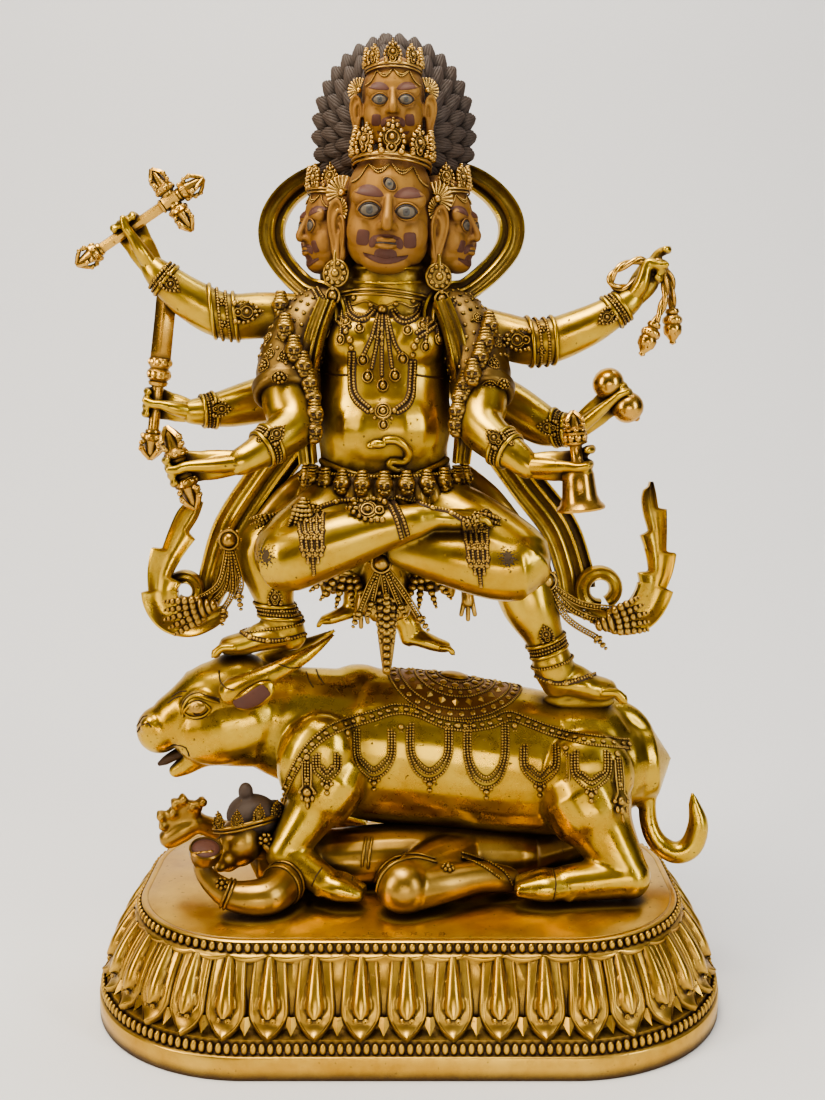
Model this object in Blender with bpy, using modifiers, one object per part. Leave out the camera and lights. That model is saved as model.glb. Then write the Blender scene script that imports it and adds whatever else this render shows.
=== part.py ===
"""Gilded dharma protector, in metres, +Z up, standing on a pedestal whose underside is at Z = 0.

A six-armed, six-legged figure with four faces stands on a lying buffalo, which lies on a prone figure,
all on an oval lotus pedestal. The front of the work faces -Y. The pedestal and the things in the hands
have their own sizes. The cast figures keep their pose as shares of GROUP_HEIGHT: their points are in
pose units, of which POSE_HEIGHT make up that height, counted from POSE_FLOOR at the pedestal's top.
"""

from math import cos, pi, sin, tau

import bmesh
import bpy
from mathutils import Matrix, Vector

# Driving dimensions of the pedestal
BASE_LENGTH = 0.381
BASE_DEPTH = 0.242
BASE_CORNER_RADIUS = 0.100
BASE_HEIGHT = 0.0692
FOOT_BAND_HEIGHT = 0.0125
LOWER_BEAD_DIAMETER = 0.0056
UPPER_BEAD_DIAMETER = 0.0048
PLATE_INSET = 0.0283
PETAL_COUNT = 42
PETAL_RELIEF = 0.0042

# Driving dimensions of the cast group
GROUP_HEIGHT = 0.5148
GAP = 0.0004

# Driving dimensions of the things in the hands
STAFF_DIAMETER = 0.0062
STAFF_LENGTH = 0.056
STAFF_HEAD_DIAMETER = 0.0125
STAFF_HEAD_LENGTH = 0.0165
SWORD_BLADE_WIDTH = 0.0128
SWORD_BLADE_THICKNESS = 0.0082
SWORD_LENGTH = 0.104
SWORD_POMMEL_DIAMETER = 0.0150
VAJRA_LENGTH = 0.0480
VAJRA_DIAMETER = 0.0140
ROPE_DIAMETER = 0.0052
ROPE_END_DIAMETER = 0.0118
FRUIT_DIAMETER = 0.0190
FRUIT_SPACING = 0.0185
BELL_HEIGHT = 0.0545
BELL_MOUTH_DIAMETER = 0.0275
BELL_BODY_DIAMETER = 0.0188
BELL_HANDLE_DIAMETER = 0.0088
BELL_WALL = 0.0016

# The pose units of the cast group
POSE_HEIGHT = 514.8
POSE_FLOOR = 69.2
UNIT = GROUP_HEIGHT / POSE_HEIGHT

# How finely the castings are fused, softened and faceted
FUSE_CELL = 0.0015
FIGURE_FACETS = 3900
BUFFALO_FACETS = 1450
PRONE_FACETS = 800
NOOSE_FACETS = 320
BASE_FACETS = 2300

GILT = (0.62, 0.37, 0.09)
DARK_GILT = (0.42, 0.25, 0.07)


def at(x, y, z):
    """A pose point as a place in metres above the pedestal's plate."""
    return Vector((x * UNIT, y * UNIT, BASE_HEIGHT + (z - POSE_FLOOR) * UNIT))


def clear_scene():
    for obj in list(bpy.data.objects):
        bpy.data.objects.remove(obj, do_unlink=True)


def new_collection(name):
    collection = bpy.data.collections.new(name)
    bpy.context.scene.collection.children.link(collection)
    return collection


clear_scene()
PARTS = new_collection("Gilded dharma protector")
CUTTERS = new_collection("Cutters")


def gilt_material(name, colour, roughness):
    material = bpy.data.materials.new(name)
    material.use_nodes = True
    shader = material.node_tree.nodes["Principled BSDF"]
    shader.inputs["Base Color"].default_value = (*colour, 1)
    shader.inputs["Metallic"].default_value = 1.0
    shader.inputs["Roughness"].default_value = roughness
    return material


def new_object(name, mesh, collection):
    obj = bpy.data.objects.new(name, mesh)
    collection.objects.link(obj)
    if collection is CUTTERS:
        obj.hide_render = True
        obj.display_type = "WIRE"
    return obj


def settle(obj):
    """Replaces an object's mesh by its evaluated one, in world space, and drops its modifiers."""
    bpy.context.view_layer.update()
    graph = bpy.context.evaluated_depsgraph_get()
    mesh = bpy.data.meshes.new_from_object(obj.evaluated_get(graph))
    mesh.transform(obj.matrix_world)
    obj.modifiers.clear()
    obj.matrix_world = Matrix.Identity(4)
    obj.data = mesh
    return obj


def keep_largest_body(obj):
    """Removes what a cut left loose, so that one closed body stays."""
    bm = bmesh.new()
    bm.from_mesh(obj.data)
    unseen = set(bm.verts)
    bodies = []
    while unseen:
        body = {unseen.pop()}
        to_follow = list(body)
        while to_follow:
            vert = to_follow.pop()
            near = {edge.other_vert(vert) for edge in vert.link_edges} & unseen
            unseen -= near
            body |= near
            to_follow.extend(near)
        bodies.append(body)
    bodies.sort(key=len)
    for body in bodies[:-1]:
        bmesh.ops.delete(bm, geom=list(body), context="VERTS")
    bm.to_mesh(obj.data)
    bm.free()


def combine(obj, other, operation, solver="EXACT"):
    """Joins another object to this one, or cuts it away, and removes the other."""
    modifier = obj.modifiers.new(operation.title(), "BOOLEAN")
    modifier.operation = operation
    modifier.solver = solver
    modifier.object = other
    settle(obj)
    bpy.data.objects.remove(other, do_unlink=True)


def grown_copy(obj, by):
    """A copy of a solid whose surface stands off by a distance, to cut its neighbour clear of it."""
    copy = new_object(obj.name + " clearance", obj.data.copy(), CUTTERS)
    swell = copy.modifiers.new("Swell", "DISPLACE")
    swell.strength = by
    swell.mid_level = 0
    return settle(copy)


def smooth_path(points, step):
    """Catmull-Rom points through control points of any width, about one step apart."""
    ends = [points[0], *points, points[-1]]
    path = []
    for before, start, end, after in zip(ends, ends[1:], ends[2:], ends[3:]):
        span = sum((b - a) ** 2 for a, b in zip(start[:3], end[:3])) ** 0.5
        count = max(1, round(span / step))
        for i in range(count):
            t = i / count
            path.append(tuple(
                0.5 * (2 * p1 + (p2 - p0) * t + (2 * p0 - 5 * p1 + 4 * p2 - p3) * t * t
                       + (3 * p1 - p0 - 3 * p2 + p3) * t ** 3)
                for p0, p1, p2, p3 in zip(before, start, end, after)
            ))
    path.append(points[-1])
    return path


class Clay:
    """Overlapping closed forms in pose units, later fused into one casting."""

    def __init__(self):
        self.bm = bmesh.new()

    def limb(self, points, sides=12, across=(0, 1, 0), ratio=1.0, step=4.0):
        """A tapering round form along (x, y, z, radius) points; ratio flattens it along one direction."""
        path = smooth_path(points, step)
        places = [Vector(p[:3]) for p in path]
        rings = []
        for i, point in enumerate(path):
            along = (places[min(i + 1, len(path) - 1)] - places[max(i - 1, 0)]).normalized()
            thin = Vector(across) - along * along.dot(Vector(across))
            if thin.length < 0.2:
                thin = along.orthogonal()
            thin.normalize()
            wide = along.cross(thin)
            radius = max(point[3], 0.3)
            rings.append([
                self.bm.verts.new(places[i] + radius * (cos(a) * wide + ratio * sin(a) * thin))
                for a in (tau * k / sides for k in range(sides))
            ])
        for ring, following in zip(rings, rings[1:]):
            for k in range(sides):
                n = (k + 1) % sides
                self.bm.faces.new((ring[k], ring[n], following[n], following[k]))
        for ring, point, out in ((rings[0], path[0], -1), (rings[-1], path[-1], 1)):
            ahead = places[1] - places[0] if out < 0 else places[-1] - places[-2]
            reach = ahead.normalized() * out * max(point[3], 0.3) * min(1, ratio * 1.2)
            shoulder = [self.bm.verts.new(places[0 if out < 0 else -1] + reach * 0.6
                                          + (vert.co - places[0 if out < 0 else -1]) * 0.8) for vert in ring]
            pole = self.bm.verts.new(places[0 if out < 0 else -1] + reach)
            for k in range(sides):
                n = (k + 1) % sides
                side = (ring[k], ring[n], shoulder[n], shoulder[k])
                tip = (shoulder[k], shoulder[n], pole)
                self.bm.faces.new(side if out > 0 else tuple(reversed(side)))
                self.bm.faces.new(tip if out > 0 else tuple(reversed(tip)))

    def ball(self, centre, radii, tilt=0.0, yaw=0.0, rings=10):
        """An ellipsoid, tilted about Y and then turned about Z, in degrees."""
        radii = radii if isinstance(radii, tuple) else (radii,) * 3
        turn = Matrix.Rotation(yaw * pi / 180, 4, "Z") @ Matrix.Rotation(tilt * pi / 180, 4, "Y")
        matrix = Matrix.Translation(centre) @ turn @ Matrix.Diagonal((*radii, 1))
        bmesh.ops.create_uvsphere(self.bm, u_segments=rings + 4, v_segments=rings, radius=1, matrix=matrix)

    def ring(self, centre, axis, radius, thickness, sides=20):
        """A closed band round an axis."""
        axis = Vector(axis).normalized()
        first = axis.orthogonal().normalized()
        second = axis.cross(first)
        points = [Vector(centre) + radius * (cos(a) * first + sin(a) * second)
                  for a in (tau * k / sides for k in range(sides + 2))]
        self.limb([(*p, thickness) for p in points], sides=6, across=tuple(axis), step=99)

    def cast(self, name, material, facets, cell=FUSE_CELL):
        """Fuses the forms into one body, softens it and reduces it to a number of triangles."""
        for vert in self.bm.verts:
            vert.co = at(*vert.co)
        bmesh.ops.recalc_face_normals(self.bm, faces=self.bm.faces)
        forms = bpy.data.meshes.new(name + " forms")
        self.bm.to_mesh(forms)
        self.bm.free()
        obj = new_object(name, forms, PARTS)
        fuse = obj.modifiers.new("Fuse", "REMESH")
        fuse.mode = "VOXEL"
        fuse.voxel_size = cell
        soften = obj.modifiers.new("Soften", "SMOOTH")
        soften.factor = 0.5
        soften.iterations = 2
        settle(obj)
        keep_largest_body(obj)
        facet = obj.modifiers.new("Facets", "DECIMATE")
        facet.use_collapse_triangulate = True
        facet.ratio = facets / (2 * len(obj.data.polygons))
        settle(obj)
        obj.data.materials.append(material)
        return obj


# Pedestal

def oval(inset, share):
    """A point of the pedestal's outline, this far inside its foot, at a share of the way round."""
    half_length = BASE_LENGTH / 2 - inset
    half_depth = BASE_DEPTH / 2 - inset
    corner = BASE_CORNER_RADIUS - inset
    straight_x = 2 * (half_length - corner)
    straight_y = 2 * (half_depth - corner)
    quarter = corner * pi / 2
    way = (share % 1) * (2 * straight_x + 2 * straight_y + 4 * quarter)
    heading = 0.0
    place = Vector((-straight_x / 2, -half_depth))
    for straight in (straight_x, straight_y, straight_x, straight_y):
        ahead = Vector((cos(heading), sin(heading)))
        outwards = Vector((sin(heading), -cos(heading)))
        if way <= straight:
            return place + ahead * way, outwards
        way -= straight
        place += ahead * straight
        centre = place - outwards * corner
        if way <= quarter:
            angle = heading - pi / 2 + way / corner
            return centre + corner * Vector((cos(angle), sin(angle))), Vector((cos(angle), sin(angle)))
        way -= quarter
        heading += pi / 2
        place = centre + corner * Vector((sin(heading), -cos(heading)))
    return place, Vector((sin(heading), -cos(heading)))


def lotus_base():
    """The pedestal: each row is (inset at a petal's middle, inset between petals, height, drop of the tip)."""
    bead_low = FOOT_BAND_HEIGHT + LOWER_BEAD_DIAMETER * 0.35
    bead_top = bead_low + LOWER_BEAD_DIAMETER * 1.2
    petal_low = bead_top + 0.0045
    petal_top = BASE_HEIGHT - 0.0075
    rise = petal_top - petal_low
    rows = [
        (0, 0, 0, 0),
        (0, 0, FOOT_BAND_HEIGHT, 0),
        (0.0014, 0.0014, bead_low, 0),
        (0.0016, 0.0016, bead_top, 0),
        (0.0070, 0.0070, bead_top + 0.0010, 0),
        (0.0022, 0.0022 + PETAL_RELIEF, petal_low, 0.0030),
        (0.0015, 0.0015 + PETAL_RELIEF * 0.8, petal_low + rise * 0.28, 0),
        (0.0085, 0.0085 + PETAL_RELIEF * 0.7, petal_low + rise * 0.62, 0),
        (0.0230, 0.0230 + PETAL_RELIEF * 0.3, petal_top, 0),
        (PLATE_INSET - 0.0020, PLATE_INSET - 0.0020, petal_top + 0.0012, 0),
        (PLATE_INSET - UPPER_BEAD_DIAMETER * 0.9, PLATE_INSET - UPPER_BEAD_DIAMETER * 0.9, petal_top + 0.0035, 0),
        (PLATE_INSET, PLATE_INSET, BASE_HEIGHT, 0),
    ]
    samples = 4
    columns = PETAL_COUNT * samples
    bm = bmesh.new()
    rings = []
    for middle, between, height, drop in rows:
        ring = []
        for k in range(columns):
            crest = 0.5 + 0.5 * cos(tau * k / samples)
            place, _ = oval(between + (middle - between) * crest, k / columns)
            ring.append(bm.verts.new((*place, height - drop * (2 * crest - 1))))
        rings.append(ring)
    for ring, following in zip(rings, rings[1:]):
        for k in range(columns):
            n = (k + 1) % columns
            bm.faces.new((ring[k], ring[n], following[n], following[k]))
    bm.faces.new(list(reversed(rings[0])))
    bm.faces.new(rings[-1])
    mesh = bpy.data.meshes.new("lotus_base")
    bm.to_mesh(mesh)
    bm.free()
    obj = new_object("lotus_base", mesh, PARTS)
    merge = obj.modifiers.new("Merge flats", "DECIMATE")
    merge.ratio = BASE_FACETS / (2 * columns * len(rows))
    merge.use_collapse_triangulate = True
    settle(obj)
    obj.data.materials.append(gilt_material("Pedestal gilt", GILT, 0.3))
    return obj


# Buffalo and the figure under it

def hoofed_leg(clay, hip, knee, fetlock, hoof, thick, thin):
    clay.limb([(*hip, thick), ((hip[0] + knee[0]) / 2, (hip[1] + knee[1]) / 2, (hip[2] + knee[2]) / 2,
                               thick * 0.85), (*knee, thin * 1.25)])
    clay.limb([(*knee, thin * 1.2), (*fetlock, thin)])
    clay.limb([(*fetlock, thin), (*hoof, thin * 1.15)], sides=10)


def horn_and_ear(clay, side):
    """Side -1 is the one towards the viewer."""
    def to_side(x, y, z, r):
        return (x, -6 + side * (y + 6), z, r)
    clay.limb([to_side(*p) for p in ((-104, 22, 197, 6.5), (-83, 25, 206.5, 5.8), (-62, 20, 216, 4.2),
                                     (-45, 10, 227, 1.5))], sides=8)
    clay.limb([to_side(*p) for p in ((-100, 26, 192, 3.5), (-90, 33, 197, 6.0), (-79, 37, 203, 2.0))],
              sides=8, across=(0.3, side, 0.4), ratio=0.5)


def buffalo():
    clay = Clay()
    clay.limb([(-66, 8, 166, 36), (-44, 13, 155, 45), (-20, 14, 150, 49), (12, 14, 146, 50),
               (48, 14, 142, 49), (84, 14, 137, 47), (116, 14, 136, 42), (136, 14, 138, 30)],
              sides=20, ratio=0.86)
    clay.limb([(-44, 12, 160, 42), (-70, 8, 166, 38), (-92, 5, 172, 33), (-112, 2, 178, 29),
               (-130, -1, 181, 24)], sides=16, ratio=0.8)
    clay.limb([(-124, -2, 184, 25), (-140, -4, 176, 18), (-152, -6, 168, 14.5), (-163, -7, 164.5, 12),
               (-168, -8, 163, 9)], sides=14, ratio=0.9)
    clay.limb([(-104, 0, 161, 20), (-122, -3, 155, 14), (-138, -5, 146, 8), (-150, -6, 138, 4.5)],
              sides=12, ratio=1.1)
    clay.limb([(-128, -5, 154, 4), (-142, -6, 148, 4.2), (-159, -6, 140, 2.4)], sides=8, ratio=1.3)
    clay.ball((-30, 14, 175), (30, 24, 26))
    for side in (-1, 1):
        horn_and_ear(clay, side)
        clay.ball((-127, -3 + side * 20, 186), (6.5, 3.5, 4.5), tilt=-12)
        clay.ball((-166, -8 + side * 7, 166), (4, 4.5, 5))
    hoofed_leg(clay, (-48, -18, 146), (-74, -35, 99), (-51, -45, 85), (-38, -47, 77), 22, 9.5)
    hoofed_leg(clay, (-48, 46, 140), (-76, 62, 92), (-50, 68, 80), (-36, 68, 76), 20, 9.5)
    hoofed_leg(clay, (112, -16, 132), (131, -38, 82), (86, -43, 80), (68, -44, 79), 27, 11)
    hoofed_leg(clay, (112, 46, 128), (131, 66, 82), (86, 68, 80), (68, 68, 78), 25, 11)
    clay.limb([(118, 14, 164, 14), (135, 14, 168, 9), (147, 13, 161, 6.4), (152, 11, 144, 5.4),
               (151, 8, 120, 5.2), (152, 6, 100, 5.4), (160, 2, 86, 6.4), (170, 0, 82.5, 6.6),
               (179, 0, 89, 7), (182, 0, 104, 5.5), (178, 0, 121, 1.8)], sides=10)
    pendants(clay)
    return clay.cast("buffalo", gilt_material("Buffalo gilt", GILT, 0.28), BUFFALO_FACETS)


def pendants(clay):
    """The saddle disc and the harness band round the flank, in low relief."""
    clay.ball((28, 14, 186), (44, 40, 11.5), tilt=4)
    for side in (-1, 1):
        for k in range(6):
            x = -32 + 31 * k
            y = 14 + side * (41.5 - abs(k - 2.4) * 1.2)
            clay.ball((x, y, 128 + 3 * abs(k - 2.4)), (4.5, 4, 9))


def prone_figure():
    clay = Clay()
    clay.limb([(-84, -16, 86, 16), (-49, -12, 85, 18), (-6, -8, 86, 19), (34, -6, 84, 18),
               (70, -2, 83, 15)], sides=14, ratio=1.05)
    clay.limb([(-102, -30, 108, 15), (-103, -33, 101, 16), (-104, -36, 95, 11)], sides=14, ratio=0.95)
    clay.ball((-95, -26, 118), (17, 16, 15))
    clay.ball((-99, -27, 133), (5.5, 5.5, 6.5))
    clay.ball((-114, -38, 106), (4, 3.5, 5))
    clay.limb([(-88, -22, 102, 11), (-78, -18, 94, 12)])
    for k in range(4):
        clay.ball((-114 + 8 * k, -42 + 2.4 * k, 122 + k * 0.3), (3.4, 2.2, 5.2))
    clay.limb([(-66, -26, 90, 13), (-74, -46, 84, 12.5), (-84, -60, 80.5, 11.5), (-103, -62, 83, 9),
               (-116, -60, 91, 6.6), (-124, -58, 100, 5.5)])
    clay.limb([(-118, -56, 101, 5), (-119, -56, 108, 9.5), (-119, -56, 113, 10)], sides=12, across=(0, 0, 1))
    clay.limb([(-90, 4, 92, 12), (-108, 4, 92, 10), (-122, -2, 100, 7), (-136, -6, 106, 6)])
    for k in range(3):
        clay.ball((-143 - 3 * k, -6, 104 + 5 * k), (5, 4, 4))
    clay.limb([(34, -6, 86, 17), (14, -34, 88, 16), (-3, -57, 84.5, 15)])
    clay.limb([(-2, -57, 83, 14), (20, -52, 85, 11.5), (42, -42, 85, 9.5), (60, -34, 80, 8)])
    clay.limb([(70, 0, 82, 15), (104, 30, 78, 12), (130, 44, 76, 8)])
    return clay.cast("prone_figure", gilt_material("Prone figure gilt", DARK_GILT, 0.38), PRONE_FACETS)


# The standing figure

def head(clay, centre, height, yaw):
    """One head with a face looking along -Y before it is turned; centre is the middle of the face."""
    unit = height / 60
    turn = Matrix.Translation(centre) @ Matrix.Rotation(yaw * pi / 180, 4, "Z")

    def place(x, y, z):
        return tuple(turn @ Vector((x * unit, y * unit, z * unit)))

    def lump(x, y, z, *radii, tilt=0):
        clay.ball(place(x, y, z), tuple(r * unit for r in radii), tilt=tilt, yaw=yaw)

    lump(0, 6, 8, 26, 29, 29)
    lump(0, -2, -6, 24, 22, 25)
    lump(0, -12, -22, 12, 10, 9)
    lump(0, -24, -1, 4.5, 6, 9)
    lump(0, -26, -6, 6.5, 6, 4)
    for side in (-1, 1):
        lump(side * 11, -20, 10, 9.5, 5, 3.2, tilt=-side * 14)
        lump(side * 12, -19.5, 3, 5.5, 4, 3.4)
        lump(side * 15, -14, -9, 8, 8, 7)
        lump(side * 26, 4, -4, 3.2, 5, 15)
    lump(0, -21, -14.5, 9, 5, 3.6)


def crown(clay, centre, radius, leaf, yaw, count=5):
    """A band with upright leaves round the front of a head."""
    for k in range(count):
        angle = (yaw - 90 + (k - (count - 1) / 2) * 38) * pi / 180
        x = centre[0] + radius * cos(angle)
        y = centre[1] + radius * sin(angle)
        clay.ball((x, y, centre[2] + leaf * 0.45), (leaf * 0.20, leaf * 0.36, leaf * 0.62),
                  yaw=angle * 180 / pi)
        clay.ball((x, y, centre[2]), (leaf * 0.24, leaf * 0.42, leaf * 0.30), yaw=angle * 180 / pi)
    clay.ring(centre, (0, 0, 1), radius * 0.97, leaf * 0.16)


def hair(clay):
    """The upswept mass of locks behind the heads, with a scalloped edge of curls."""
    clay.ball((-9, 28, 528), (46, 22, 50))
    count = 27
    for k in range(count):
        angle = pi * (-0.22 + 1.44 * k / (count - 1))
        clay.ball((-9 + 45 * cos(angle), 22, 528 + 49 * sin(angle)), (6.2, 13, 6.2), rings=8)
    for row, reach in ((0, 0.72), (1, 0.44)):
        for k in range(16 - 6 * row):
            angle = tau * k / (16 - 6 * row)
            clay.ball((-9 + 46 * reach * cos(angle), 42 + 5 * row, 528 + 50 * reach * sin(angle)),
                      (8, 6, 8), rings=8)


def heads(clay):
    hair(clay)
    head(clay, (-12, -8, 471), 60, 0)
    head(clay, (-44, 8, 466), 47, -66)
    head(clay, (20, 8, 466), 47, 66)
    head(clay, (-9, 0, 535), 43, 0)
    crown(clay, (-12, -6, 499), 24, 20, 0)
    crown(clay, (-46, 6, 490), 16, 15, -66, 4)
    crown(clay, (22, 6, 490), 16, 15, 66, 4)
    crown(clay, (-9, 0, 556), 17.5, 17, 0)
    for side in (-1, 1):
        clay.ball((-12 + side * 27, -12, 440), (8, 6, 8))
        clay.ball((-9 + side * 21, 2, 540), (4, 3, 9))


def torso(clay):
    clay.limb([(-12, -2, 452, 15), (-13, -2, 434, 18), (-14, 1, 424, 34), (-14, 2, 409, 42),
               (-14, 0, 391, 40), (-15, -5, 371, 39), (-15, -9, 354, 41), (-15, -7, 336, 38),
               (-14, 0, 317, 40), (-13, 5, 297, 30)], sides=22, ratio=0.74)
    for side in (-1, 1):
        clay.ball((-14 + side * 17, -20, 404), (17, 12, 13))
        clay.ball((-14 + side * 39, 4, 416), (17, 16, 14))
        clay.limb([(-14 + side * 40, -14, 424, 5), (-14 + side * 42, -27, 398, 4.6),
                   (-14 + side * 42, -30, 366, 4.6), (-14 + side * 38, -30, 336, 5)], sides=8)
        clay.limb([(-14 + side * 30, -22, 430, 3), (-14 + side * 22, -33, 390, 2.8),
                   (-14, -38, 372, 3)], sides=6)
    clay.ball((-14, -34, 405), (13, 5, 17))
    clay.ball((-17, -47, 352), (10, 4, 5), tilt=-20)


def skirts(clay):
    """Belts, the tied hide and the skull row at the hips, and what hangs from them."""
    clay.ball((-14, 4, 311), (49, 32, 15))
    clay.ball((-14, 16, 288), (46, 26, 26))
    for k in range(9):
        angle = pi * (1.08 + 0.84 * k / 8)
        clay.ball((-14 + 47 * cos(angle), 2 + 40 * sin(angle), 322), (5.2, 5, 6), rings=8)
    clay.ball((-16, -42, 275), (6, 5, 6))
    clay.limb([(-15, -38, 278, 8), (-14, -34, 262, 13), (-12, -30, 244, 14)], ratio=0.45)
    clay.limb([(-12, -34, 254, 6.5), (-12, -33, 232, 6), (-12, -31, 212, 4.2)], sides=8)
    for side in (-1, 1):
        clay.limb([(-14 + side * 12, -22, 288, 12), (-14 + side * 24, -22, 268, 13),
                   (-14 + side * 30, -22, 256, 9)], ratio=0.6)
        clay.limb([(-14 + side * 8, -36, 270, 2.6), (-14 + side * 20, -32, 244, 3.2)], sides=6)


def arm(clay, points):
    clay.limb(points, sides=14)


def band(clay, centre, axis, radius):
    clay.ring(centre, axis, radius, 2.2, sides=14)


def gripping_hand(clay, wrist, hold, shaft, shaft_radius, size=1.0):
    """A hand from its wrist to a shaft: the thumb in front, the fingers behind and curled round it."""
    wrist = Vector(wrist)
    hold = Vector(hold)
    shaft = Vector(shaft).normalized()
    reach = hold - wrist
    forward = (reach - shaft * reach.dot(shaft)).normalized()
    front = shaft.cross(forward)
    if front.y > 0:
        front = -front
    near = shaft_radius + 2.2 * size

    def path(*steps):
        return [(*point, radius * size) for point, radius in steps]

    palm = wrist + reach * 0.55 - front * 3.5 * size
    clay.limb(path((wrist, 7), (palm, 9), (hold - front * near - forward * 2, 6)), across=tuple(front), ratio=0.7)
    clay.limb(path((wrist + front * 2, 5.5), (wrist + reach * 0.5 + front * 5 * size, 5.2),
                   (hold + front * near - forward * 2, 3.2), (hold + front * near + forward * 5 * size, 2.2)), sides=8)
    for k in range(4):
        slide = shaft * (k - 1.5) * 4.3 * size
        clay.limb(path((palm + slide * 0.7, 3.4), (hold - front * near + slide, 3.0),
                       (hold + forward * near - front * 1.5 + slide, 2.7),
                       (hold + forward * (near + 0.5) + front * 3 * size + slide, 2.2)), sides=8)


def upper_arms(clay):
    arm(clay, [(-40, 6, 416, 17), (-62, 4, 417, 14.5), (-86, 2, 418, 14), (-109, -4, 417.5, 14),
               (-128, -8, 427, 13), (-143, -10, 439, 10), (-149, -10, 445, 8)])
    arm(clay, [(14, 6, 414, 17), (32, 4, 412, 14.5), (54, 2, 406.5, 14), (78, -4, 402, 14),
               (104, -8, 411, 12.5), (123, -10, 422, 9.5), (130, -10, 427, 8)])
    gripping_hand(clay, (-149, -10, 445), STAFF_HOLD, STAFF_WAY, STAFF_DIAMETER / 2 / UNIT)
    gripping_hand(clay, (130, -10, 427), ROPE_HOLD, (0.25, 0, 0.97), ROPE_DIAMETER * 0.9 / UNIT)


def middle_arms(clay):
    arm(clay, [(-40, 20, 398, 16), (-66, 27, 373, 15), (-88, 20, 368, 15), (-109, 10, 363, 12.5),
               (-128, 1, 361, 8.5)])
    arm(clay, [(12, 20, 398, 16), (42, 27, 374, 15), (62, 20, 364, 15), (82, 10, 352, 13),
               (99, 0, 349, 8.5)])
    gripping_hand(clay, (-130, 0, 361), SWORD_HOLD, SWORD_WAY, 3.6)
    gripping_hand(clay, (99, 0, 349), FRUIT_HOLD, FRUIT_WAY, 4.5, 0.95)


def front_arms(clay):
    arm(clay, [(-50, 2, 412, 17), (-64, -6, 404, 16.5), (-71, -14, 388, 16), (-70, -26, 367, 15),
               (-66, -36, 355, 13.5), (-77, -50, 346, 11.5), (-93, -62, 336, 8.2)])
    arm(clay, [(22, 2, 412, 17), (36, -6, 404, 16.5), (42, -14, 388, 16), (42, -26, 367, 15),
               (41, -36, 355, 13.5), (51, -50, 345, 11.5), (66, -60, 334, 8.2)])
    gripping_hand(clay, (-93, -62, 336), VAJRA_HOLD, VAJRA_WAY, 4.2)
    gripping_hand(clay, (66, -60, 334), BELL_HOLD, (0.1, 0, 1), BELL_HANDLE_DIAMETER / 2 / UNIT)


def arm_bands(clay):
    for centre, axis, radius in (
        ((-109, -4, 417.5), (1, 0.1, 0.1), 14.2), ((-144, -10, 440), (0.75, 0.1, -0.65), 10.2),
        ((78, -4, 402), (1, 0.1, 0.1), 14.2), ((122, -10, 421), (0.8, 0, 0.6), 10.4),
        ((-121, 4, 362), (1, 0.4, 0.1), 10.2), ((92, 5, 350), (1, -0.5, 0.1), 10.2),
        ((-80, -52, 344), (0.7, 0.5, 0.4), 11.4), ((54, -52, 342), (0.7, -0.5, -0.45), 11.4),
    ):
        band(clay, centre, axis, radius)


def foot(clay, ankle, heel, toe, width):
    """A bare foot: heel, arch and a row of toes."""
    ankle, heel, toe = Vector(ankle), Vector(heel), Vector(toe)
    ahead = (toe - heel).normalized()
    side = ahead.cross(Vector((0, 0, 1))).normalized()
    clay.limb([(*ankle, width * 1.05), (*((ankle + heel) / 2), width * 1.1), (*heel, width * 0.9)])
    clay.limb([(*heel, width * 0.9), (*(ankle * 0.3 + heel * 0.3 + toe * 0.4), width * 1.05), (*toe, width * 0.85)],
              across=(0, 0, 1), ratio=0.62)
    for k in range(5):
        tip = toe + side * (k - 2) * width * 0.38 + ahead * width * (0.55 - 0.1 * k)
        clay.ball(tuple(tip), width * 0.27, rings=6)


def legs(clay):
    clay.limb([(-34, -6, 306, 23), (-52, -28, 296, 22), (-70, -44, 281, 20.5), (-62, -49, 282, 19),
               (-36, -52, 291, 17), (-18, -54, 297, 14), (-4, -55, 300.5, 11), (18, -52, 305, 8.5),
               (36, -48, 303, 7), (47, -46, 300.5, 5)], sides=16)
    clay.limb([(8, -6, 304, 23), (34, -24, 294, 23), (62, -38, 277, 21.5), (52, -42, 274, 19.5),
               (26, -44, 279, 17), (-2, -40, 285, 13)], sides=16)
    clay.limb([(-36, 12, 306, 22), (-66, 10, 292, 20), (-88, 8, 277, 18.5), (-84, 3, 254, 15),
               (-81, 0, 238, 12)], sides=14)
    foot(clay, (-80, -1, 238), (-72, 0, 224), (-112, -6, 221), 11)
    clay.limb([(13, 12, 303, 22), (42, 8, 287, 21), (64, 3, 270, 20), (75, -3, 241, 17),
               (86, -6, 216, 11)], sides=14)
    foot(clay, (87, -6, 214), (90, -6, 199), (127, -9, 196.5), 11)
    clay.limb([(-12, 14, 285, 14), (-13, 12, 264, 11), (-10, 10, 246, 9.5), (0, 7, 228, 8.5)])
    foot(clay, (0, 7, 228), (0, 6, 220), (24, 4, 215), 7)
    clay.limb([(-26, 16, 284, 13), (-30, 13, 260, 9.5), (-34, 9, 243, 7.5)])
    foot(clay, (-34, 9, 243), (-30, 8, 238), (-53, 3, 233), 6)
    for centre, axis, radius in (((-81, 0, 238), (0, 0, 1), 12.6), ((84, -6, 219), (0.4, 0, -1), 12.6),
                                 ((-72, -2, 226), (0.3, 0, 1), 15), ((92, -7, 201), (-0.2, 0, 1), 15)):
        band(clay, centre, axis, radius)
    for x, z in ((-48, 288), (36, 279)):
        clay.limb([(x, -66, z + 13, 5), (x + 1, -68, z, 6.5), (x + 1, -65, z - 14, 3)], sides=8, ratio=0.6)


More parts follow.
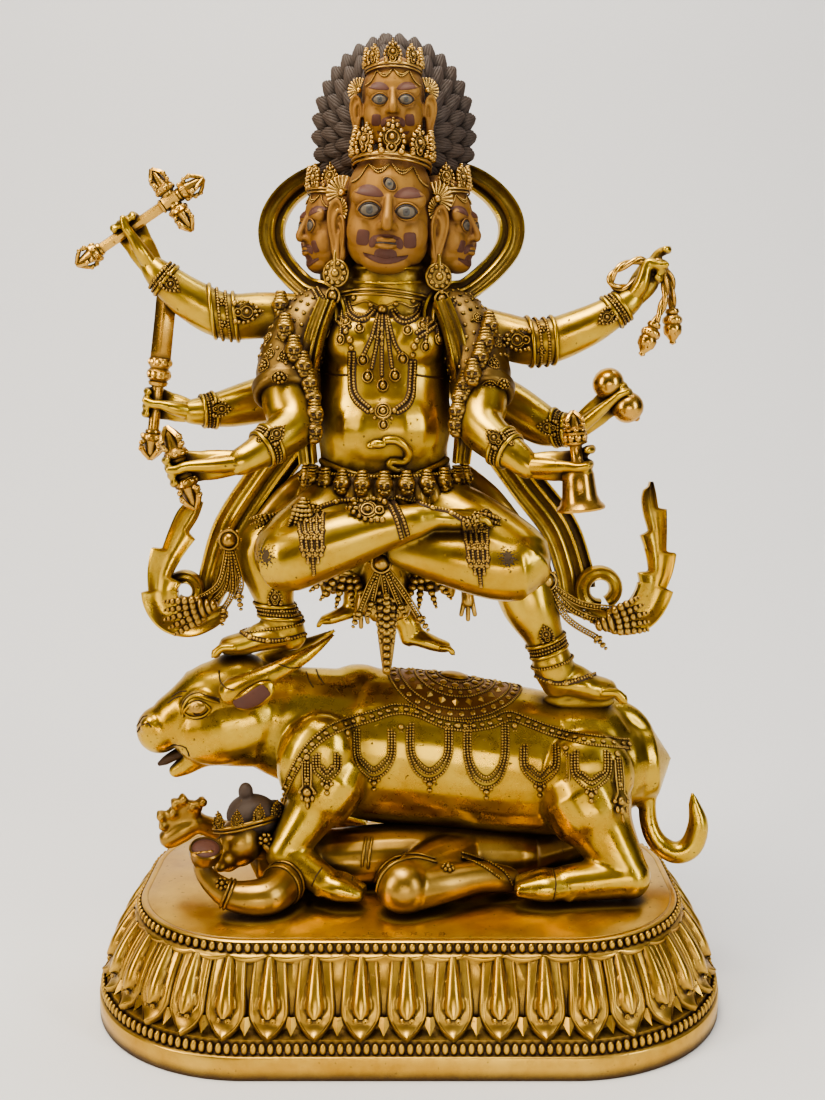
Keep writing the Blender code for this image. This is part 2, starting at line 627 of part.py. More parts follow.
def scarf(clay):
    """The long scarf: a loop over each shoulder, a fall down each side and a curled, stepped end."""
    for points in (
        [(-42, 10, 430, 7), (-66, 10, 437, 7.5), (-80, 14, 454, 8), (-86, 18, 472, 8), (-79, 24, 493, 7.5),
         (-64, 28, 508, 7), (-46, 30, 518, 6)],
        [(16, 10, 428, 7), (38, 8, 432, 7.5), (55, 12, 450, 8), (64, 18, 472, 8), (60, 24, 493, 7.5),
         (45, 28, 508, 7), (28, 30, 518, 6)],
        [(-58, 24, 372, 9), (-70, 22, 346, 9.5), (-91, 16, 318, 9.5), (-111, 10, 288, 9.5),
         (-122, 6, 262, 8.5), (-124, 2, 246, 8), (-133, -3, 233, 8), (-147, -5, 231, 8), (-157, -6, 244, 8.5),
         (-158, -5, 260, 8.5), (-151, -4, 274, 7)],
        [(34, 24, 372, 8), (48, 22, 346, 8.5), (69, 16, 314, 8.5), (90, 10, 288, 8.5),
         (99, 5, 264, 8), (104, 1, 248, 7.5), (120, -3, 237, 7.5), (138, -5, 233, 7.5), (151, -4, 243, 8.5),
         (154, -3, 258, 8.5), (151, -2, 274, 7)],
    ):
        clay.limb(points, sides=10, ratio=0.34)
    for centre, radius in (((-138, 0, 252), 10), ((116, -1, 254), 13)):
        clay.ring(centre, (0.1, 1, 0), radius, 5.5, sides=16)
    for k, (x, z) in enumerate(((-147, 280), (-139, 290), (-131, 301))):
        clay.limb([(x - 6, -4, z - 7, 6), (x, -4, z, 7 - k), (x + 6, -4, z + 5, 2.5)], sides=8, ratio=0.5)
    for k, (x, z) in enumerate(((152, 276), (150, 290), (146, 304), (147, 314))):
        clay.limb([(x + 3, -2, z - 8, 6.5 - k), (x + 1, -2, z, 6.5 - k), (x - 5, -2, z + 5, 2)], sides=8, ratio=0.5)


def tassels(clay):
    """The bead strings that swing out from each hip, with blocks at their ends."""
    for boss, ends in (
        ((-106, -8, 284), ((-112, -10, 240), (-124, -12, 246), (-138, -12, 243))),
        ((83, -8, 262), ((112, -11, 224), (124, -12, 238), (140, -12, 237))),
    ):
        clay.ball(boss, (6, 5, 6))
        for end in ends:
            middle = ((boss[0] + end[0]) / 2 - 2, (boss[1] + end[1]) / 2, (boss[2] + end[2]) / 2 - 3)
            clay.limb([(*boss, 3.4), (*middle, 3.2), (*end, 5)], sides=6)
    for x, y, z, r in ((-88, 6, 292, 9), (64, 6, 272, 8)):
        clay.limb([(x, y, z, r), (x + (-18 if x < 0 else 18), -6, z - 8, 4)])


def peg(clay):
    """The small stud between the right sole and the rump."""
    clay.limb([(99, 0, 196, 7), (99, 2, 186, 6.5), (99, 3, 178, 6)], across=(0, 0, 1), sides=8)


# What the hands hold, as places and directions in pose units

STAFF_HOLD = (-162, -12, 466.5)
STAFF_WAY = (0.836, 0, 0.548)
SWORD_HOLD = (-151, -3, 366)
SWORD_WAY = (0.13, 0, 0.99)
VAJRA_HOLD = (-126, -66, 333)
VAJRA_WAY = (-0.31, 0, 0.95)
ROPE_HOLD = (143, -12, 446)
FRUIT_HOLD = (124, -7, 371)
FRUIT_WAY = (0.64, -0.09, -0.77)
BELL_HOLD = (93, -68, 334)
BELL_WAY = (0.10, 0, -0.995)


def turned(name, profile, origin, way, sides=8, collection=None):
    """A turned form: (radius, distance) pairs from one end to the other, laid along a direction."""
    bm = bmesh.new()
    previous = None
    for radius, distance in reversed(profile):
        vert = bm.verts.new((radius, 0, distance))
        if previous:
            bm.edges.new((previous, vert))
        previous = vert
    mesh = bpy.data.meshes.new(name)
    bm.to_mesh(mesh)
    bm.free()
    obj = new_object(name, mesh, collection or PARTS)
    screw = obj.modifiers.new("Turn", "SCREW")
    screw.steps = screw.render_steps = sides
    screw.use_merge_vertices = True
    screw.merge_threshold = 0.00001
    facing = Vector(way).normalized().to_track_quat("Z", "Y").to_matrix().to_4x4()
    obj.matrix_world = Matrix.Translation(origin) @ facing
    settle(obj)
    bm = bmesh.new()
    bm.from_mesh(obj.data)
    bmesh.ops.recalc_face_normals(bm, faces=bm.faces)
    bm.to_mesh(obj.data)
    bm.free()
    return obj


def vajra_head_profile(start, length, diameter):
    """Collar, lotus, waist, gathered prongs and knob of one vajra end, from its root outwards."""
    radius = diameter / 2
    return [(radius * 0.62, start), (radius * 0.92, start + length * 0.16), (radius * 0.74, start + length * 0.32),
            (radius, start + length * 0.50), (radius * 0.78, start + length * 0.74),
            (radius * 0.28, start + length * 0.90), (0, start + length)]


def crossed_vajra_staff():
    material = gilt_material("Staff gilt", GILT, 0.32)
    way = Vector(STAFF_WAY).normalized()
    lower = at(*STAFF_HOLD) - way * STAFF_LENGTH * 0.36
    radius = STAFF_DIAMETER / 2
    foot_end = [(r, -d) for r, d in reversed(vajra_head_profile(0, STAFF_HEAD_LENGTH, STAFF_HEAD_DIAMETER))]
    top_end = vajra_head_profile(STAFF_LENGTH, STAFF_HEAD_LENGTH, STAFF_HEAD_DIAMETER)
    shaft = [(radius, STAFF_HEAD_LENGTH * 0.04), (radius, STAFF_LENGTH * 0.80), (radius * 1.5, STAFF_LENGTH * 0.82)]
    obj = turned("crossed_vajra_staff", foot_end + shaft + top_end, lower, way)
    hub = lower + way * STAFF_LENGTH * 0.90
    cross_way = Vector((-way.z, 0, way.x))
    for side in (-1, 1):
        arm_end = [(0, 0), (radius * 1.2, 0.0002)] + vajra_head_profile(
            radius * 1.2, STAFF_HEAD_LENGTH, STAFF_HEAD_DIAMETER)
        prong = turned("Cross prong", arm_end, hub, cross_way * side, collection=CUTTERS)
        combine(obj, prong, "UNION")
    obj.data.materials.append(material)
    return obj


def sword():
    """A straight, thick blade with a lotus collar above the hand and a vajra pommel below it."""
    way = Vector(SWORD_WAY).normalized()
    pommel = SWORD_POMMEL_DIAMETER
    handle_length = SWORD_LENGTH * 0.26
    collar = SWORD_LENGTH * 0.16
    low = at(*SWORD_HOLD) - way * handle_length * 0.62
    foot_end = [(r, -d) for r, d in reversed(vajra_head_profile(0, pommel * 1.05, pommel))]
    grip = [(0.0036, 0.0004), (0.0036, handle_length), (pommel * 0.46, handle_length + 0.001),
            (pommel * 0.50, handle_length + collar * 0.5), (pommel * 0.45, handle_length + collar)]
    obj = turned("sword", foot_end + grip + [(0, handle_length + collar + 0.001)], low, way)
    blade = new_object("Blade", bpy.data.meshes.new("Blade"), CUTTERS)
    length = SWORD_LENGTH - handle_length - collar * 0.6 - pommel
    bm = bmesh.new()
    bmesh.ops.create_cube(bm, size=1)
    for vert in bm.verts:
        vert.co.x *= SWORD_BLADE_WIDTH
        vert.co.y *= SWORD_BLADE_THICKNESS
        vert.co.z = (vert.co.z + 0.5) * length
        if vert.co.z > length / 2 and vert.co.x < 0:
            vert.co.z -= SWORD_BLADE_WIDTH * 0.3
    bm.to_mesh(blade.data)
    bm.free()
    bevel = blade.modifiers.new("Rounded edges", "BEVEL")
    bevel.width = SWORD_BLADE_THICKNESS * 0.3
    bevel.segments = 2
    foot_of_blade = low + way * (handle_length + collar * 0.6)
    blade.matrix_world = Matrix.Translation(foot_of_blade) @ way.to_track_quat("Z", "Y").to_matrix().to_4x4()
    settle(blade)
    combine(obj, blade, "UNION")
    obj.data.materials.append(gilt_material("Sword gilt", GILT, 0.3))
    return obj


def vajra():
    way = Vector(VAJRA_WAY).normalized()
    head_length = VAJRA_LENGTH * 0.40
    neck = VAJRA_LENGTH / 2 - head_length
    upper = vajra_head_profile(neck, head_length, VAJRA_DIAMETER)
    lower = [(r, -d) for r, d in reversed(upper)]
    centre = at(*VAJRA_HOLD)
    obj = turned("vajra", lower + upper, centre, way)
    obj.data.materials.append(gilt_material("Vajra gilt", GILT, 0.35))
    return obj


def noose():
    """The rope: a small loop by the thumb, and two hanging strands with weighted ends."""
    x, y, z = ROPE_HOLD
    rope = ROPE_DIAMETER / 2 / UNIT
    end = ROPE_END_DIAMETER / 2 / UNIT
    clay = Clay()
    for points in (
        [(x, y, z - 4), (x - 9, y - 1, z + 3), (x - 22, y - 2, z - 2), (x - 26, y - 2, z - 9),
         (x - 20, y - 1, z - 13), (x - 9, y + 1, z - 8), (x, y + 2, z + 2), (x + 4, y, z),
         (x + 6, y - 2, z - 14), (x + 4, y - 3, z - 24), (x, y - 4, z - 33)],
        [(x - 6, y + 2, z + 2), (x + 3, y + 3, z + 1.5), (x + 10, y + 3, z - 8), (x + 11, y + 2, z - 25)],
    ):
        clay.limb([(*point, rope) for point in points], sides=8)
    for start, lean in (((x, y - 4, z - 33), -0.4), ((x + 11, y + 2, z - 25), 0.05)):
        clay.limb([(start[0] + lean * along * end, start[1], start[2] - along * end, end * share)
                   for along, share in ((0, 0.7), (0.6, 0.98), (1.3, 0.85), (2.0, 0.95), (2.8, 0.4), (3.2, 0.2))],
                  sides=8, step=2.0)
    return clay.cast("noose", gilt_material("Noose gilt", DARK_GILT, 0.35), NOOSE_FACETS, FUSE_CELL * 0.6)


def lobed_fruit():
    """Two smooth egg-like lobes on a narrow waist."""
    way = Vector(FRUIT_WAY).normalized()
    half = FRUIT_DIAMETER / 2
    far = FRUIT_SPACING / 2 + half * 0.95
    profile = [(0, -far), (half * 0.62, -far + half * 0.22), (half * 0.98, -far + half * 0.80),
               (half * 0.80, -half * 0.62), (half * 0.42, 0), (half * 0.80, half * 0.62),
               (half * 0.98, far - half * 0.80), (half * 0.62, far - half * 0.22), (0, far)]
    obj = turned("lobed_fruit", profile, at(*FRUIT_HOLD), way, sides=12)
    obj.data.materials.append(gilt_material("Fruit gilt", GILT, 0.3))
    return obj


def bell():
    """An open bell under a short grip, with half a vajra on top."""
    way = Vector(BELL_WAY).normalized()
    mouth = BELL_MOUTH_DIAMETER / 2
    body = BELL_BODY_DIAMETER / 2
    grip = BELL_HANDLE_DIAMETER / 2
    drop = BELL_HEIGHT * 0.44
    crown_height = BELL_HEIGHT - drop - 0.0140
    wall = BELL_WALL
    top_end = [(r, -d) for r, d in reversed(vajra_head_profile(0.0140, crown_height, grip * 2.8))]
    outer = [(grip, -0.0135), (grip * 0.72, -0.0060), (grip * 1.1, 0), (body * 0.80, 0.0010),
             (body * 0.97, drop * 0.28), (body * 1.06, drop * 0.66), (mouth * 0.92, drop * 0.90),
             (mouth, drop * 0.95), (mouth * 0.97, drop)]
    inner = [(mouth * 0.90, drop), (body * 1.06 - wall, drop * 0.70), (body * 0.97 - wall, drop * 0.32),
             (body * 0.76 - wall, 0.0010 + wall), (0, 0.0005 + wall)]
    obj = turned("bell", top_end + outer + inner, at(*BELL_HOLD) - way * 0.0005, way, sides=12)
    obj.data.materials.append(gilt_material("Bell gilt", GILT, 0.38))
    return obj


def protector_figure():
    clay = Clay()
    for form in (heads, torso, skirts, upper_arms, middle_arms, front_arms, arm_bands, legs, scarf, tassels, peg):
        form(clay)
    return clay.cast("protector_figure", gilt_material("Figure gilt", GILT, 0.28), FIGURE_FACETS)


def plate_block():
    """What lies below the castings' seats on the pedestal: everything up to a gap above its plate."""
    block = new_object("Seat", bpy.data.meshes.new("Seat"), CUTTERS)
    bm = bmesh.new()
    bmesh.ops.create_cube(bm, size=1)
    for vert in bm.verts:
        vert.co.x *= BASE_LENGTH * 1.2
        vert.co.y *= BASE_LENGTH * 1.2
        vert.co.z = BASE_HEIGHT + GAP - (0.5 - vert.co.z) * BASE_HEIGHT * 2
    bm.to_mesh(block.data)
    bm.free()
    return block


def build():
    lotus_base()
    animal = buffalo()
    prone = prone_figure()
    for casting in (animal, prone):
        combine(casting, plate_block(), "DIFFERENCE", "MANIFOLD")
        keep_largest_body(casting)
    combine(prone, grown_copy(animal, GAP), "DIFFERENCE", "MANIFOLD")
    keep_largest_body(prone)
    held = [crossed_vajra_staff(), sword(), vajra(), noose(), lobed_fruit(), bell()]
    figure = protector_figure()
    for neighbour in (animal, *held):
        combine(figure, grown_copy(neighbour, GAP), "DIFFERENCE", "MANIFOLD")
        keep_largest_body(figure)
    for obj in PARTS.objects:
        obj.data.shade_smooth()
        obj.data.set_sharp_from_angle(angle=pi / 5)


build()
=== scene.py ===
"""Looks of the gilded dharma protector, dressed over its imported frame. The front faces -Y and +Z is up.
The file follows the work from its foot to its crown: the room it is seen in, the lotus pedestal, the
prone figure, the buffalo, the standing body, its heads, dress, jewellery and scarf, and what its hands
hold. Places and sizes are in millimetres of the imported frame, and MM turns them into metres. """

from math import atan2, cos, pi, sin, sqrt, tau

import bmesh
import bpy
from mathutils import Matrix, Vector
from mathutils.bvhtree import BVHTree


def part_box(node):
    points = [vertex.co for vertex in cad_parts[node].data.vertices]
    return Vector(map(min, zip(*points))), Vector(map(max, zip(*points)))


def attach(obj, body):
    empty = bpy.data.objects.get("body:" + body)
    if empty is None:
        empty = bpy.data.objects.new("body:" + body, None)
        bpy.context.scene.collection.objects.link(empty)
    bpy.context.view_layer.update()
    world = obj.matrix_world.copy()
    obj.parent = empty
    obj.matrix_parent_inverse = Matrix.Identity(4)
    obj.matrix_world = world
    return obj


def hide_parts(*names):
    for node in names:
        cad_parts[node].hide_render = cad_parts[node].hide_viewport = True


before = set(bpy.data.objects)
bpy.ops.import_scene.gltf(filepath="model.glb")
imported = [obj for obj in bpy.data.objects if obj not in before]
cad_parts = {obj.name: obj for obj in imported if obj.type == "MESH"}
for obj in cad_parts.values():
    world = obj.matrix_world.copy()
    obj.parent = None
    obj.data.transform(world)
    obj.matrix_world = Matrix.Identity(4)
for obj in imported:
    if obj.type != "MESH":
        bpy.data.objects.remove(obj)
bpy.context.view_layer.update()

MM = 0.001


# The room: a pale table that curves up into a pale wall, with soft lamps in front, above and to both
# sides. A dim warm surround gives the polished metal something dark to reflect between the lamps.

def plain_paint(name, colour, roughness):
    material = bpy.data.materials.new(name)
    material.use_nodes = True
    shader = material.node_tree.nodes["Principled BSDF"]
    shader.inputs["Base Color"].default_value = (*colour, 1)
    shader.inputs["Roughness"].default_value = roughness
    return material


def table_and_wall():
    """One sheet, flat under the work and curving up behind it."""
    half_width = 3.0
    front = -2.4
    back = 1.25
    bend = 0.8
    turns = 16
    profile = [(front, 0.0), (back - bend, 0.0)]
    profile += [(back - bend + bend * sin(a), bend - bend * cos(a))
                for a in (pi / 2 * k / turns for k in range(1, turns + 1))]
    profile.append((back, 3.2))
    bm = bmesh.new()
    pairs = [[bm.verts.new((side * half_width, y, z - 0.0002)) for side in (-1, 1)] for y, z in profile]
    for (a, b), (c, d) in zip(pairs, pairs[1:]):
        bm.faces.new((a, b, d, c))
    mesh = bpy.data.meshes.new("Table and wall")
    bm.to_mesh(mesh)
    bm.free()
    mesh.shade_smooth()
    sheet = bpy.data.objects.new("Table and wall", mesh)
    bpy.context.scene.collection.objects.link(sheet)
    mesh.materials.append(plain_paint("Pale wall", (0.78, 0.77, 0.78), 0.9))
    return sheet


def soft_lamp(name, place, target, size, power, colour):
    lamp = bpy.data.lights.new(name, "AREA")
    lamp.shape = "RECTANGLE"
    lamp.size, lamp.size_y = size
    lamp.energy = power
    lamp.color = colour
    obj = bpy.data.objects.new(name, lamp)
    bpy.context.scene.collection.objects.link(obj)
    obj.location = place
    obj.rotation_euler = (Vector(target) - Vector(place)).to_track_quat("-Z", "Y").to_euler()
    return obj


def surround():
    """A dim warm room, lighter overhead than near the floor."""
    world = bpy.data.worlds.new("Room")
    bpy.context.scene.world = world
    world.use_nodes = True
    nodes = world.node_tree.nodes
    links = world.node_tree.links
    place = nodes.new("ShaderNodeTexCoord")
    split = nodes.new("ShaderNodeSeparateXYZ")
    ramp = nodes.new("ShaderNodeValToRGB")
    ramp.color_ramp.elements[0].position = 0.35
    ramp.color_ramp.elements[0].color = (0.035, 0.024, 0.016, 1)
    ramp.color_ramp.elements[1].position = 0.95
    ramp.color_ramp.elements[1].color = (0.60, 0.58, 0.56, 1)
    links.new(place.outputs["Generated"], split.inputs[0])
    links.new(split.outputs["Z"], ramp.inputs["Fac"])
    links.new(ramp.outputs["Color"], nodes["Background"].inputs["Color"])
    nodes["Background"].inputs["Strength"].default_value = 0.55


table_and_wall()
surround()
MIDDLE = (0, 0, 0.30)
soft_lamp("Ceiling lamp", (-0.25, -0.35, 1.75), MIDDLE, (0.9, 0.55), 25, (1.0, 0.94, 0.80))
soft_lamp("Left window", (-1.5, -0.9, 0.95), MIDDLE, (0.40, 1.3), 20, (1.0, 0.90, 0.72))
soft_lamp("Right window", (1.35, -1.1, 0.75), MIDDLE, (0.28, 1.1), 12, (0.93, 0.97, 0.95))
soft_lamp("Low front lamp", (0.15, -1.9, 0.30), MIDDLE, (1.0, 0.25), 7, (1.0, 0.93, 0.78))
soft_lamp("Wall wash", (0.0, 0.35, 2.3), (0, 1.25, 0.7), (2.6, 0.5), 26, (0.97, 0.98, 1.0))

camera_data = bpy.data.cameras.new("Camera")
camera_data.lens = 42.55
camera_data.sensor_width = 36
camera = bpy.data.objects.new("Camera", camera_data)
bpy.context.scene.collection.objects.link(camera)
camera.location = (0.0021, -0.7834, 0.3977)
camera.rotation_euler = (81.25 * pi / 180, 0, 0)
bpy.context.scene.camera = camera
bpy.context.scene.view_settings.look = "AgX - Medium High Contrast"


# The lotus pedestal: a hollow oval casting with a plain foot, two rows of pearls, a ring of hanging
# petals whose tips turn up, and a flat plate with shallow chisel marks at its front edge. Gilt bronze,
# polished by wear on what stands proud and brown in the recesses with patina and painted shade.

def value_of(tree, number_node, socket, other, link=True):
    """Feeds a socket from another node's output, or sets it."""
    if link:
        tree.links.new(other, number_node.inputs[socket])
    else:
        number_node.inputs[socket].default_value = other


def maths(tree, operation, first, second=0.0, clamp=False):
    """A Math node of two values, each a socket or a number; gives its output."""
    node = tree.nodes.new("ShaderNodeMath")
    node.operation = operation
    node.use_clamp = clamp
    for index, given in enumerate((first, second)):
        value_of(tree, node, index, given, link=not isinstance(given, (int, float)))
    return node.outputs[0]


def noise_of(tree, place, scale, detail=3.0, roughness=0.55):
    node = tree.nodes.new("ShaderNodeTexNoise")
    node.inputs["Scale"].default_value = scale
    node.inputs["Detail"].default_value = detail
    node.inputs["Roughness"].default_value = roughness
    tree.links.new(place, node.inputs["Vector"])
    return node.outputs["Fac"]


def between(tree, value, low, high):
    """A value's share of the way from low to high, kept from 0 to 1."""
    node = tree.nodes.new("ShaderNodeMapRange")
    node.inputs["From Min"].default_value = low
    node.inputs["From Max"].default_value = high
    tree.links.new(value, node.inputs["Value"])
    return node.outputs["Result"]


def blended(tree, share, first, second, blend="MIX"):
    """A colour mix of two colours, each a socket or a tuple."""
    node = tree.nodes.new("ShaderNodeMix")
    node.data_type = "RGBA"
    node.blend_type = blend
    if isinstance(share, float):
        node.inputs[0].default_value = share
    else:
        tree.links.new(share, node.inputs[0])
    for socket, given in ((6, first), (7, second)):
        if isinstance(given, tuple):
            node.inputs[socket].default_value = (*given, 1)
        else:
            tree.links.new(given, node.inputs[socket])
    return node.outputs[2]


def new_group(name, inputs, outputs):
    """A shader node group with float or colour sockets, given as (name, type, default)."""
    tree = bpy.data.node_groups.new(name, "ShaderNodeTree")
    for label, kind, default in inputs:
        socket = tree.interface.new_socket(label, in_out="INPUT", socket_type=kind)
        socket.default_value = default
    for label, kind in outputs:
        tree.interface.new_socket(label, in_out="OUTPUT", socket_type=kind)
    return tree, tree.nodes.new("NodeGroupInput"), tree.nodes.new("NodeGroupOutput")


def worn_metal_and_shade_group():
    """Brown patina and painted shade in the recesses and near other pieces, from ambient occlusion, with
    cloudy tone, fine pits and polish that varies: shared by every metal."""
    colour, number = "NodeSocketColor", "NodeSocketFloat"
    tree, given, made = new_group(
        "Worn metal and painted shade",
        [("Metal", colour, (0.8, 0.5, 0.15, 1)), ("Deep metal", colour, (0.5, 0.25, 0.05, 1)),
         ("Patina and shade", colour, (0.04, 0.02, 0.01, 1)), ("Recess reach", number, 0.004),
         ("Patina and shade amount", number, 0.8), ("Polish", number, 0.25), ("Pitting", number, 0.5)],
        [("Colour", colour), ("Metallic", number), ("Roughness", number), ("Height", number)],
    )
    place = tree.nodes.new("ShaderNodeTexCoord").outputs["Object"]
    recess = tree.nodes.new("ShaderNodeAmbientOcclusion")
    recess.samples = 6
    recess.only_local = False
    tree.links.new(given.outputs["Recess reach"], recess.inputs["Distance"])
    clouds = noise_of(tree, place, 22.0, 4.0)
    smears = noise_of(tree, place, 95.0, 5.0, 0.65)
    grain = noise_of(tree, place, 620.0, 2.0)
    specks = noise_of(tree, place, 330.0, 1.0)

    # Ambient occlusion, which reaches other pieces too, darkens recesses and places close to other parts.
    # This is partly the patina the real bronze keeps in its hollows and partly painted shade.
    open_share = between(tree, maths(tree, "ADD", recess.outputs["AO"],
                                     maths(tree, "MULTIPLY", smears, 0.22)),
                         0.60, 1.09)
    recess_patina_and_shade = maths(tree, "MULTIPLY", maths(tree, "SUBTRACT", 1.0, open_share),
                   given.outputs["Patina and shade amount"],
                   clamp=True)
    pits = maths(tree, "MULTIPLY", between(tree, specks, 0.70, 0.76), given.outputs["Pitting"],
                 clamp=True)
    pits_patina_and_shade = maths(tree, "MAXIMUM", recess_patina_and_shade, maths(tree, "MULTIPLY", pits, 0.8), clamp=True)
    tone = between(tree, maths(tree, "ADD", clouds, maths(tree, "MULTIPLY", smears, 0.5)), 0.52, 1.02)
    metal = blended(tree, tone, given.outputs["Deep metal"], given.outputs["Metal"])
    tree.links.new(blended(tree, pits_patina_and_shade, metal, given.outputs["Patina and shade"]), made.inputs["Colour"])
    tree.links.new(maths(tree, "SUBTRACT", 1.0, maths(tree, "MULTIPLY", pits_patina_and_shade, 0.55)),
                   made.inputs["Metallic"])
    rubbed = maths(tree, "ADD", given.outputs["Polish"], maths(tree, "MULTIPLY", smears, 0.16))
    tree.links.new(maths(tree, "ADD", rubbed, maths(tree, "MULTIPLY", pits_patina_and_shade, 0.28), clamp=True),
                   made.inputs["Roughness"])
    texture = maths(tree, "ADD", maths(tree, "MULTIPLY", grain, 0.25),
                    maths(tree, "MULTIPLY", clouds, 0.9))
    tree.links.new(maths(tree, "SUBTRACT", texture, maths(tree, "MULTIPLY", pits, 1.2)),
                   made.inputs["Height"])
    return tree


WORN_METAL_AND_SHADE = worn_metal_and_shade_group()


def finish_of(name, group, settings, relief, metallic=None, roughness=None):
    """A Principled material fed by a group; relief is the bump's depth in millimetres."""
    material = bpy.data.materials.new(name)
    material.use_nodes = True
    tree = material.node_tree
    shader = tree.nodes["Principled BSDF"]
    wear = tree.nodes.new("ShaderNodeGroup")
    wear.node_tree = group
    for label, setting in settings.items():
        wear.inputs[label].default_value = (*setting, 1) if isinstance(setting, tuple) else setting
    bump = tree.nodes.new("ShaderNodeBump")
    bump.inputs["Strength"].default_value = 0.5
    bump.inputs["Distance"].default_value = relief * MM
    tree.links.new(wear.outputs["Colour"], shader.inputs["Base Color"])
    for label, fixed in (("Metallic", metallic), ("Roughness", roughness)):
        if fixed is None:
            tree.links.new(wear.outputs[label], shader.inputs[label])
        else:
            shader.inputs[label].default_value = fixed
    tree.links.new(wear.outputs["Height"], bump.inputs["Height"])
    tree.links.new(bump.outputs["Normal"], shader.inputs["Normal"])
    return material


def gilding(name, metal=(0.83, 0.50, 0.12), deep=(0.66, 0.34, 0.05), patina_and_shade_colour=(0.045, 0.020, 0.007),
            reach=5.0,
            amount=0.85, polish=0.17, pitting=0.7, relief=0.12):
    return finish_of(name, WORN_METAL_AND_SHADE, {
        "Metal": metal, "Deep metal": deep, "Patina and shade": patina_and_shade_colour, "Recess reach": reach * MM,
        "Patina and shade amount": amount, "Polish": polish, "Pitting": pitting}, relief)


def dressed(obj, slot, *nodes):
    """Hangs a finished piece on the one body and hides the solids it stands for; the slot is not used."""
    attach(obj, "root")
    if nodes:
        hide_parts(*nodes)
    return obj


def object_from(name, bm, material, sharp=None):
    """A smooth-shaded object of a bmesh that is in millimetres."""
    bmesh.ops.scale(bm, vec=(MM, MM, MM), verts=bm.verts)
    mesh = bpy.data.meshes.new(name)
    bm.to_mesh(mesh)
    bm.free()
    mesh.shade_smooth()
    if sharp:
        mesh.set_sharp_from_angle(angle=sharp * pi / 180)
    obj = bpy.data.objects.new(name, mesh)
    bpy.context.scene.collection.objects.link(obj)
    mesh.materials.append(material)
    return obj


def made_plain(obj):
    """Turns the result of an object's modifiers into its own mesh."""
    bpy.context.view_layer.update()
    graph = bpy.context.evaluated_depsgraph_get()
    mesh = bpy.data.meshes.new_from_object(obj.evaluated_get(graph))
    obj.modifiers.clear()
    obj.data = mesh
    mesh.shade_smooth()
    return obj


base_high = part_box("lotus_base")[1] / MM
HALF_LENGTH = base_high.x
HALF_DEPTH = base_high.y
PLATE = base_high.z
CORNER = 100.0
PETALS = 42
PLATE_INSET = 28.3
LOWER_PEARLS = 220
UPPER_PEARLS = 178


def oval(inset, share):
    """A point of the pedestal's outline and its outward direction, this far inside the foot's edge."""
    corner = CORNER - inset
    straight_x = 2 * (HALF_LENGTH - CORNER)
    straight_y = 2 * (HALF_DEPTH - CORNER)
    quarter = corner * pi / 2
    way = (share % 1) * (2 * straight_x + 2 * straight_y + 4 * quarter)
    place = Vector((-straight_x / 2, inset - HALF_DEPTH))
    heading = 0.0
    for straight in (straight_x, straight_y, straight_x, straight_y):
        ahead = Vector((cos(heading), sin(heading)))
        outwards = Vector((sin(heading), -cos(heading)))
        if way <= straight:
            return place + ahead * way, outwards
        way -= straight
        centre = place + ahead * straight - outwards * corner
        angle = heading - pi / 2 + min(way, quarter) / corner
        if way <= quarter:
            return centre + corner * Vector((cos(angle), sin(angle))), Vector((cos(angle), sin(angle)))
        way -= quarter
        heading += pi / 2
        place = centre + corner * Vector((sin(heading), -cos(heading)))
    return place, Vector((0, -1))


def pedestal_core(material):
    """Foot, seats of the pearls, the wall behind the petals and the plate, as rings of (inset, height,
    scallop)."""
    rows = [
        (3.0, 0, 0), (0.3, 0, 0), (0, 0.4, 0), (0, 12.8, 0), (0.4, 13.5, 0), (1.6, 13.9, 0),
        (2.8, 14.2, 0),
        (4.2, 15.0, 0), (4.6, 18.0, 0), (5.0, 21.6, 0), (9.0, 22.4, 0), (12.0, 24.0, 0), (12.0, 34.0, 0),
        (17.0, 48.0, 0), (23.0, 57.0, 0), (22.6, 59.6, 1.2), (22.2, 60.8, 1.0), (22.8, 62.0, 0.7),
        (24.6, 62.7, 0),
        (26.6, 63.4, 0), (26.9, 66.5, 0), (26.6, 68.3, 0), (27.4, PLATE - 0.2, 0),
        (PLATE_INSET, PLATE, 0),
        (PLATE_INSET + 1.6, PLATE, 0), (PLATE_INSET + 2.2, PLATE - 0.35, 0),
        (PLATE_INSET + 2.8, PLATE, 0),
    ]
    columns = PETALS * 10
    bm = bmesh.new()
    rings = []
    for inset, height, scallop in rows:
        ring = []
        for k in range(columns):
            wave = scallop * (abs(cos(pi * k / 10)) - 0.6)
            place, outwards = oval(inset, k / columns)
            place = place + outwards * wave
            ring.append(bm.verts.new((place.x, place.y, height - wave * 1.6)))
        rings.append(ring)
    for ring, following in zip(rings, rings[1:]):
        for k in range(columns):
            n = (k + 1) % columns
            bm.faces.new((ring[k], ring[n], following[n], following[k]))
    bm.faces.new(list(reversed(rings[0])))
    bm.faces.new(rings[-1])
    bmesh.ops.triangulate(bm, faces=[face for face in bm.faces if len(face.verts) > 4])
    return object_from("pedestal", bm, material, sharp=50)


def along(points, share):
    """A point a share of the way through a list of tuples, straight between neighbours."""
    reach = share * (len(points) - 1)
    index = min(int(reach), len(points) - 2)
    part = reach - index
    return tuple(a + (b - a) * part for a, b in zip(points[index], points[index + 1]))


def smooth_path(points, step):
    """Catmull-Rom points through control points of any width, about one step apart."""
    ends = [points[0], *points, points[-1]]
    path = []
    for before, start, end, after in zip(ends, ends[1:], ends[2:], ends[3:]):
        span = sum((b - a) ** 2 for a, b in zip(start[:3], end[:3])) ** 0.5
        count = max(1, round(span / step))
        for i in range(count):
            t = i / count
            path.append(tuple(
                0.5 * (2 * p1 + (p2 - p0) * t + (2 * p0 - 5 * p1 + 4 * p2 - p3) * t * t
                       + (3 * p1 - p0 - 3 * p2 + p3) * t ** 3)
                for p0, p1, p2, p3 in zip(before, start, end, after)
            ))
    path.append(tuple(points[-1]))
    return path


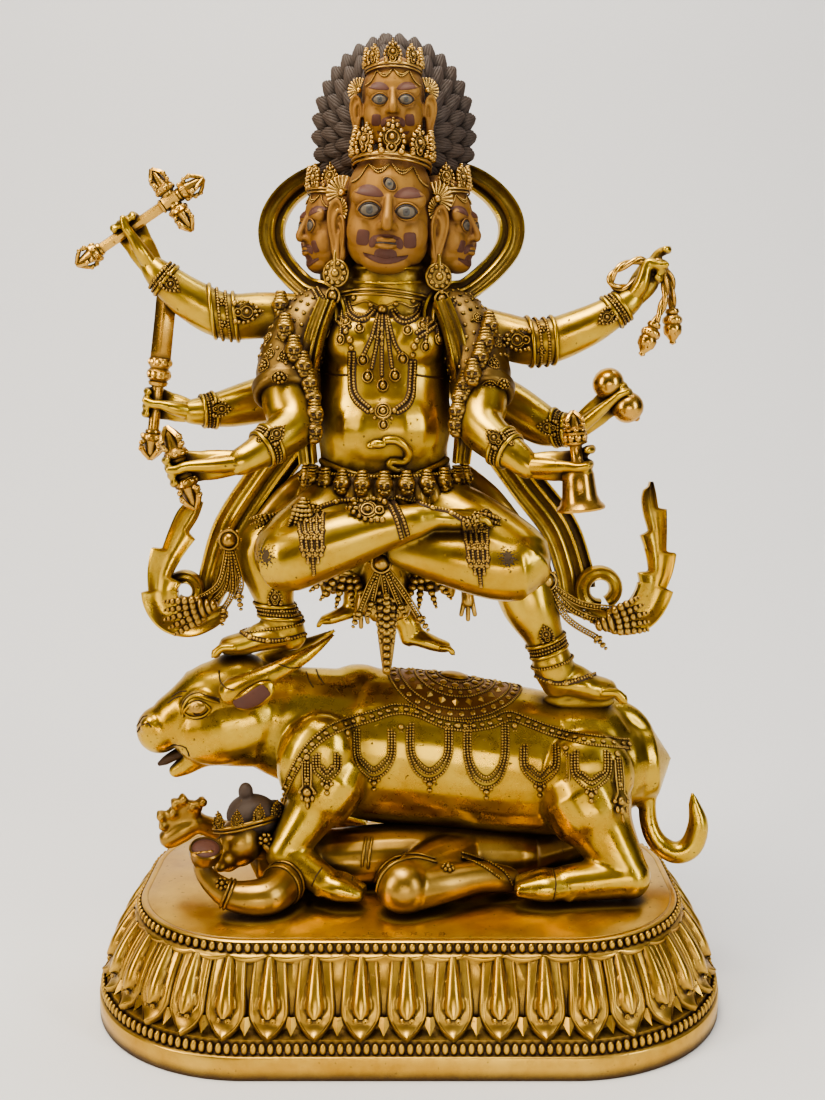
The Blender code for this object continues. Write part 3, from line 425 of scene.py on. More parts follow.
def petal_sheet():
    """One hanging petal over the wall, x across, -y outwards from the foot's edge: a swollen lobe that
    ends in two curls, a flat field, and a raised border that runs down to an upturned point."""
    spine = smooth_path([(23.5, 60.6), (20.0, 56.0), (16.0, 50.0), (11.8, 42.0), (9.0, 34.5), (7.4, 29.0),
                         (4.6, 25.6), (1.6, 24.0)], 1.0)
    length, across = 34, 30
    bm = bmesh.new()
    grid = []
    for i in range(length + 1):
        t = i / length
        inset, height = along(spine, t)
        ahead = Vector(along(spine, min(1, t + 0.02))) - Vector(along(spine, max(0, t - 0.02)))
        outwards = Vector((-ahead.y, ahead.x)).normalized()
        if outwards.x > 0:
            outwards = -outwards
        point = max(0.0, (t - 0.66) / 0.34)
        half = (10.2 + 1.9 * min(1, t / 0.6)) * (1 - point ** 2.1) + 0.05
        lobe_half = (2.3 + 2.9 * min(1, t / 0.62)) * sqrt(max(0.0, 1 - max(0.0, (t - 0.55) / 0.21) ** 2))
        row = []
        for j in range(across + 1):
            a = 2 * j / across - 1
            x = a * half
            edge = abs(a)
            rise = 1.0 - 3.2 * max(0.0, edge - 0.86) / 0.14
            rise -= 0.9 * max(0.0, 1 - abs(edge - 0.72) / 0.06)
            if edge < 0.70:
                rise = 0.35
            if lobe_half > 0.3:
                share = abs(x) / lobe_half
                if share < 1:
                    rise = 0.2 + (2.2 + 1.6 * min(1, t / 0.5)) * sqrt(1 - share * share)
                elif share < 1.35:
                    rise -= 0.7
            rise -= 1.6 * a * a * (1 - 0.4 * point)
            spot = Vector((inset, height)) + outwards * rise
            row.append(bm.verts.new((x, spot.x, spot.y)))
        grid.append(row)
    for row, following in zip(grid, grid[1:]):
        for a, b, c, d in zip(row, row[1:], following[1:], following):
            bm.faces.new((d, c, b, a))
    for side in (-1, 1):
        curl = [(side * (2.6 + 1.35 * cos(k * 0.9) * (1 - k / 16)), 6.0 - 0.06 * k,
                 31.9 + 1.35 * sin(k * 0.9) * (1 - k / 16)) for k in range(12)]
        tube(bm, [(*p, 0.55) for p in curl], sides=5, step=9)
    return bm


def tube(bm, points, sides=8, across=(0, 1, 0), ratio=1.0, step=3.0, hood=True):
    """A closed tapering round form through (x, y, z, radius) points; ratio flattens it along one
    direction."""
    path = smooth_path(points, step)
    places = [Vector(p[:3]) for p in path]
    rings = []
    for i, point in enumerate(path):
        ahead = (places[min(i + 1, len(path) - 1)] - places[max(i - 1, 0)]).normalized()
        thin = Vector(across) - ahead * ahead.dot(Vector(across))
        if thin.length < 0.2:
            thin = ahead.orthogonal()
        thin.normalize()
        wide = ahead.cross(thin)
        radius = max(point[3], 0.05)
        rings.append([bm.verts.new(places[i] + radius * (cos(a) * wide + ratio * sin(a) * thin))
                      for a in (tau * k / sides for k in range(sides))])
    for ring, following in zip(rings, rings[1:]):
        for k in range(sides):
            n = (k + 1) % sides
            bm.faces.new((ring[k], ring[n], following[n], following[k]))
    for ring, end, neighbour, out in ((rings[0], 0, 1, -1), (rings[-1], -1, -2, 1)):
        ahead = (places[end] - places[neighbour]).normalized()
        reach = ahead * max(path[end][3], 0.05) * (min(1, ratio * 1.2) if hood else 0.05)
        shoulder = [bm.verts.new(places[end] + reach * 0.6 + (vert.co - places[end]) * 0.8)
                    for vert in ring]
        pole = bm.verts.new(places[end] + reach)
        for k in range(sides):
            n = (k + 1) % sides
            for face in ((ring[k], ring[n], shoulder[n], shoulder[k]), (shoulder[k], shoulder[n], pole)):
                bm.faces.new(face if out > 0 else tuple(reversed(face)))


def small_tip():
    """The pointed leaf that looks out between two petals."""
    bm = bmesh.new()
    low = bm.verts.new((0, 3.6, 24.4))
    ridge = bm.verts.new((0, 5.6, 28.6))
    for side in (-1, 1):
        shoulder = bm.verts.new((side * 3.0, 8.0, 28.6))
        root = bm.verts.new((side * 2.2, 9.5, 33.0))
        back = bm.verts.new((side * 0.8, 9.5, 25.6))
        top = bm.verts.new((0, 8.2, 33.0)) if side < 0 else top
        faces = [(low, ridge, shoulder), (ridge, top, root, shoulder), (low, shoulder, back)]
        for face in faces:
            bm.faces.new(face if side < 0 else tuple(reversed(face)))
    return bm


def ring_of(name, pattern, spots, material, scale=None):
    """Copies of one pattern round the pedestal: Geometry Nodes set it on points that store their own
    turn."""
    tree = bpy.data.node_groups.new("Set round the pedestal", "GeometryNodeTree")
    tree.interface.new_socket("Points", in_out="INPUT", socket_type="NodeSocketGeometry")
    sockets = {
        label: tree.interface.new_socket(label, in_out="INPUT", socket_type=kind).identifier
        for label, kind in (("Pattern", "NodeSocketObject"), ("Finish", "NodeSocketMaterial"),
                            ("Size", "NodeSocketVector"))
    }
    tree.interface.new_socket("Ring", in_out="OUTPUT", socket_type="NodeSocketGeometry")
    nodes, links = tree.nodes, tree.links
    given, made = nodes.new("NodeGroupInput"), nodes.new("NodeGroupOutput")
    shape = nodes.new("GeometryNodeObjectInfo")
    turn = nodes.new("GeometryNodeInputNamedAttribute")
    turn.data_type = "FLOAT"
    turn.inputs["Name"].default_value = "turn"
    upright = nodes.new("ShaderNodeCombineXYZ")
    place = nodes.new("GeometryNodeInstanceOnPoints")
    real = nodes.new("GeometryNodeRealizeInstances")
    paint = nodes.new("GeometryNodeSetMaterial")
    links.new(given.outputs["Pattern"], shape.inputs["Object"])
    links.new(turn.outputs["Attribute"], upright.inputs["Z"])
    links.new(given.outputs["Points"], place.inputs["Points"])
    links.new(shape.outputs["Geometry"], place.inputs["Instance"])
    links.new(upright.outputs[0], place.inputs["Rotation"])
    links.new(given.outputs["Size"], place.inputs["Scale"])
    links.new(place.outputs["Instances"], real.inputs["Geometry"])
    links.new(real.outputs["Geometry"], paint.inputs["Geometry"])
    links.new(given.outputs["Finish"], paint.inputs["Material"])
    links.new(paint.outputs["Geometry"], made.inputs["Ring"])
    mesh = bpy.data.meshes.new(name)
    mesh.from_pydata([Vector(spot) * MM for spot, _ in spots], [], [])
    mesh.attributes.new("turn", "FLOAT", "POINT").data.foreach_set("value", [angle for _, angle in spots])
    ring = bpy.data.objects.new(name, mesh)
    bpy.context.scene.collection.objects.link(ring)
    modifier = ring.modifiers.new("Set round", "NODES")
    modifier.node_group = tree
    modifier[sockets["Pattern"]] = pattern
    modifier[sockets["Finish"]] = material
    modifier[sockets["Size"]] = scale or (1.0, 1.0, 1.0)
    made_plain(ring)
    bpy.data.objects.remove(pattern)
    return ring


def spots_round(count, inset, height, shift=0.0, gap_at_origin=0.0):
    """Evenly spaced places on the oval with the turn that faces each one outwards."""
    spots = []
    for k in range(count):
        place, outwards = oval(inset, (k + shift) / count)
        back = -outwards * gap_at_origin
        spots.append(((place.x + back.x, place.y + back.y, height),
                      atan2(outwards.y, outwards.x) + pi / 2))
    return spots


def pearl(radius, sides=8, rings=6):
    bm = bmesh.new()
    bmesh.ops.create_uvsphere(bm, u_segments=sides, v_segments=rings, radius=radius)
    return bm


def chisel_marks(material):
    """Shallow strokes in the plate's front edge, in short rows that spell nothing."""
    bm = bmesh.new()
    middle = 0.5 * (-24 + 21)
    slants = (0.3, 1.2, -0.5, 0.9, 1.5, -1.1, 0.1, 0.7)
    for group in range(6):
        for stroke in range(4):
            slant = slants[(group * 3 + stroke * 2) % len(slants)]
            x = middle + (group - 2.5) * 8.2 + (stroke % 2 - 0.5) * 2.2
            y = -85.2 + (stroke // 2 - 0.5) * 2.0
            reach = Vector((cos(slant), sin(slant), 0)) * 1.2
            start, end = Vector((x, y, PLATE)) - reach, Vector((x, y, PLATE)) + reach
            tube(bm, [(*start, 0.22), (*end, 0.22)], sides=5, across=(0, 0, 1), ratio=0.25, step=9)
    for stroke in range(3):
        x = -109 + stroke * 2.2
        tube(bm, [(x, -80.5, PLATE, 0.22), (x + 0.8, -78.5, PLATE, 0.22)], sides=5, across=(0, 0, 1),
             ratio=0.25,
             step=9)
    return object_from("chisel_marks", bm, material)


base_gilt = gilding("Pedestal gilding", metal=(0.72, 0.46, 0.10), deep=(0.50, 0.27, 0.045), polish=0.22,
                    amount=1.15, reach=7.5)
dressed(pedestal_core(base_gilt), "pedestal_gilt", "lotus_base")
petal_pattern = object_from("petal_pattern", petal_sheet(), base_gilt, sharp=55)
dressed(ring_of("lotus_petals", petal_pattern, spots_round(PETALS, 0, 0, 0.5), base_gilt),
        "pedestal_gilt")
tip_pattern = object_from("tip_pattern", small_tip(), base_gilt, sharp=30)
dressed(ring_of("petal_tips_between", tip_pattern, spots_round(PETALS, 0, 0, 0.0), base_gilt),
        "pedestal_gilt")
for label, count, inset, height, size in (("lower_pearls", LOWER_PEARLS, 2.6, 17.4, (2.05, 1.9, 3.3)),
                                          ("upper_pearls", UPPER_PEARLS, 25.4, 65.6, (2.0, 1.9, 2.7))):
    pearls = ring_of(label, object_from("pearl_pattern", pearl(1.0), base_gilt),
                     spots_round(count, inset, height),
                     base_gilt, size)
    dressed(pearls, "pedestal_gilt")
# The marks are a darker metal: patina and painted shade in the cut strokes.
mark_finish = gilding("Chiselled marks", metal=(0.30, 0.15, 0.04), deep=(0.12, 0.06, 0.02), polish=0.45)
dressed(chisel_marks(mark_finish), "pedestal_gilt")


# The prone figure pressed under the buffalo: a darker casting, its head turned to the front over a skull
# cup, with a crown of flame leaves, a cuffed forearm, and one bent knee that shows below the belly.

class Wax:
    """Overlapping closed forms in millimetres, fused and softened into one casting as in a wax model."""

    def __init__(self):
        self.bm = bmesh.new()

    def limb(self, points, sides=14, across=(0, 1, 0), ratio=1.0, step=3.0):
        tube(self.bm, points, sides, across, ratio, step)

    def ball(self, centre, radii, tilt=0.0, yaw=0.0, rings=12):
        """An ellipsoid, tilted about Y and then turned about Z, in degrees."""
        radii = radii if isinstance(radii, tuple) else (radii,) * 3
        turn = Matrix.Rotation(yaw * pi / 180, 4, "Z") @ Matrix.Rotation(tilt * pi / 180, 4, "Y")
        matrix = Matrix.Translation(centre) @ turn @ Matrix.Diagonal((*radii, 1))
        bmesh.ops.create_uvsphere(self.bm, u_segments=rings + 6, v_segments=rings, radius=1,
                                  matrix=matrix)

    def cast(self, name, material, cell, soften=3, floor=None):
        """Fuses the forms at a cell size; a floor flattens what would reach below it."""
        if floor is not None:
            for vert in self.bm.verts:
                vert.co.z = max(vert.co.z, floor)
        bmesh.ops.recalc_face_normals(self.bm, faces=self.bm.faces)
        obj = object_from(name, self.bm, material)
        fuse = obj.modifiers.new("Fuse", "REMESH")
        fuse.mode = "VOXEL"
        fuse.voxel_size = cell * MM
        soft = obj.modifiers.new("Soften", "SMOOTH")
        soft.factor = 0.5
        soft.iterations = soften
        return made_plain(obj)


class Skin:
    """The surface of finished castings, for setting work on it."""

    def __init__(self, *castings):
        corners, faces = [], []
        for casting in castings:
            first = len(corners)
            corners += [vert.co / MM for vert in casting.data.vertices]
            faces += [[first + v for v in polygon.vertices] for polygon in casting.data.polygons]
        self.tree = BVHTree.FromPolygons(corners, faces)

    def along(self, start, way, lift=0.0):
        """Where a line from a place first meets the surface, lifted off it, and the normal there."""
        place, normal, _, _ = self.tree.ray_cast(Vector(start), Vector(way).normalized())
        if place is None:
            return None
        return place + normal * lift, normal

    def seen(self, across, down, lift=0.0):
        """The same for the sight line through a pixel of the photograph."""
        start, way = sight_line(across, down)
        return self.along(start, way, lift)

    def inwards(self, centre, way, reach=90.0, lift=0.0):
        """Where a line that comes in towards a centre from one side meets the surface."""
        way = Vector(way).normalized()
        return self.along(Vector(centre) + way * reach, -way, lift)

    def line_seen(self, points, lift=0.0, step=5.0):
        """A smooth line through pixels of the photograph, laid on the surface."""
        hits = [self.seen(*point[:2], lift) for point in smooth_path(points, step)]
        return [hit[0] for hit in hits if hit]

    def nearest(self, place, lift=0.0):
        spot, normal, _, _ = self.tree.find_nearest(Vector(place))
        return spot + normal * lift, normal


PHOTO_MIDDLE = (409.0, 550.0)
PIXELS_PER_UNIT_SLOPE = 1300.0


def sight_line(across, down):
    """The line from the camera through a pixel of the photograph, in millimetres."""
    pitch = camera.rotation_euler.x - pi / 2
    ahead = Vector((0, cos(pitch), sin(pitch)))
    up = Vector((0, -sin(pitch), cos(pitch)))
    way = (ahead + Vector((1, 0, 0)) * ((across - PHOTO_MIDDLE[0]) / PIXELS_PER_UNIT_SLOPE)
           + up * ((PHOTO_MIDDLE[1] - down) / PIXELS_PER_UNIT_SLOPE))
    return Vector((0, camera.location.y, camera.location.z)) / MM, way


def pearls_tree():
    """Geometry Nodes that set pearls at even steps along the lines of a mesh."""
    tree = bpy.data.node_groups.new("String of pearls", "GeometryNodeTree")
    tree.interface.new_socket("Lines", in_out="INPUT", socket_type="NodeSocketGeometry")
    sockets = {label: tree.interface.new_socket(label, in_out="INPUT", socket_type=kind).identifier
               for label, kind in (("Pearl radius", "NodeSocketFloat"), ("Step", "NodeSocketFloat"),
                                   ("Finish", "NodeSocketMaterial"))}
    tree.interface.new_socket("Pearls", in_out="OUTPUT", socket_type="NodeSocketGeometry")
    nodes, links = tree.nodes, tree.links
    given, made = nodes.new("NodeGroupInput"), nodes.new("NodeGroupOutput")
    curve = nodes.new("GeometryNodeMeshToCurve")
    even = nodes.new("GeometryNodeCurveToPoints")
    even.mode = "LENGTH"
    ball = nodes.new("GeometryNodeMeshUVSphere")
    ball.inputs["Segments"].default_value = 7
    ball.inputs["Rings"].default_value = 5
    place = nodes.new("GeometryNodeInstanceOnPoints")
    real = nodes.new("GeometryNodeRealizeInstances")
    smooth = nodes.new("GeometryNodeSetShadeSmooth")
    paint = nodes.new("GeometryNodeSetMaterial")
    links.new(given.outputs["Lines"], curve.inputs["Mesh"])
    links.new(curve.outputs["Curve"], even.inputs["Curve"])
    links.new(given.outputs["Step"], even.inputs["Length"])
    links.new(given.outputs["Pearl radius"], ball.inputs["Radius"])
    links.new(even.outputs["Points"], place.inputs["Points"])
    links.new(ball.outputs["Mesh"], place.inputs["Instance"])
    links.new(place.outputs["Instances"], real.inputs["Geometry"])
    links.new(real.outputs["Geometry"], smooth.inputs["Geometry"])
    links.new(smooth.outputs["Geometry"], paint.inputs["Geometry"])
    links.new(given.outputs["Finish"], paint.inputs["Material"])
    links.new(paint.outputs["Geometry"], made.inputs["Pearls"])
    return tree, sockets


PEARLS_TREE, PEARLS_SOCKETS = pearls_tree()


def strung(name, lines, radius, material, slot, step=None):
    """Pearls of one size along lines of points."""
    corners, edges = [], []
    for line in lines:
        if len(line) < 2:
            continue
        first = len(corners)
        corners += [Vector(point) * MM for point in line]
        edges += [(k, k + 1) for k in range(first, len(corners) - 1)]
    mesh = bpy.data.meshes.new(name)
    mesh.from_pydata(corners, edges, [])
    obj = bpy.data.objects.new(name, mesh)
    bpy.context.scene.collection.objects.link(obj)
    modifier = obj.modifiers.new("Pearls", "NODES")
    modifier.node_group = PEARLS_TREE
    modifier[PEARLS_SOCKETS["Pearl radius"]] = radius * MM
    modifier[PEARLS_SOCKETS["Step"]] = (step or radius * 1.9) * MM
    modifier[PEARLS_SOCKETS["Finish"]] = material
    return dressed(made_plain(obj), slot)


def frame_at(place, normal, up=(0, 0, 1)):
    """A matrix whose Z stands out along a normal and whose Y leans to an upward direction."""
    out = Vector(normal).normalized()
    lean = Vector(up) - out * out.dot(Vector(up))
    if lean.length < 0.05:
        lean = out.orthogonal()
    lean.normalize()
    side = lean.cross(out)
    matrix = Matrix((side, lean, out)).transposed().to_4x4()
    matrix.translation = place
    return matrix


def dome(bm, matrix, radii, spot=(0, 0, 0), sides=10, rings=6):
    """A rounded boss in a frame; radii along it, up it and out of it."""
    bmesh.ops.create_uvsphere(bm, u_segments=sides, v_segments=rings, radius=1,
                              matrix=matrix @ Matrix.Translation(spot) @ Matrix.Diagonal((*radii, 1)))


def rosette(bm, place, normal, radius, petals=7, up=(0, 0, 1)):
    """A flower: a button in a ring of round petals."""
    matrix = frame_at(place, normal, up)
    dome(bm, matrix, (radius * 0.42, radius * 0.42, radius * 0.55), sides=10)
    for k in range(petals):
        a = tau * k / petals
        spot = (radius * 0.70 * cos(a), radius * 0.70 * sin(a), 0)
        dome(bm, matrix, (radius * 0.30, radius * 0.30, radius * 0.34), spot, sides=7, rings=5)


def flame_leaf(bm, place, normal, length, width, up=(0, 0, 1)):
    """A crown or cuff leaf: a stack of bosses in a beaded, pointed border, on two scrolls."""
    matrix = frame_at(place, normal, up)
    thick = width * 0.20
    way = matrix.to_3x3() @ Vector((0, 0, 1))
    dome(bm, matrix, (width * 0.40, length * 0.48, thick), (0, length * 0.46, -thick * 0.6), sides=12)
    for along, size in ((0.16, 0.17), (0.46, 0.27)):
        medallion = matrix @ Vector((0, length * along, thick * 0.35))
        hoop(bm, medallion, way, width * size, width * 0.055, turns=16)
        dome(bm, matrix, (width * size * 0.55, width * size * 0.55, thick * 1.1),
             (0, length * along, thick * 0.3), sides=9)
    hoop(bm, matrix @ Vector((0, length * 0.46, thick * 0.2)), way, width * 0.38, width * 0.05, turns=20)
    for along, size in ((0.76, 0.13), (0.90, 0.10), (1.0, 0.06)):
        dome(bm, matrix, (width * size, width * size * 1.2, thick * 0.9),
             (0, length * along, thick * 0.1), sides=8)
    for side in (-1, 1):
        for k in range(5):
            t = (k + 0.5) / 5
            reach = width * 0.48 * sin(pi * (0.30 + 0.66 * t)) + width * 0.03
            spot = (side * reach, length * (0.10 + 0.78 * t), thick * 0.35)
            dome(bm, matrix, (width * 0.105, width * 0.12, thick * 0.8), spot, sides=6, rings=5)
        dome(bm, matrix, (width * 0.16, width * 0.16, thick), (side * width * 0.42, length * 0.06, 0),
             sides=7)


def hoop(bm, centre, axis, radius, thickness, sides=6, turns=28, flat=1.0, lean=None):
    """A closed round cord about an axis; lean makes it an oval, as radii across and along."""
    axis = Vector(axis).normalized()
    first = axis.orthogonal().normalized()
    second = axis.cross(first)
    across, along_it = lean or (1.0, 1.0)
    rings = []
    for i in range(turns):
        a = tau * i / turns
        out = first * cos(a) * across + second * sin(a) * along_it
        place = Vector(centre) + out * radius
        out = out.normalized()
        rings.append([bm.verts.new(place + thickness * (out * cos(b) + axis * sin(b) * flat))
                      for b in (tau * j / sides for j in range(sides))])
    for i in range(turns):
        ring, following = rings[i], rings[(i + 1) % turns]
        for j in range(sides):
            n = (j + 1) % sides
            bm.faces.new((ring[j], ring[n], following[n], following[j]))


def girdle(skin, centre, axis, lift=0.0, reach=60.0, turns=36, arc=(0.0, 1.0), start=None):
    """Points of a line drawn round a limb where a plane across its axis meets the skin."""
    axis = Vector(axis).normalized()
    first = Vector(start) if start else axis.orthogonal()
    first = (first - axis * axis.dot(first)).normalized()
    second = axis.cross(first)
    points = []
    for i in range(turns + 1):
        a = tau * (arc[0] + (arc[1] - arc[0]) * i / turns)
        way = first * cos(a) + second * sin(a)
        place, normal, _, _ = skin.tree.ray_cast(Vector(centre), way, reach)
        if place is not None:
            points.append(place + way * lift)
    return points


def cords(name, lines, radius, material, slot, sides=6, step=3.0):
    """Round wires or drawn lines of one thickness, each along its own points."""
    bm = bmesh.new()
    for line in lines:
        if len(line) > 1:
            tube(bm, [(*point, radius) for point in line], sides=sides, step=step)
    return dressed(object_from(name, bm, material), slot)


GROUND = PLATE + 0.4
prone_gilt = gilding("Prone figure gilding", metal=(0.50, 0.31, 0.075), deep=(0.25, 0.13, 0.03),
                     amount=1.0,
                     polish=0.26, reach=9.0)
painted_hair = finish_of("Brown hair paint", WORN_METAL_AND_SHADE, {
    "Metal": (0.072, 0.043, 0.029), "Deep metal": (0.042, 0.025, 0.018), "Patina and shade": (0.016, 0.009, 0.006),
    "Recess reach": 0.005, "Patina and shade amount": 1.1, "Polish": 0.50, "Pitting": 0.3}, 0.25, metallic=0.0)
red_paint = finish_of("Red-brown paint", WORN_METAL_AND_SHADE, {
    "Metal": (0.125, 0.042, 0.022), "Deep metal": (0.080, 0.026, 0.016), "Patina and shade": (0.08, 0.03, 0.02),
    "Recess reach": 0.002, "Patina and shade amount": 0.5, "Polish": 0.55, "Pitting": 0.6}, 0.15, metallic=0.0)
# A dark brown used as painted shade in grooves, creases, hollows, the open mouth and under pearl strings.
# The buffalo's tongue has it as its own colour.
dark_line = finish_of("Dark paint for shade and the tongue", WORN_METAL_AND_SHADE, {
    "Metal": (0.075, 0.034, 0.010), "Deep metal": (0.040, 0.018, 0.006), "Patina and shade": (0.02, 0.01, 0.004),
    "Recess reach": 0.002, "Patina and shade amount": 0.6, "Polish": 0.5, "Pitting": 0.2}, 0.1, metallic=0.3)


def prone_body():
    wax = Wax()
    wax.limb([(-84, -16, 86, 16), (-49, -12, 85, 18), (-6, -8, 86, 19), (34, -6, 84, 18),
              (70, -2, 83, 15)],
             sides=18, ratio=1.05)
    wax.ball((-102, -33, 104), (13.5, 14, 15.5), tilt=8)
    wax.ball((-109, -38, 96), (8.5, 9, 9))
    wax.ball((-116, -40, 104), (3.6, 3.2, 5.0), tilt=20)
    wax.ball((-114, -42, 97), (4.0, 4.0, 2.2))
    wax.ball((-113, -44, 92), (4.5, 4.0, 3.0))
    wax.limb([(-90, -24, 100, 10), (-78, -18, 92, 12)])
    wax.limb([(-66, -26, 90, 13), (-74, -46, 84, 12.5), (-84, -60, 80.5, 11.5), (-103, -62, 82, 9),
              (-116, -60, 90, 6.4), (-122, -58, 98, 5)])
    wax.limb([(-90, 4, 92, 12), (-108, 4, 92, 10), (-122, -2, 100, 7), (-133, -6, 106, 6)])
    wax.limb([(-132, -5, 106, 6.5), (-142, -6, 101, 8.0), (-150, -7, 96, 7.0)], sides=14)
    for k in range(7):
        lean = pi * (0.98 - 0.105 * k)
        reach = 17 + 3 * sin(2.2 * k)
        root = Vector((-137, -6, 106))
        tip = root + Vector((cos(lean), -0.25, sin(lean))) * reach
        wax.limb([(*root, 4.4), (*root.lerp(tip, 0.6), 3.6), (*tip, 2.4)], sides=10)
        wax.ball(tuple(tip + Vector((1.2, -2.2, -1.6))), 2.9)
    wax.limb([(34, -6, 86, 17), (14, -34, 88, 16), (-3, -57, 84.5, 15)], sides=16)
    wax.limb([(-2, -57, 83, 14), (20, -52, 85, 11.5), (42, -42, 85, 9.5), (60, -34, 80, 8)], sides=16)
    wax.limb([(70, 0, 82, 15), (104, 30, 78, 12), (130, 44, 76, 8)])
    wax.ball((-3, -57, 85.5), (16.5, 16, 16), rings=20)
    for k in range(4):
        wax.limb([(-121, -58, 99, 2.6), (-124 + k * 2.6, -63 + k * 0.8, 103, 2.4),
                  (-125 + k * 3.4, -66 + k, 109, 2.0)], sides=8)
    return wax.cast("prone_figure_body", prone_gilt, 1.25, floor=GROUND)


def prone_head_dress():
    """Hair, topknot, crown leaves and ear flower of the prone figure."""
    wax = Wax()
    wax.ball((-95, -25, 117), (16.5, 15, 13.5), tilt=10)
    wax.ball((-99, -27, 133), (4.6, 4.6, 6.0))
    wax.limb([(-84, -18, 116, 9), (-80, -14, 104, 8), (-76, -14, 94, 8)])
    dressed(wax.cast("prone_figure_hair", painted_hair, 1.0), "painted_hair")
    bm = bmesh.new()
    band = [(-117, -38, 114), (-108, -45, 116.5), (-97, -45, 119), (-86, -39, 120), (-79, -27, 118)]
    tube(bm, [(*point, 1.3) for point in band], sides=8)
    tube(bm, [(x, y, z - 2.6, 0.9) for x, y, z in band], sides=8)
    for x, y, z, lean in ((-113, -43, 116, -0.5), (-102, -46, 118, 0.0), (-90, -42, 120, 0.5),
                          (-81, -32, 119, 0.9)):
        flame_leaf(bm, (x, y, z), (lean, -1, 0.25), 10, 6.5, up=(lean * 0.3, 0.2, 1))
    rosette(bm, (-86, -41, 108), (0.5, -1, 0), 4.6)
    tube(bm, [(-86, -41, 104, 1.8), (-80, -38, 96, 2.4), (-72, -36, 90, 2.2)], sides=8)
    hoop(bm, (-99, -27, 128.5), (0, 0, 1), 3.8, 0.9)
    return dressed(object_from("prone_figure_crown", bm, prone_gilt), "dark_gilt")


def skull_cup():
    """The cup in its front hand, a bowl with a thick rim, filled with dried red paint."""
    bm = bmesh.new()
    centre = Vector((-119.5, -58, 103))
    profile = [(0.05, -3.5), (5.0, -2.8), (8.2, 0.2), (9.6, 4.2), (9.9, 8.2), (9.0, 9.0), (8.4, 7.6),
               (0.05, 7.4)]
    turned_about(bm, centre, (0.15, -0.35, 1), profile, 20)
    cup = dressed(object_from("skull_cup", bm, prone_gilt, sharp=50), "dark_gilt")
    bm = bmesh.new()
    turned_about(bm, centre, (0.15, -0.35, 1),
                 [(0.05, 7.0), (8.3, 7.2), (8.0, 8.0), (5.0, 8.7), (0.05, 9.0)], 20)
    dressed(object_from("skull_cup_filling", bm, red_paint), "painted_hair")
    return cup


def turned_about(bm, centre, axis, profile, sides=16):
    """A turned form: (radius, distance) pairs along an axis from a centre."""
    matrix = frame_at(centre, axis, (0, 1, 0))
    rings = [[bm.verts.new(matrix @ Vector((radius * cos(a), radius * sin(a), distance)))
              for a in (tau * k / sides for k in range(sides))] for radius, distance in profile]
    for ring, following in zip(rings, rings[1:]):
        for k in range(sides):
            n = (k + 1) % sides
            bm.faces.new((ring[k], ring[n], following[n], following[k]))
    bm.faces.new(list(reversed(rings[0])))
    bm.faces.new(rings[-1])


prone = dressed(prone_body(), "dark_gilt", "prone_figure")
prone_skin = Skin(prone)
prone_head_dress()
skull_cup()
# Places read from the photograph, in its own pixels: the hems on knee and thigh and the two flower studs.
KNEE_HEMS_SEEN = [[(376, 905), (380, 880), (394, 864), (416, 858), (436, 862)],
                  [(372, 900), (376, 876), (390, 860), (412, 854), (434, 858)]]
THIGH_HEMS_SEEN = [[(366, 838), (364, 850), (362, 866)], [(372, 838), (370, 850), (368, 868)]]
PRONE_FLOWERS_SEEN = ((448, 868), (222, 884))
PRONE_BELT_SEEN = [[(462, 853), (484, 860), (504, 872), (512, 884)], [(462, 858), (482, 866), (500, 878)]]
WRIST_WAY, ELBOW_WAY = (0.85, 0, -0.35), (0.4, 0.8, 0.1)
cords("prone_figure_cuffs", [
    girdle(prone_skin, (-107, -62, 84), WRIST_WAY, 0.5),
    girdle(prone_skin, (-105, -62, 83), WRIST_WAY, 0.5),
    girdle(prone_skin, (-76, -50, 84), ELBOW_WAY, 0.5),
    girdle(prone_skin, (-74, -46, 85), ELBOW_WAY, 0.5),
    *(prone_skin.line_seen(hem, 0.5) for hem in KNEE_HEMS_SEEN),
    *(prone_skin.line_seen(hem, 0.4) for hem in THIGH_HEMS_SEEN),
], 0.9, prone_gilt, "dark_gilt")
bm = bmesh.new()
for across, down in PRONE_FLOWERS_SEEN:
    hit = prone_skin.seen(across, down, 0.6)
    if hit:
        rosette(bm, *hit, 4.2)
dressed(object_from("prone_figure_flowers", bm, prone_gilt), "dark_gilt")
strung("prone_figure_belt", [prone_skin.line_seen(line, 0.6) for line in PRONE_BELT_SEEN], 0.9,
       prone_gilt,
       "dark_gilt")


# The buffalo: one smooth casting, lying with its legs folded, its head low and its mouth open. The saddle
# disc and the harness of pearl swags and hanging jewels are chased on it in relief.

buffalo_gilt = gilding("Buffalo gilding", metal=(0.66, 0.46, 0.075), deep=(0.48, 0.27, 0.03), amount=1.0,
                       polish=0.20, reach=12.0, pitting=1.0)
jewel_gilt = gilding("Chased jewellery", metal=(0.62, 0.41, 0.11), deep=(0.36, 0.20, 0.045), amount=1.35,
                     polish=0.26, reach=3.4, pitting=0.3, relief=0.05)
FAR = 14.0


def mirrored(x, y, z, side, middle=-6.0):
    """The same place on the near side (-1) or the far side (1) of a part's middle plane."""
    return x, middle + side * abs(y - middle), z


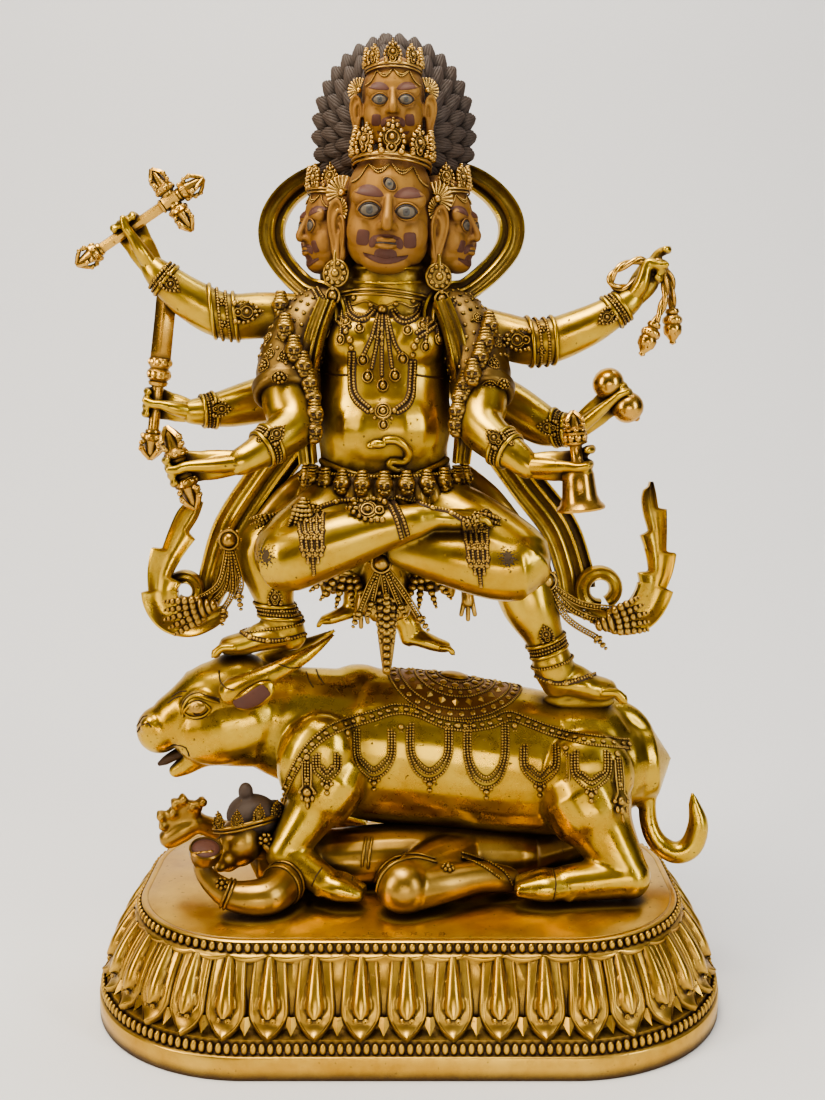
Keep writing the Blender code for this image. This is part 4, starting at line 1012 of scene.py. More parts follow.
def folded_leg(wax, joints, radii, hoof):
    """Thigh, shank and cloven hoof through (shoulder, knee, fetlock, toe)."""
    top, knee, fetlock, toe = (Vector(joint) for joint in joints)
    thick, bend, thin = radii
    middle = (top + knee) / 2
    wax.limb([(*top, thick), (*(top.lerp(middle, 0.6)), thick * 0.92), (*middle, thick * 0.70),
              (*knee, bend)],
             sides=18)
    wax.limb([(*knee, bend), (*knee.lerp(fetlock, 0.5), (bend + thin) / 2), (*fetlock, thin)], sides=16)
    wax.ball(tuple(knee), bend * 1.04)
    ahead = (toe - fetlock).normalized()
    across = ahead.cross(Vector((0, 0, 1))).normalized()
    for side in (-1, 1):
        spread = across * side * thin * 0.38
        wax.limb([(*(fetlock + spread), thin * 0.72),
                  (*(fetlock + ahead * hoof * 0.45 + spread), thin * 0.86),
                  (*(fetlock + ahead * hoof + spread * 1.2), thin * 0.50)], sides=12, across=(0, 0, 1),
                  ratio=0.95)
        wax.ball(tuple(fetlock - ahead * 3 + spread * 1.9 - Vector((0, 0, thin * 0.5))), thin * 0.28)


def buffalo_body():
    wax = Wax()
    wax.limb([(-66, 8, 166, 35), (-44, 13, 155, 45), (-20, 14, 150, 49), (12, 14, 147, 49.5),
              (48, 14, 142, 48.5), (84, 14, 138, 46), (116, 14, 136, 41), (138, 14, 138, 29)],
             sides=30, ratio=0.86)
    wax.limb([(-44, 12, 158, 42), (-70, 8, 165, 37.5), (-92, 5, 172, 32.5), (-112, 2, 178, 28.5),
              (-126, 0, 180, 25)], sides=24, ratio=0.78)
    wax.limb([(-104, 1, 186, 25), (-122, -2, 184, 23), (-138, -4, 176, 17.5), (-148, -5, 169, 16),
              (-153, -6, 166.5, 13.5)], sides=24, ratio=0.95)
    wax.ball((-154, -6, 166), (14.6, 14.4, 15))
    wax.limb([(-100, 0, 161, 21), (-118, -3, 156, 15), (-130, -5, 150, 9.5), (-139, -6, 143, 6.5),
              (-145, -6.5, 139.5, 4.6)], sides=18, ratio=1.1)
    wax.ball((-32, 14, 176), (29, 24, 26))
    wax.ball((106, 9, 149.5), (38, 30, 34.5))
    wax.ball((132, 14, 139), (23, 31, 30))
    wax.ball((-108, 0, 199.6), (21, 17, 13.4), tilt=-8)
    for side in (-1, 1):
        wax.limb([(*mirrored(-106, -29, 196, side), 8.4), (*mirrored(-96, -31, 200.5, side), 7.6),
                  (*mirrored(-83, -30, 206.5, side), 6.4), (*mirrored(-62, -22, 216.5, side), 4.4),
                  (*mirrored(-46, -12, 227, side), 1.3)], sides=14)
        wax.ball(mirrored(-127, -22, 187, side), (11, 5.5, 7.5), tilt=-14)
        wax.ball(mirrored(-143, -14, 184, side), (4, 4, 2.2), tilt=-30)
        wax.ball(mirrored(-158, -15, 171, side, -8), (6.5, 6.0, 6.5), tilt=-20)
        wax.ball(mirrored(-112, -12, 169, side), (35, 15.5, 23), tilt=-14)
        wax.ball(mirrored(-56, -24, 152, side, FAR), (24, 18, 30), tilt=18)
        wax.ball(mirrored(108, -20, 140, side, FAR), (30, 16, 28), tilt=-8)
    folded_leg(wax, ((-46, -20, 140), (-75, -35, 98), (-50, -45, 83), (-28, -49, 78)), (23, 11.5, 9.5),
               21)
    folded_leg(wax, ((-48, 48, 138), (-76, 60, 94), (-52, 66, 82), (-30, 66, 78)), (21, 11.0, 9.0), 20)
    folded_leg(wax, ((106, -16, 128), (132, -38, 84), (92, -43, 81), (64, -44, 80)), (28, 13.5, 10.8), 25)
    folded_leg(wax, ((106, 44, 126), (132, 62, 84), (92, 66, 81), (64, 66, 80)), (26, 13.0, 10.4), 25)
    wax.limb([(112, 14, 164, 16), (130, 14, 169, 11), (144, 13, 164, 7.6), (151, 12, 150, 6.2),
              (151.5, 9, 126, 5.6), (151.5, 6, 104, 5.8), (157, 3, 90, 6.4), (168, 0, 83.5, 7.0),
              (178, 0, 88, 7.4), (182, 0, 102, 6.6), (179, 0, 116, 3.6), (178, 0, 122, 1.6)], sides=16)
    return wax.cast("buffalo_body", buffalo_gilt, 1.5, soften=4, floor=GROUND)


def almond(centre_across, centre_down, half_across, half_down, tilt, arc=(0.0, 1.0), count=20):
    """Pixels of an almond-shaped line round an eye."""
    points = []
    for k in range(count + 1):
        a = tau * (arc[0] + (arc[1] - arc[0]) * k / count)
        x = half_across * cos(a)
        y = half_down * sin(a) * (1 - 0.45 * abs(cos(a)) ** 3)
        points.append((centre_across + x * cos(tilt) - y * sin(tilt),
                       centre_down + x * sin(tilt) + y * cos(tilt)))
    return points


# Lines of the animal's face and feet, read from the photograph in its own pixels.
BUFFALO_EYE_SEEN = (197, 710)
BUFFALO_LID_SEEN = [(183, 716), (184, 706), (190, 698), (198, 696), (207, 699), (218, 702)]
BUFFALO_BROW_SEEN = [(181, 714), (183, 703), (190, 695), (199, 693), (208, 696), (219, 699)]
NOSTRIL_SEEN = [[(136, 736), (140, 727), (148, 723), (151, 727)], [(137, 726), (143, 717), (147, 716)]]
BUFFALO_CREASES_SEEN = [
    [(219, 671), (220, 680), (226, 688), (234, 690)], [(305, 667), (308, 678), (313, 687)],
    [(315, 665), (318, 675), (324, 684)], [(168, 703), (175, 698), (182, 696)],
    [(172, 697), (179, 692), (186, 691)], [(279, 664), (290, 668), (300, 667)],
    [(166, 748), (176, 745), (186, 748), (189, 756)],
    [(340, 850), (352, 862), (352, 880)], [(312, 886), (316, 876), (322, 868)],
    [(553, 868), (556, 884), (553, 902)]]


def buffalo_face(skin):
    """Eye, nostril and mouth lines, on the near side and reflected to the far one."""
    fine = [skin.line_seen(almond(*BUFFALO_EYE_SEEN, 12.6, 7.2, -0.12), 0.35, 3),
            skin.line_seen(BUFFALO_LID_SEEN, 0.3, 3)]
    # The dark lines are painted shade: in the grooves round the eye and under the brow, in the nostrils
    # and in the folds of the skin. A small dark ring marks the pupil.
    dark = [skin.line_seen(almond(*BUFFALO_EYE_SEEN, 13.6, 9.4, -0.10), 0.05, 3),
            skin.line_seen(almond(*BUFFALO_EYE_SEEN, 4.0, 4.0, 0.0), 0.9, 3),
            skin.line_seen(BUFFALO_BROW_SEEN, 0.0, 3)]
    dark += [skin.line_seen(line, 0.15) for line in NOSTRIL_SEEN]
    dark += [skin.line_seen(line, 0.1) for line in BUFFALO_CREASES_SEEN]
    middle = -6.0
    both = [[Vector((p.x, 2 * middle - p.y, p.z)) for p in line] for line in dark[:5]]
    cords("buffalo_lids", fine, 1.0, buffalo_gilt, "gilt_bronze")
    cords("buffalo_graved_lines", dark + both, 0.42, dark_line, "gilt_bronze")
    bm = bmesh.new()
    for side in (-1, 1):
        matrix = frame_at(mirrored(-127, -28.2, 186.3, side), (-0.25, side, 0.15))
        dome(bm, matrix, (5.6, 3.8, 1.5), sides=18, rings=10)
        dome(bm, matrix, (2.0, 2.0, 1.0), (0, 0, 1.0), sides=12, rings=8)
    dressed(object_from("buffalo_eyes", bm, jewel_gilt), "gilt_bronze")


def buffalo_ears():
    """Leaf-shaped ears, open to the side, painted red-brown inside."""
    rim = bmesh.new()
    lining = bmesh.new()
    for side in (-1, 1):
        line = [(-103, -34, 190), (-97, -38, 192), (-90, -40, 196), (-84, -40, 200.5), (-81, -39, 203.5)]
        radii = (3.8, 6.2, 7.2, 6.0, 2.6)
        shell = [(*mirrored(*place, side), radius) for place, radius in zip(line, radii)]
        inside = [(*mirrored(x, y - 1.6, z, side), radius * 0.72) for (x, y, z),
                  radius in zip(line, radii)]
        tube(rim, shell, sides=14, across=(0.2, 1, 0.35 * -side), ratio=0.34, step=1.5)
        tube(lining, inside[:-1], sides=14, across=(0.2, 1, 0.35 * -side), ratio=0.26, step=1.5)
    for bm in (rim, lining):
        bmesh.ops.recalc_face_normals(bm, faces=bm.faces)
    dressed(object_from("buffalo_ears", rim, buffalo_gilt), "gilt_bronze")
    dressed(object_from("buffalo_ear_lining", lining, red_paint), "painted_hair")


def buffalo_mouth():
    """A dark tube of painted shade in the hollow between the jaws, and the tongue that comes out over the
    lower lip.
    """
    bm = bmesh.new()
    tube(bm, [(-122, -5, 160, 7.5), (-131, -6, 155, 6.6), (-138, -6.5, 151, 3.6)], sides=14, ratio=1.35)
    dressed(object_from("buffalo_gullet", bm, dark_line), "gilt_bronze")
    bm = bmesh.new()
    tube(bm, [(-128, -6, 157.5, 4.2), (-137, -7, 154, 5.0), (-146, -8, 149.5, 5.0),
              (-151, -8, 146.5, 4.4),
              (-154, -8, 144.8, 2.6)], sides=16, across=(0.5, 0, 0.85), ratio=0.62)
    dressed(object_from("buffalo_tongue", bm, dark_line), "painted_hair")


def round_back(skin, x, reach, lift=0.4):
    """A place on the barrel at x, this far round it from the ridge of the back, negative towards the
    front."""
    turn = reach / 50.0
    hit = skin.inwards((x, FAR, 146), (0, sin(turn), cos(turn)), 120, lift)
    return hit


def saddle_point(skin, radius, angle, lift=0.4):
    """A place on the saddle disc; the disc drapes over the back."""
    return round_back(skin, 28.5 + radius * cos(angle), radius * 0.98 * sin(angle), lift)


def saddle(skin):
    """The disc on the back: an oval jewel in rings of pearls, a ring of lozenges and a border of gems."""
    bm = bmesh.new()
    top = round_back(skin, 28.5, 0, 0.6)
    dome(bm, frame_at(*top, up=(0, 1, 0)), (9, 6.5, 2.4), sides=18, rings=8)
    for radius, count, size in ((14.5, 12, 2.5), (21.5, 22, 1.6), (38.5, 34, 1.9)):
        for k in range(count):
            place = saddle_point(skin, radius, tau * k / count, 0.3)
            dome(bm, frame_at(*place), (size, size, size * 0.6), sides=8, rings=5)
    for k in range(22):
        angle = tau * (k + 0.5) / 22
        place, normal = saddle_point(skin, 29.0, angle, 0.3)
        outer, _ = saddle_point(skin, 33.5, angle, 0.3)
        lozenge(bm, place, normal, outer - place, 3.6, 2.7, 1.7)
    dressed(object_from("saddle_gems", bm, jewel_gilt, sharp=40), "gilt_bronze")
    rings = [[saddle_point(skin, radius, tau * k / 90)[0] for k in range(91)]
             for radius in (10.8, 18.0, 25.0, 34.8, 42.0)]
    strung("saddle_pearls", rings, 0.82, jewel_gilt, "gilt_bronze")
    # The cloth is a darker brown ground under the gems: painted shade between the close-set jewels.
    cloth = bmesh.new()
    sheet(cloth, lambda u, v: saddle_point(skin, 43.5 * v, tau * u, 0.25 if v < 1 else -0.2), 96, 12)
    dressed(object_from("saddle_cloth", cloth, saddle_ground_shade), "gilt_bronze")


def lozenge(bm, place, normal, along_it, half_length, half_width, height):
    """A faceted diamond boss."""
    matrix = frame_at(place, normal, along_it)
    corners = [bm.verts.new(matrix @ Vector(spot)) for spot in
               ((0, half_length, -0.3), (half_width, 0, -0.3), (0, -half_length, -0.3),
                (-half_width, 0, -0.3))]
    top = bm.verts.new(matrix @ Vector((0, 0, height)))
    for k in range(4):
        bm.faces.new((corners[(k + 1) % 4], corners[k], top))
    bm.faces.new(corners)


def sheet(bm, spot_of, columns, rows, closed=True):
    """A surface of (u, v) spots, each a place and a normal; it closes in u and gathers to its first
    row."""
    grid = []
    for j in range(rows + 1):
        grid.append([bm.verts.new(spot_of(i / columns, j / rows)[0])
                     for i in range(columns if closed else columns + 1)])
    for row, following in zip(grid, grid[1:]):
        for i in range(columns):
            n = (i + 1) % columns if closed else i + 1
            bm.faces.new((row[i], following[i], following[n], row[n]))


def hanging_jewel(bm, pearl_lines, matrix, length):
    """A hanger of the harness: a pearl rod with wires beside it, a gem in scrolls and a drop."""
    def at(x, y, z=0.5):
        return matrix @ Vector((x, y, z))
    pearl_lines.append([at(-0.9, -3), at(-0.9, -length * 0.52)])
    pearl_lines.append([at(0.9, -3), at(0.9, -length * 0.52)])
    for side in (-1, 1):
        tube(bm, [(*at(side * 2.6, -4), 0.55), (*at(side * 2.8, -length * 0.35), 0.55),
                  (*at(side * 2.4, -length * 0.58), 0.6), (*at(side * 4.4, -length * 0.66), 0.8)],
                  sides=6)
        dome(bm, matrix, (1.5, 1.5, 1.2), (side * 4.6, -length * 0.70, 0), sides=7)
        dome(bm, matrix, (1.3, 2.2, 1.2), (side * 3.2, -length * 0.82, 0), sides=7)
    dome(bm, matrix, (2.0, 2.0, 1.5), (0, 0, 0), sides=9)
    dome(bm, matrix, (1.7, 1.7, 1.5), (0, -length * 0.45, 0.3), sides=8)
    dome(bm, matrix, (2.9, 2.9, 2.2), (0, -length * 0.70, 0), sides=10)
    dome(bm, matrix, (2.2, 2.6, 1.8), (0, -length * 0.84, 0), sides=8)
    dome(bm, matrix, (1.2, 3.0, 1.2), (0, -length * 0.95, 0), sides=7)


HANGERS_SEEN = [(307, 757, 50), (347, 733, 80), (401, 727, 90), (458, 726, 104), (514.5, 726, 90),
                (565.5, 748, 72), (617, 754, 68)]
BORDER_SEEN = [(282, 800), (290, 778), (306, 751), (326, 733), (345, 724), (372, 716), (396, 709),
               (417, 712),
               (440, 722), (465, 726), (490, 723), (509, 716), (528, 722), (552, 731), (584, 739),
               (629, 744)]
SWAG_BOTTOMS_SEEN = [782, 778, 779, 787, 784, 790]


def harness(skin):
    """The jewelled border that runs from the throat over the saddle's edge to the rump, with its
    swags."""
    pearl_lines, gems = [], bmesh.new()
    for shift in (-4.6, 4.6):
        pearl_lines.append(skin.line_seen([(x + shift * 0.25, y + shift) for x, y in BORDER_SEEN], 0.5))
    for (x, y) in smooth_path(BORDER_SEEN, 9.0):
        hit = skin.seen(x, y, 0.3)
        if hit:
            dome(gems, frame_at(*hit), (1.9, 1.6, 1.3), sides=8, rings=5)
    for (x, y, length) in HANGERS_SEEN:
        hit = skin.seen(x, y, 0.6)
        tip = skin.seen(x + 1, y + length, 0.6)
        if not hit or not tip:
            continue
        place, normal = hit
        matrix = frame_at(place, normal + tip[1], place - tip[0])
        hanging_jewel(gems, pearl_lines, matrix, (tip[0] - place).length)
    for (left, right), low in zip(zip(HANGERS_SEEN, HANGERS_SEEN[1:]), SWAG_BOTTOMS_SEEN):
        middle, half = (left[0] + right[0]) / 2, (right[0] - left[0]) / 2
        for inset, rise in ((6.5, 0), (9.5, 5.5), (12.3, 10)):
            top = max(left[1], right[1]) - 3 if inset > 7 else max(left[1], right[1])
            points = [(left[0] + inset, top), (left[0] + inset + 0.3, (top + low) / 2),
                      (left[0] + inset + (half - inset) * 0.38, low - rise - 7), (middle, low - rise),
                      (right[0] - inset - (half - inset) * 0.38, low - rise - 7),
                      (right[0] - inset - 0.3, (top + low) / 2), (right[0] - inset, top)]
            pearl_lines.append(skin.line_seen(points, 0.5, 3.0))
        for across, down, size in ((0, 5, 2.0), (-4.5, 2, 1.4), (4.5, 2, 1.4), (0, 11, 1.6)):
            hit = skin.seen(middle + across, low + down, 0.3)
            if hit:
                dome(gems, frame_at(*hit), (size, size, size * 0.7), sides=8, rings=5)
    mirror = [[Vector((p.x, 2 * FAR - p.y, p.z)) for p in line] for line in pearl_lines]
    settled = [[skin.nearest(p, 0.5)[0] for p in line] for line in mirror]
    strung("harness_pearls", pearl_lines, 0.88, jewel_gilt, "gilt_bronze")
    strung("harness_pearls_far_side", settled, 0.88, jewel_gilt, "gilt_bronze")
    far = gems.copy()
    for vert in far.verts:
        vert.co.y = 2 * FAR - vert.co.y
    bmesh.ops.reverse_faces(far, faces=far.faces)
    dressed(object_from("harness_jewels", gems, jewel_gilt), "gilt_bronze")
    dressed(object_from("harness_jewels_far_side", far, jewel_gilt), "gilt_bronze")


# A darker brown for the saddle's ground, painted shade between its gems.
saddle_ground_shade = gilding("Saddle ground shade", metal=(0.36, 0.19, 0.06), deep=(0.17, 0.08, 0.03), amount=1.0,
                        polish=0.38, reach=3.0)
buffalo = dressed(buffalo_body(), "gilt_bronze", "buffalo")
buffalo_skin = Skin(buffalo)
buffalo_face(buffalo_skin)
buffalo_ears()
buffalo_mouth()
saddle(buffalo_skin)
harness(buffalo_skin)


# The standing body: one casting of a stout bare torso, six arms and six legs. The front pair of legs is
# crossed over the standing pair and two small feet hang behind. It is modelled in four waxes, torso,
# arms, legs and hands, that run into each other under sleeves and belts, and the toes are laid on.

body_gilt = gilding("Body gilding", metal=(0.66, 0.46, 0.075), deep=(0.45, 0.25, 0.028), amount=1.0,
                    polish=0.21, reach=12.0, pitting=1.0)
BODY_MIDDLE = -14.0


def torso():
    wax = Wax()
    wax.limb([(-12, -4, 462, 17), (-12, -5, 446, 20), (-12, -5, 436, 21.5), (-13, -2, 429, 27),
              (-14, 1, 423, 35), (-14, 2, 411, 41.5),
              (-14, 1, 393, 39.5), (-14.5, -4, 373, 38.5), (-15, -8, 355, 40.5), (-15, -7, 337, 38),
              (-14, 0, 318, 40), (-13, 5, 297, 32)], sides=34, ratio=0.74)
    wax.ball((BODY_MIDDLE - 0.5, -14, 352), (37, 26.5, 31))
    for height, reach in ((446, 20.4), (438, 22.2)):
        hoop(wax.bm, (-12, -5, height), (0, -0.12, 1), reach, 1.5, sides=8, turns=32)
    for side in (-1, 1):
        wax.ball((BODY_MIDDLE + side * 17, -17, 402), (18, 14.5, 15), tilt=side * 8)
        wax.ball((BODY_MIDDLE + side * 38, 5, 414), (17, 16, 14))
        wax.limb([(BODY_MIDDLE + side * 30, 8, 466, 12), (BODY_MIDDLE + side * 26, 6, 448, 14),
                  (BODY_MIDDLE + side * 22, 3, 430, 16)], sides=16)
    wax.ball((-14, 4, 309), (46, 31, 16))
    wax.ball((-14, 14, 288), (44, 26, 26))
    return wax.cast("protector_torso", body_gilt, 1.4, soften=4)


def arms():
    wax = Wax()
    for line in (
        [(-38, 6, 416, 16), (-62, 4, 417, 14), (-86, 2, 418, 13.8), (-109, -4, 417.5, 13.6),
         (-128, -8, 427, 12.4), (-143, -10, 439, 9.6), (-149, -10, 445, 7.6)],
        [(12, 6, 414, 16), (32, 4, 412, 14), (54, 2, 406.5, 13.8), (78, -4, 402, 13.6),
         (104, -8, 411, 12), (123, -10, 422, 9.2), (130, -10, 427, 7.6)],
        [(-40, 20, 398, 16), (-66, 27, 373, 15), (-88, 20, 368, 14.4), (-109, 10, 363, 12),
         (-121, 4, 361.5, 9.5), (-130, 0, 361, 7.8)],
        [(12, 20, 398, 16), (42, 27, 374, 15), (62, 20, 364, 14.4), (82, 10, 352, 12.4),
         (92, 5, 350, 9.5), (99, 0, 349, 7.8)],
        [(-50, 2, 412, 17), (-64, -6, 404, 16.5), (-71, -14, 388, 16), (-70, -26, 367, 15),
         (-66, -36, 355, 13.6), (-77, -50, 346, 11.2), (-86, -57, 340, 9.2), (-94, -62, 336, 7.8)],
        [(22, 2, 412, 17), (36, -6, 404, 16.5), (42, -14, 388, 16), (42, -26, 367, 15),
         (41, -36, 355, 13.6), (51, -50, 345, 11.2), (59, -56, 340, 9.2), (66, -60, 334, 7.8)],
    ):
        wax.limb(line, sides=20)
    return wax.cast("protector_arms", body_gilt, 1.4, soften=4)


TOES = []


def foot(wax, ankle, heel, toe, width):
    """A bare foot: heel, arch and ball. Its five toes are noted down and laid on as crisper forms."""
    ankle, heel, toe = Vector(ankle), Vector(heel), Vector(toe)
    ahead = (toe - heel).normalized()
    side = ahead.cross(Vector((0, 0, 1))).normalized()
    side = side if side.y > 0 else -side
    wax.limb([(*ankle, width * 0.98), (*((ankle + heel) / 2), width * 1.02), (*heel, width * 0.86)],
             sides=18)
    arch = ankle * 0.12 + heel * 0.42 + toe * 0.46
    wax.limb([(*heel, width * 0.86), (*arch, width * 1.12), (*(toe - ahead * width * 0.7), width * 1.00),
              (*toe, width * 0.86)], sides=18, across=(0, 0, 1), ratio=0.64)
    wax.limb([(*(ankle.lerp(heel, 0.6)), width * 0.8),
              (*(ankle * 0.25 + heel * 0.25 + toe * 0.5), width * 0.66)],
             sides=16)
    for k in range(5):
        root = toe + side * (k - 2) * width * 0.38 - ahead * width * 0.25
        middle = root + ahead * width * (0.66 - 0.07 * k) + Vector((0, 0, width * 0.07))
        tip = root + ahead * width * (1.02 - 0.10 * k) - Vector((0, 0, width * 0.20))
        size = width * (0.235 - 0.012 * k)
        way = (tip - middle).normalized()
        TOES.append([(*root, size), (*middle, size * 0.96), (*tip, size * 1.06),
                     (*(tip + way * size * 0.60), size * 0.82),
                     (*(tip + way * size * 0.95), size * 0.34)])


def toes():
    """The toes of all six feet, each with its nail."""
    bm = bmesh.new()
    for line in TOES:
        tube(bm, line, sides=12, step=1.2)
        tip, size = Vector(line[2][:3]), line[2][3]
        ahead = tip - Vector(line[1][:3])
        dome(bm, frame_at(tip + Vector((0, 0, size * 0.72)), (ahead.x * 0.02, ahead.y * 0.02, 1), ahead),
             (size * 0.62, size * 0.80, size * 0.42), sides=10)
    bmesh.ops.recalc_face_normals(bm, faces=bm.faces)
    return object_from("toes", bm, body_gilt)


def legs():
    wax = Wax()
    wax.ball((60, -38.5, 276.5), (22.5, 21, 21.5), rings=20)
    wax.ball((-68, -44.5, 281.5), (21, 20.5, 20.5), rings=20)
    wax.limb([(-34, -6, 306, 23), (-52, -28, 296, 22.5), (-70, -44, 281, 20.5), (-62, -49, 282, 19.5),
              (-36, -52, 291, 17), (-18, -54, 297, 14), (-4, -55, 300.5, 11), (6, -54, 303, 9.5)],
              sides=26)
    wax.limb([(8, -6, 304, 23), (34, -24, 294, 23), (62, -38, 277, 21.5), (52, -42, 274, 20),
              (26, -44, 279, 17), (-2, -40, 285, 13)], sides=26)
    wax.limb([(-36, 12, 306, 22), (-66, 10, 292, 20.5), (-88, 8, 277, 18.5), (-85, 4, 258, 15.5),
              (-82, 1, 244, 11.5), (-81, 0, 236, 10.6)], sides=24)
    wax.limb([(13, 12, 303, 22), (42, 8, 287, 21.5), (64, 3, 270, 20), (74, -3, 244, 17.5),
              (82, -5, 226, 12.5), (87, -6, 213, 10.4)], sides=24)
    foot(wax, (-80, -1, 238), (-72, -1, 223.5), (-110, -6, 219), 11)
    foot(wax, (87, -6, 212), (91, -4, 196), (121, -4, 191), 12.5)
    wax.ball((106, 3, 182.5), (23, 10, 7))
    foot(wax, (6, -54, 303), (14, -54, 304), (38, -48, 302.5), 8.2)
    wax.limb([(-12, 14, 285, 14), (-13, 12, 264, 11), (-10, 10, 246, 9.5), (0, 7, 229, 8)], sides=16)
    foot(wax, (0, 7, 228), (0, 6, 221), (22, 4, 216), 7)
    wax.limb([(-26, 16, 284, 13), (-30, 13, 260, 9.5), (-34, 9, 243, 7.5)], sides=16)
    foot(wax, (-34, 9, 243), (-30, 8, 238), (-52, 3, 233), 6)
    wax.limb([(99, 0, 194, 7), (99, 2, 186, 6.5), (99, 3, 178, 6)], across=(0, 0, 1), sides=14)
    return wax.cast("protector_legs", body_gilt, 1.4, soften=4)


def gripping_hand(wax, wrist, hold, shaft, shaft_radius, size=1.0, raised=0.0):
    """A hand from its wrist to a shaft: the thumb in front and the fingers behind, curled round it. A
    raised first finger stands off along the shaft, as an elegant hand holds a light thing."""
    wrist, hold = Vector(wrist), Vector(hold)
    shaft = Vector(shaft).normalized()
    reach = hold - wrist
    forward = (reach - shaft * reach.dot(shaft)).normalized()
    front = shaft.cross(forward)
    if front.y > 0:
        front = -front
    near = shaft_radius + 2.0 * size

    def finger(*steps, sides=12):
        wax.limb([(*point, radius * size) for point, radius in steps], sides=sides, step=1.5)

    palm = wrist + reach * 0.55 - front * 3.2 * size
    wax.limb([(*wrist, 6.8 * size), (*palm, 8.6 * size),
              (*(hold - front * near - forward * 3), 6.2 * size)],
             across=tuple(front), ratio=0.62, sides=18)
    finger((wrist + front * 1.5, 4.8), (wrist + reach * 0.45 + front * 4.6 * size, 4.3),
           (hold + front * near - forward * 4 * size, 3.0),
           (hold + front * (near + 0.4) + forward * 1.5 * size, 2.7),
           (hold + front * near + forward * 6.5 * size + shaft * 1.5, 2.0))
    for k in range(4):
        slide = shaft * (k - 1.5) * 4.5 * size
        lift = shaft * raised * (3.5 if k == 3 else 0)
        finger((palm + slide * 0.75, 3.2), (hold - front * (near + 0.4) + slide - forward * 1.0, 2.9),
               (hold + forward * (near * 0.8) - front * (near * 0.7) + slide + lift, 2.7),
               (hold + forward * (near + 0.3) + front * 1.2 * size + slide + lift, 2.4),
               (hold + forward * (near - 1.2) + front * (near * 0.8) + slide * 0.96 + lift, 2.0))


STAFF_HOLD, STAFF_WAY = (-162, -12, 466.5), (0.836, 0, 0.548)
SWORD_HOLD, SWORD_WAY = (-151, -3, 366), (0.13, 0, 0.99)
VAJRA_HOLD, VAJRA_WAY = (-126, -66, 333), (-0.31, 0, 0.95)
ROPE_HOLD, ROPE_WAY = (143, -12, 446), (0.25, 0, 0.97)
FRUIT_HOLD, FRUIT_WAY = (124, -7, 371), (0.64, -0.09, -0.77)
BELL_HOLD, BELL_WAY = (93, -68, 334), (0.10, 0, -0.995)


def hands():
    wax = Wax()
    gripping_hand(wax, (-149, -10, 445), STAFF_HOLD, STAFF_WAY, 3.1)
    gripping_hand(wax, (130, -10, 427), ROPE_HOLD, ROPE_WAY, 2.4, raised=1.0)
    gripping_hand(wax, (-130, 0, 361), SWORD_HOLD, SWORD_WAY, 3.6)
    gripping_hand(wax, (99, 0, 349), FRUIT_HOLD, FRUIT_WAY, 4.2, 0.95)
    gripping_hand(wax, (-94, -62, 336), VAJRA_HOLD, VAJRA_WAY, 4.2)
    gripping_hand(wax, (66, -60, 334), BELL_HOLD, (0.1, 0, 1), 4.4, raised=1.0)
    return wax.cast("protector_hands", body_gilt, 0.82, soften=2)


torso_casting = dressed(torso(), "gilt_bronze", "protector_figure")
arms_casting = dressed(arms(), "gilt_bronze")
legs_casting = dressed(legs(), "gilt_bronze")
hands_casting = dressed(hands(), "gilt_bronze")
dressed(toes(), "gilt_bronze")


# The heads: a broad main face between two half-hidden side faces, with a smaller one above, all in matt
# cold gold with painted brows, lips and beard and inlaid-looking eyes, under crowns of pearled leaves.
# Behind them stands the upswept hair, cast in rows of combed locks and painted brown.

face_gold = finish_of("Matt cold gold", WORN_METAL_AND_SHADE, {
    "Metal": (0.44, 0.235, 0.055), "Deep metal": (0.27, 0.125, 0.028), "Patina and shade": (0.09, 0.032, 0.016),
    "Recess reach": 0.006, "Patina and shade amount": 0.9, "Polish": 0.46, "Pitting": 0.35}, 0.12, metallic=0.5)
eye_grey = finish_of("Eye paint", WORN_METAL_AND_SHADE, {
    "Metal": (0.085, 0.080, 0.070), "Deep metal": (0.055, 0.05, 0.045), "Patina and shade": (0.06, 0.06, 0.06),
    "Recess reach": 0.001, "Patina and shade amount": 0.5, "Polish": 0.30, "Pitting": 0.1}, 0.05, metallic=0.0)
eye_dark = finish_of("Eye rim paint", WORN_METAL_AND_SHADE, {
    "Metal": (0.045, 0.035, 0.035), "Deep metal": (0.03, 0.02, 0.02), "Patina and shade": (0.01, 0.01, 0.01),
    "Recess reach": 0.001, "Patina and shade amount": 0.3, "Polish": 0.35, "Pitting": 0.1}, 0.05, metallic=0.0)
eye_gold = finish_of("Eyeball paint", WORN_METAL_AND_SHADE, {
    "Metal": (0.17, 0.13, 0.085), "Deep metal": (0.12, 0.09, 0.058), "Patina and shade": (0.06, 0.03, 0.02),
    "Recess reach": 0.001, "Patina and shade amount": 0.5, "Polish": 0.36, "Pitting": 0.2}, 0.05, metallic=0.1)
crown_gilt = gilding("Crown gilding", metal=(0.80, 0.52, 0.17), deep=(0.58, 0.33, 0.09), amount=1.0,
                     polish=0.22,
                     reach=2.4, pitting=0.2, relief=0.05)


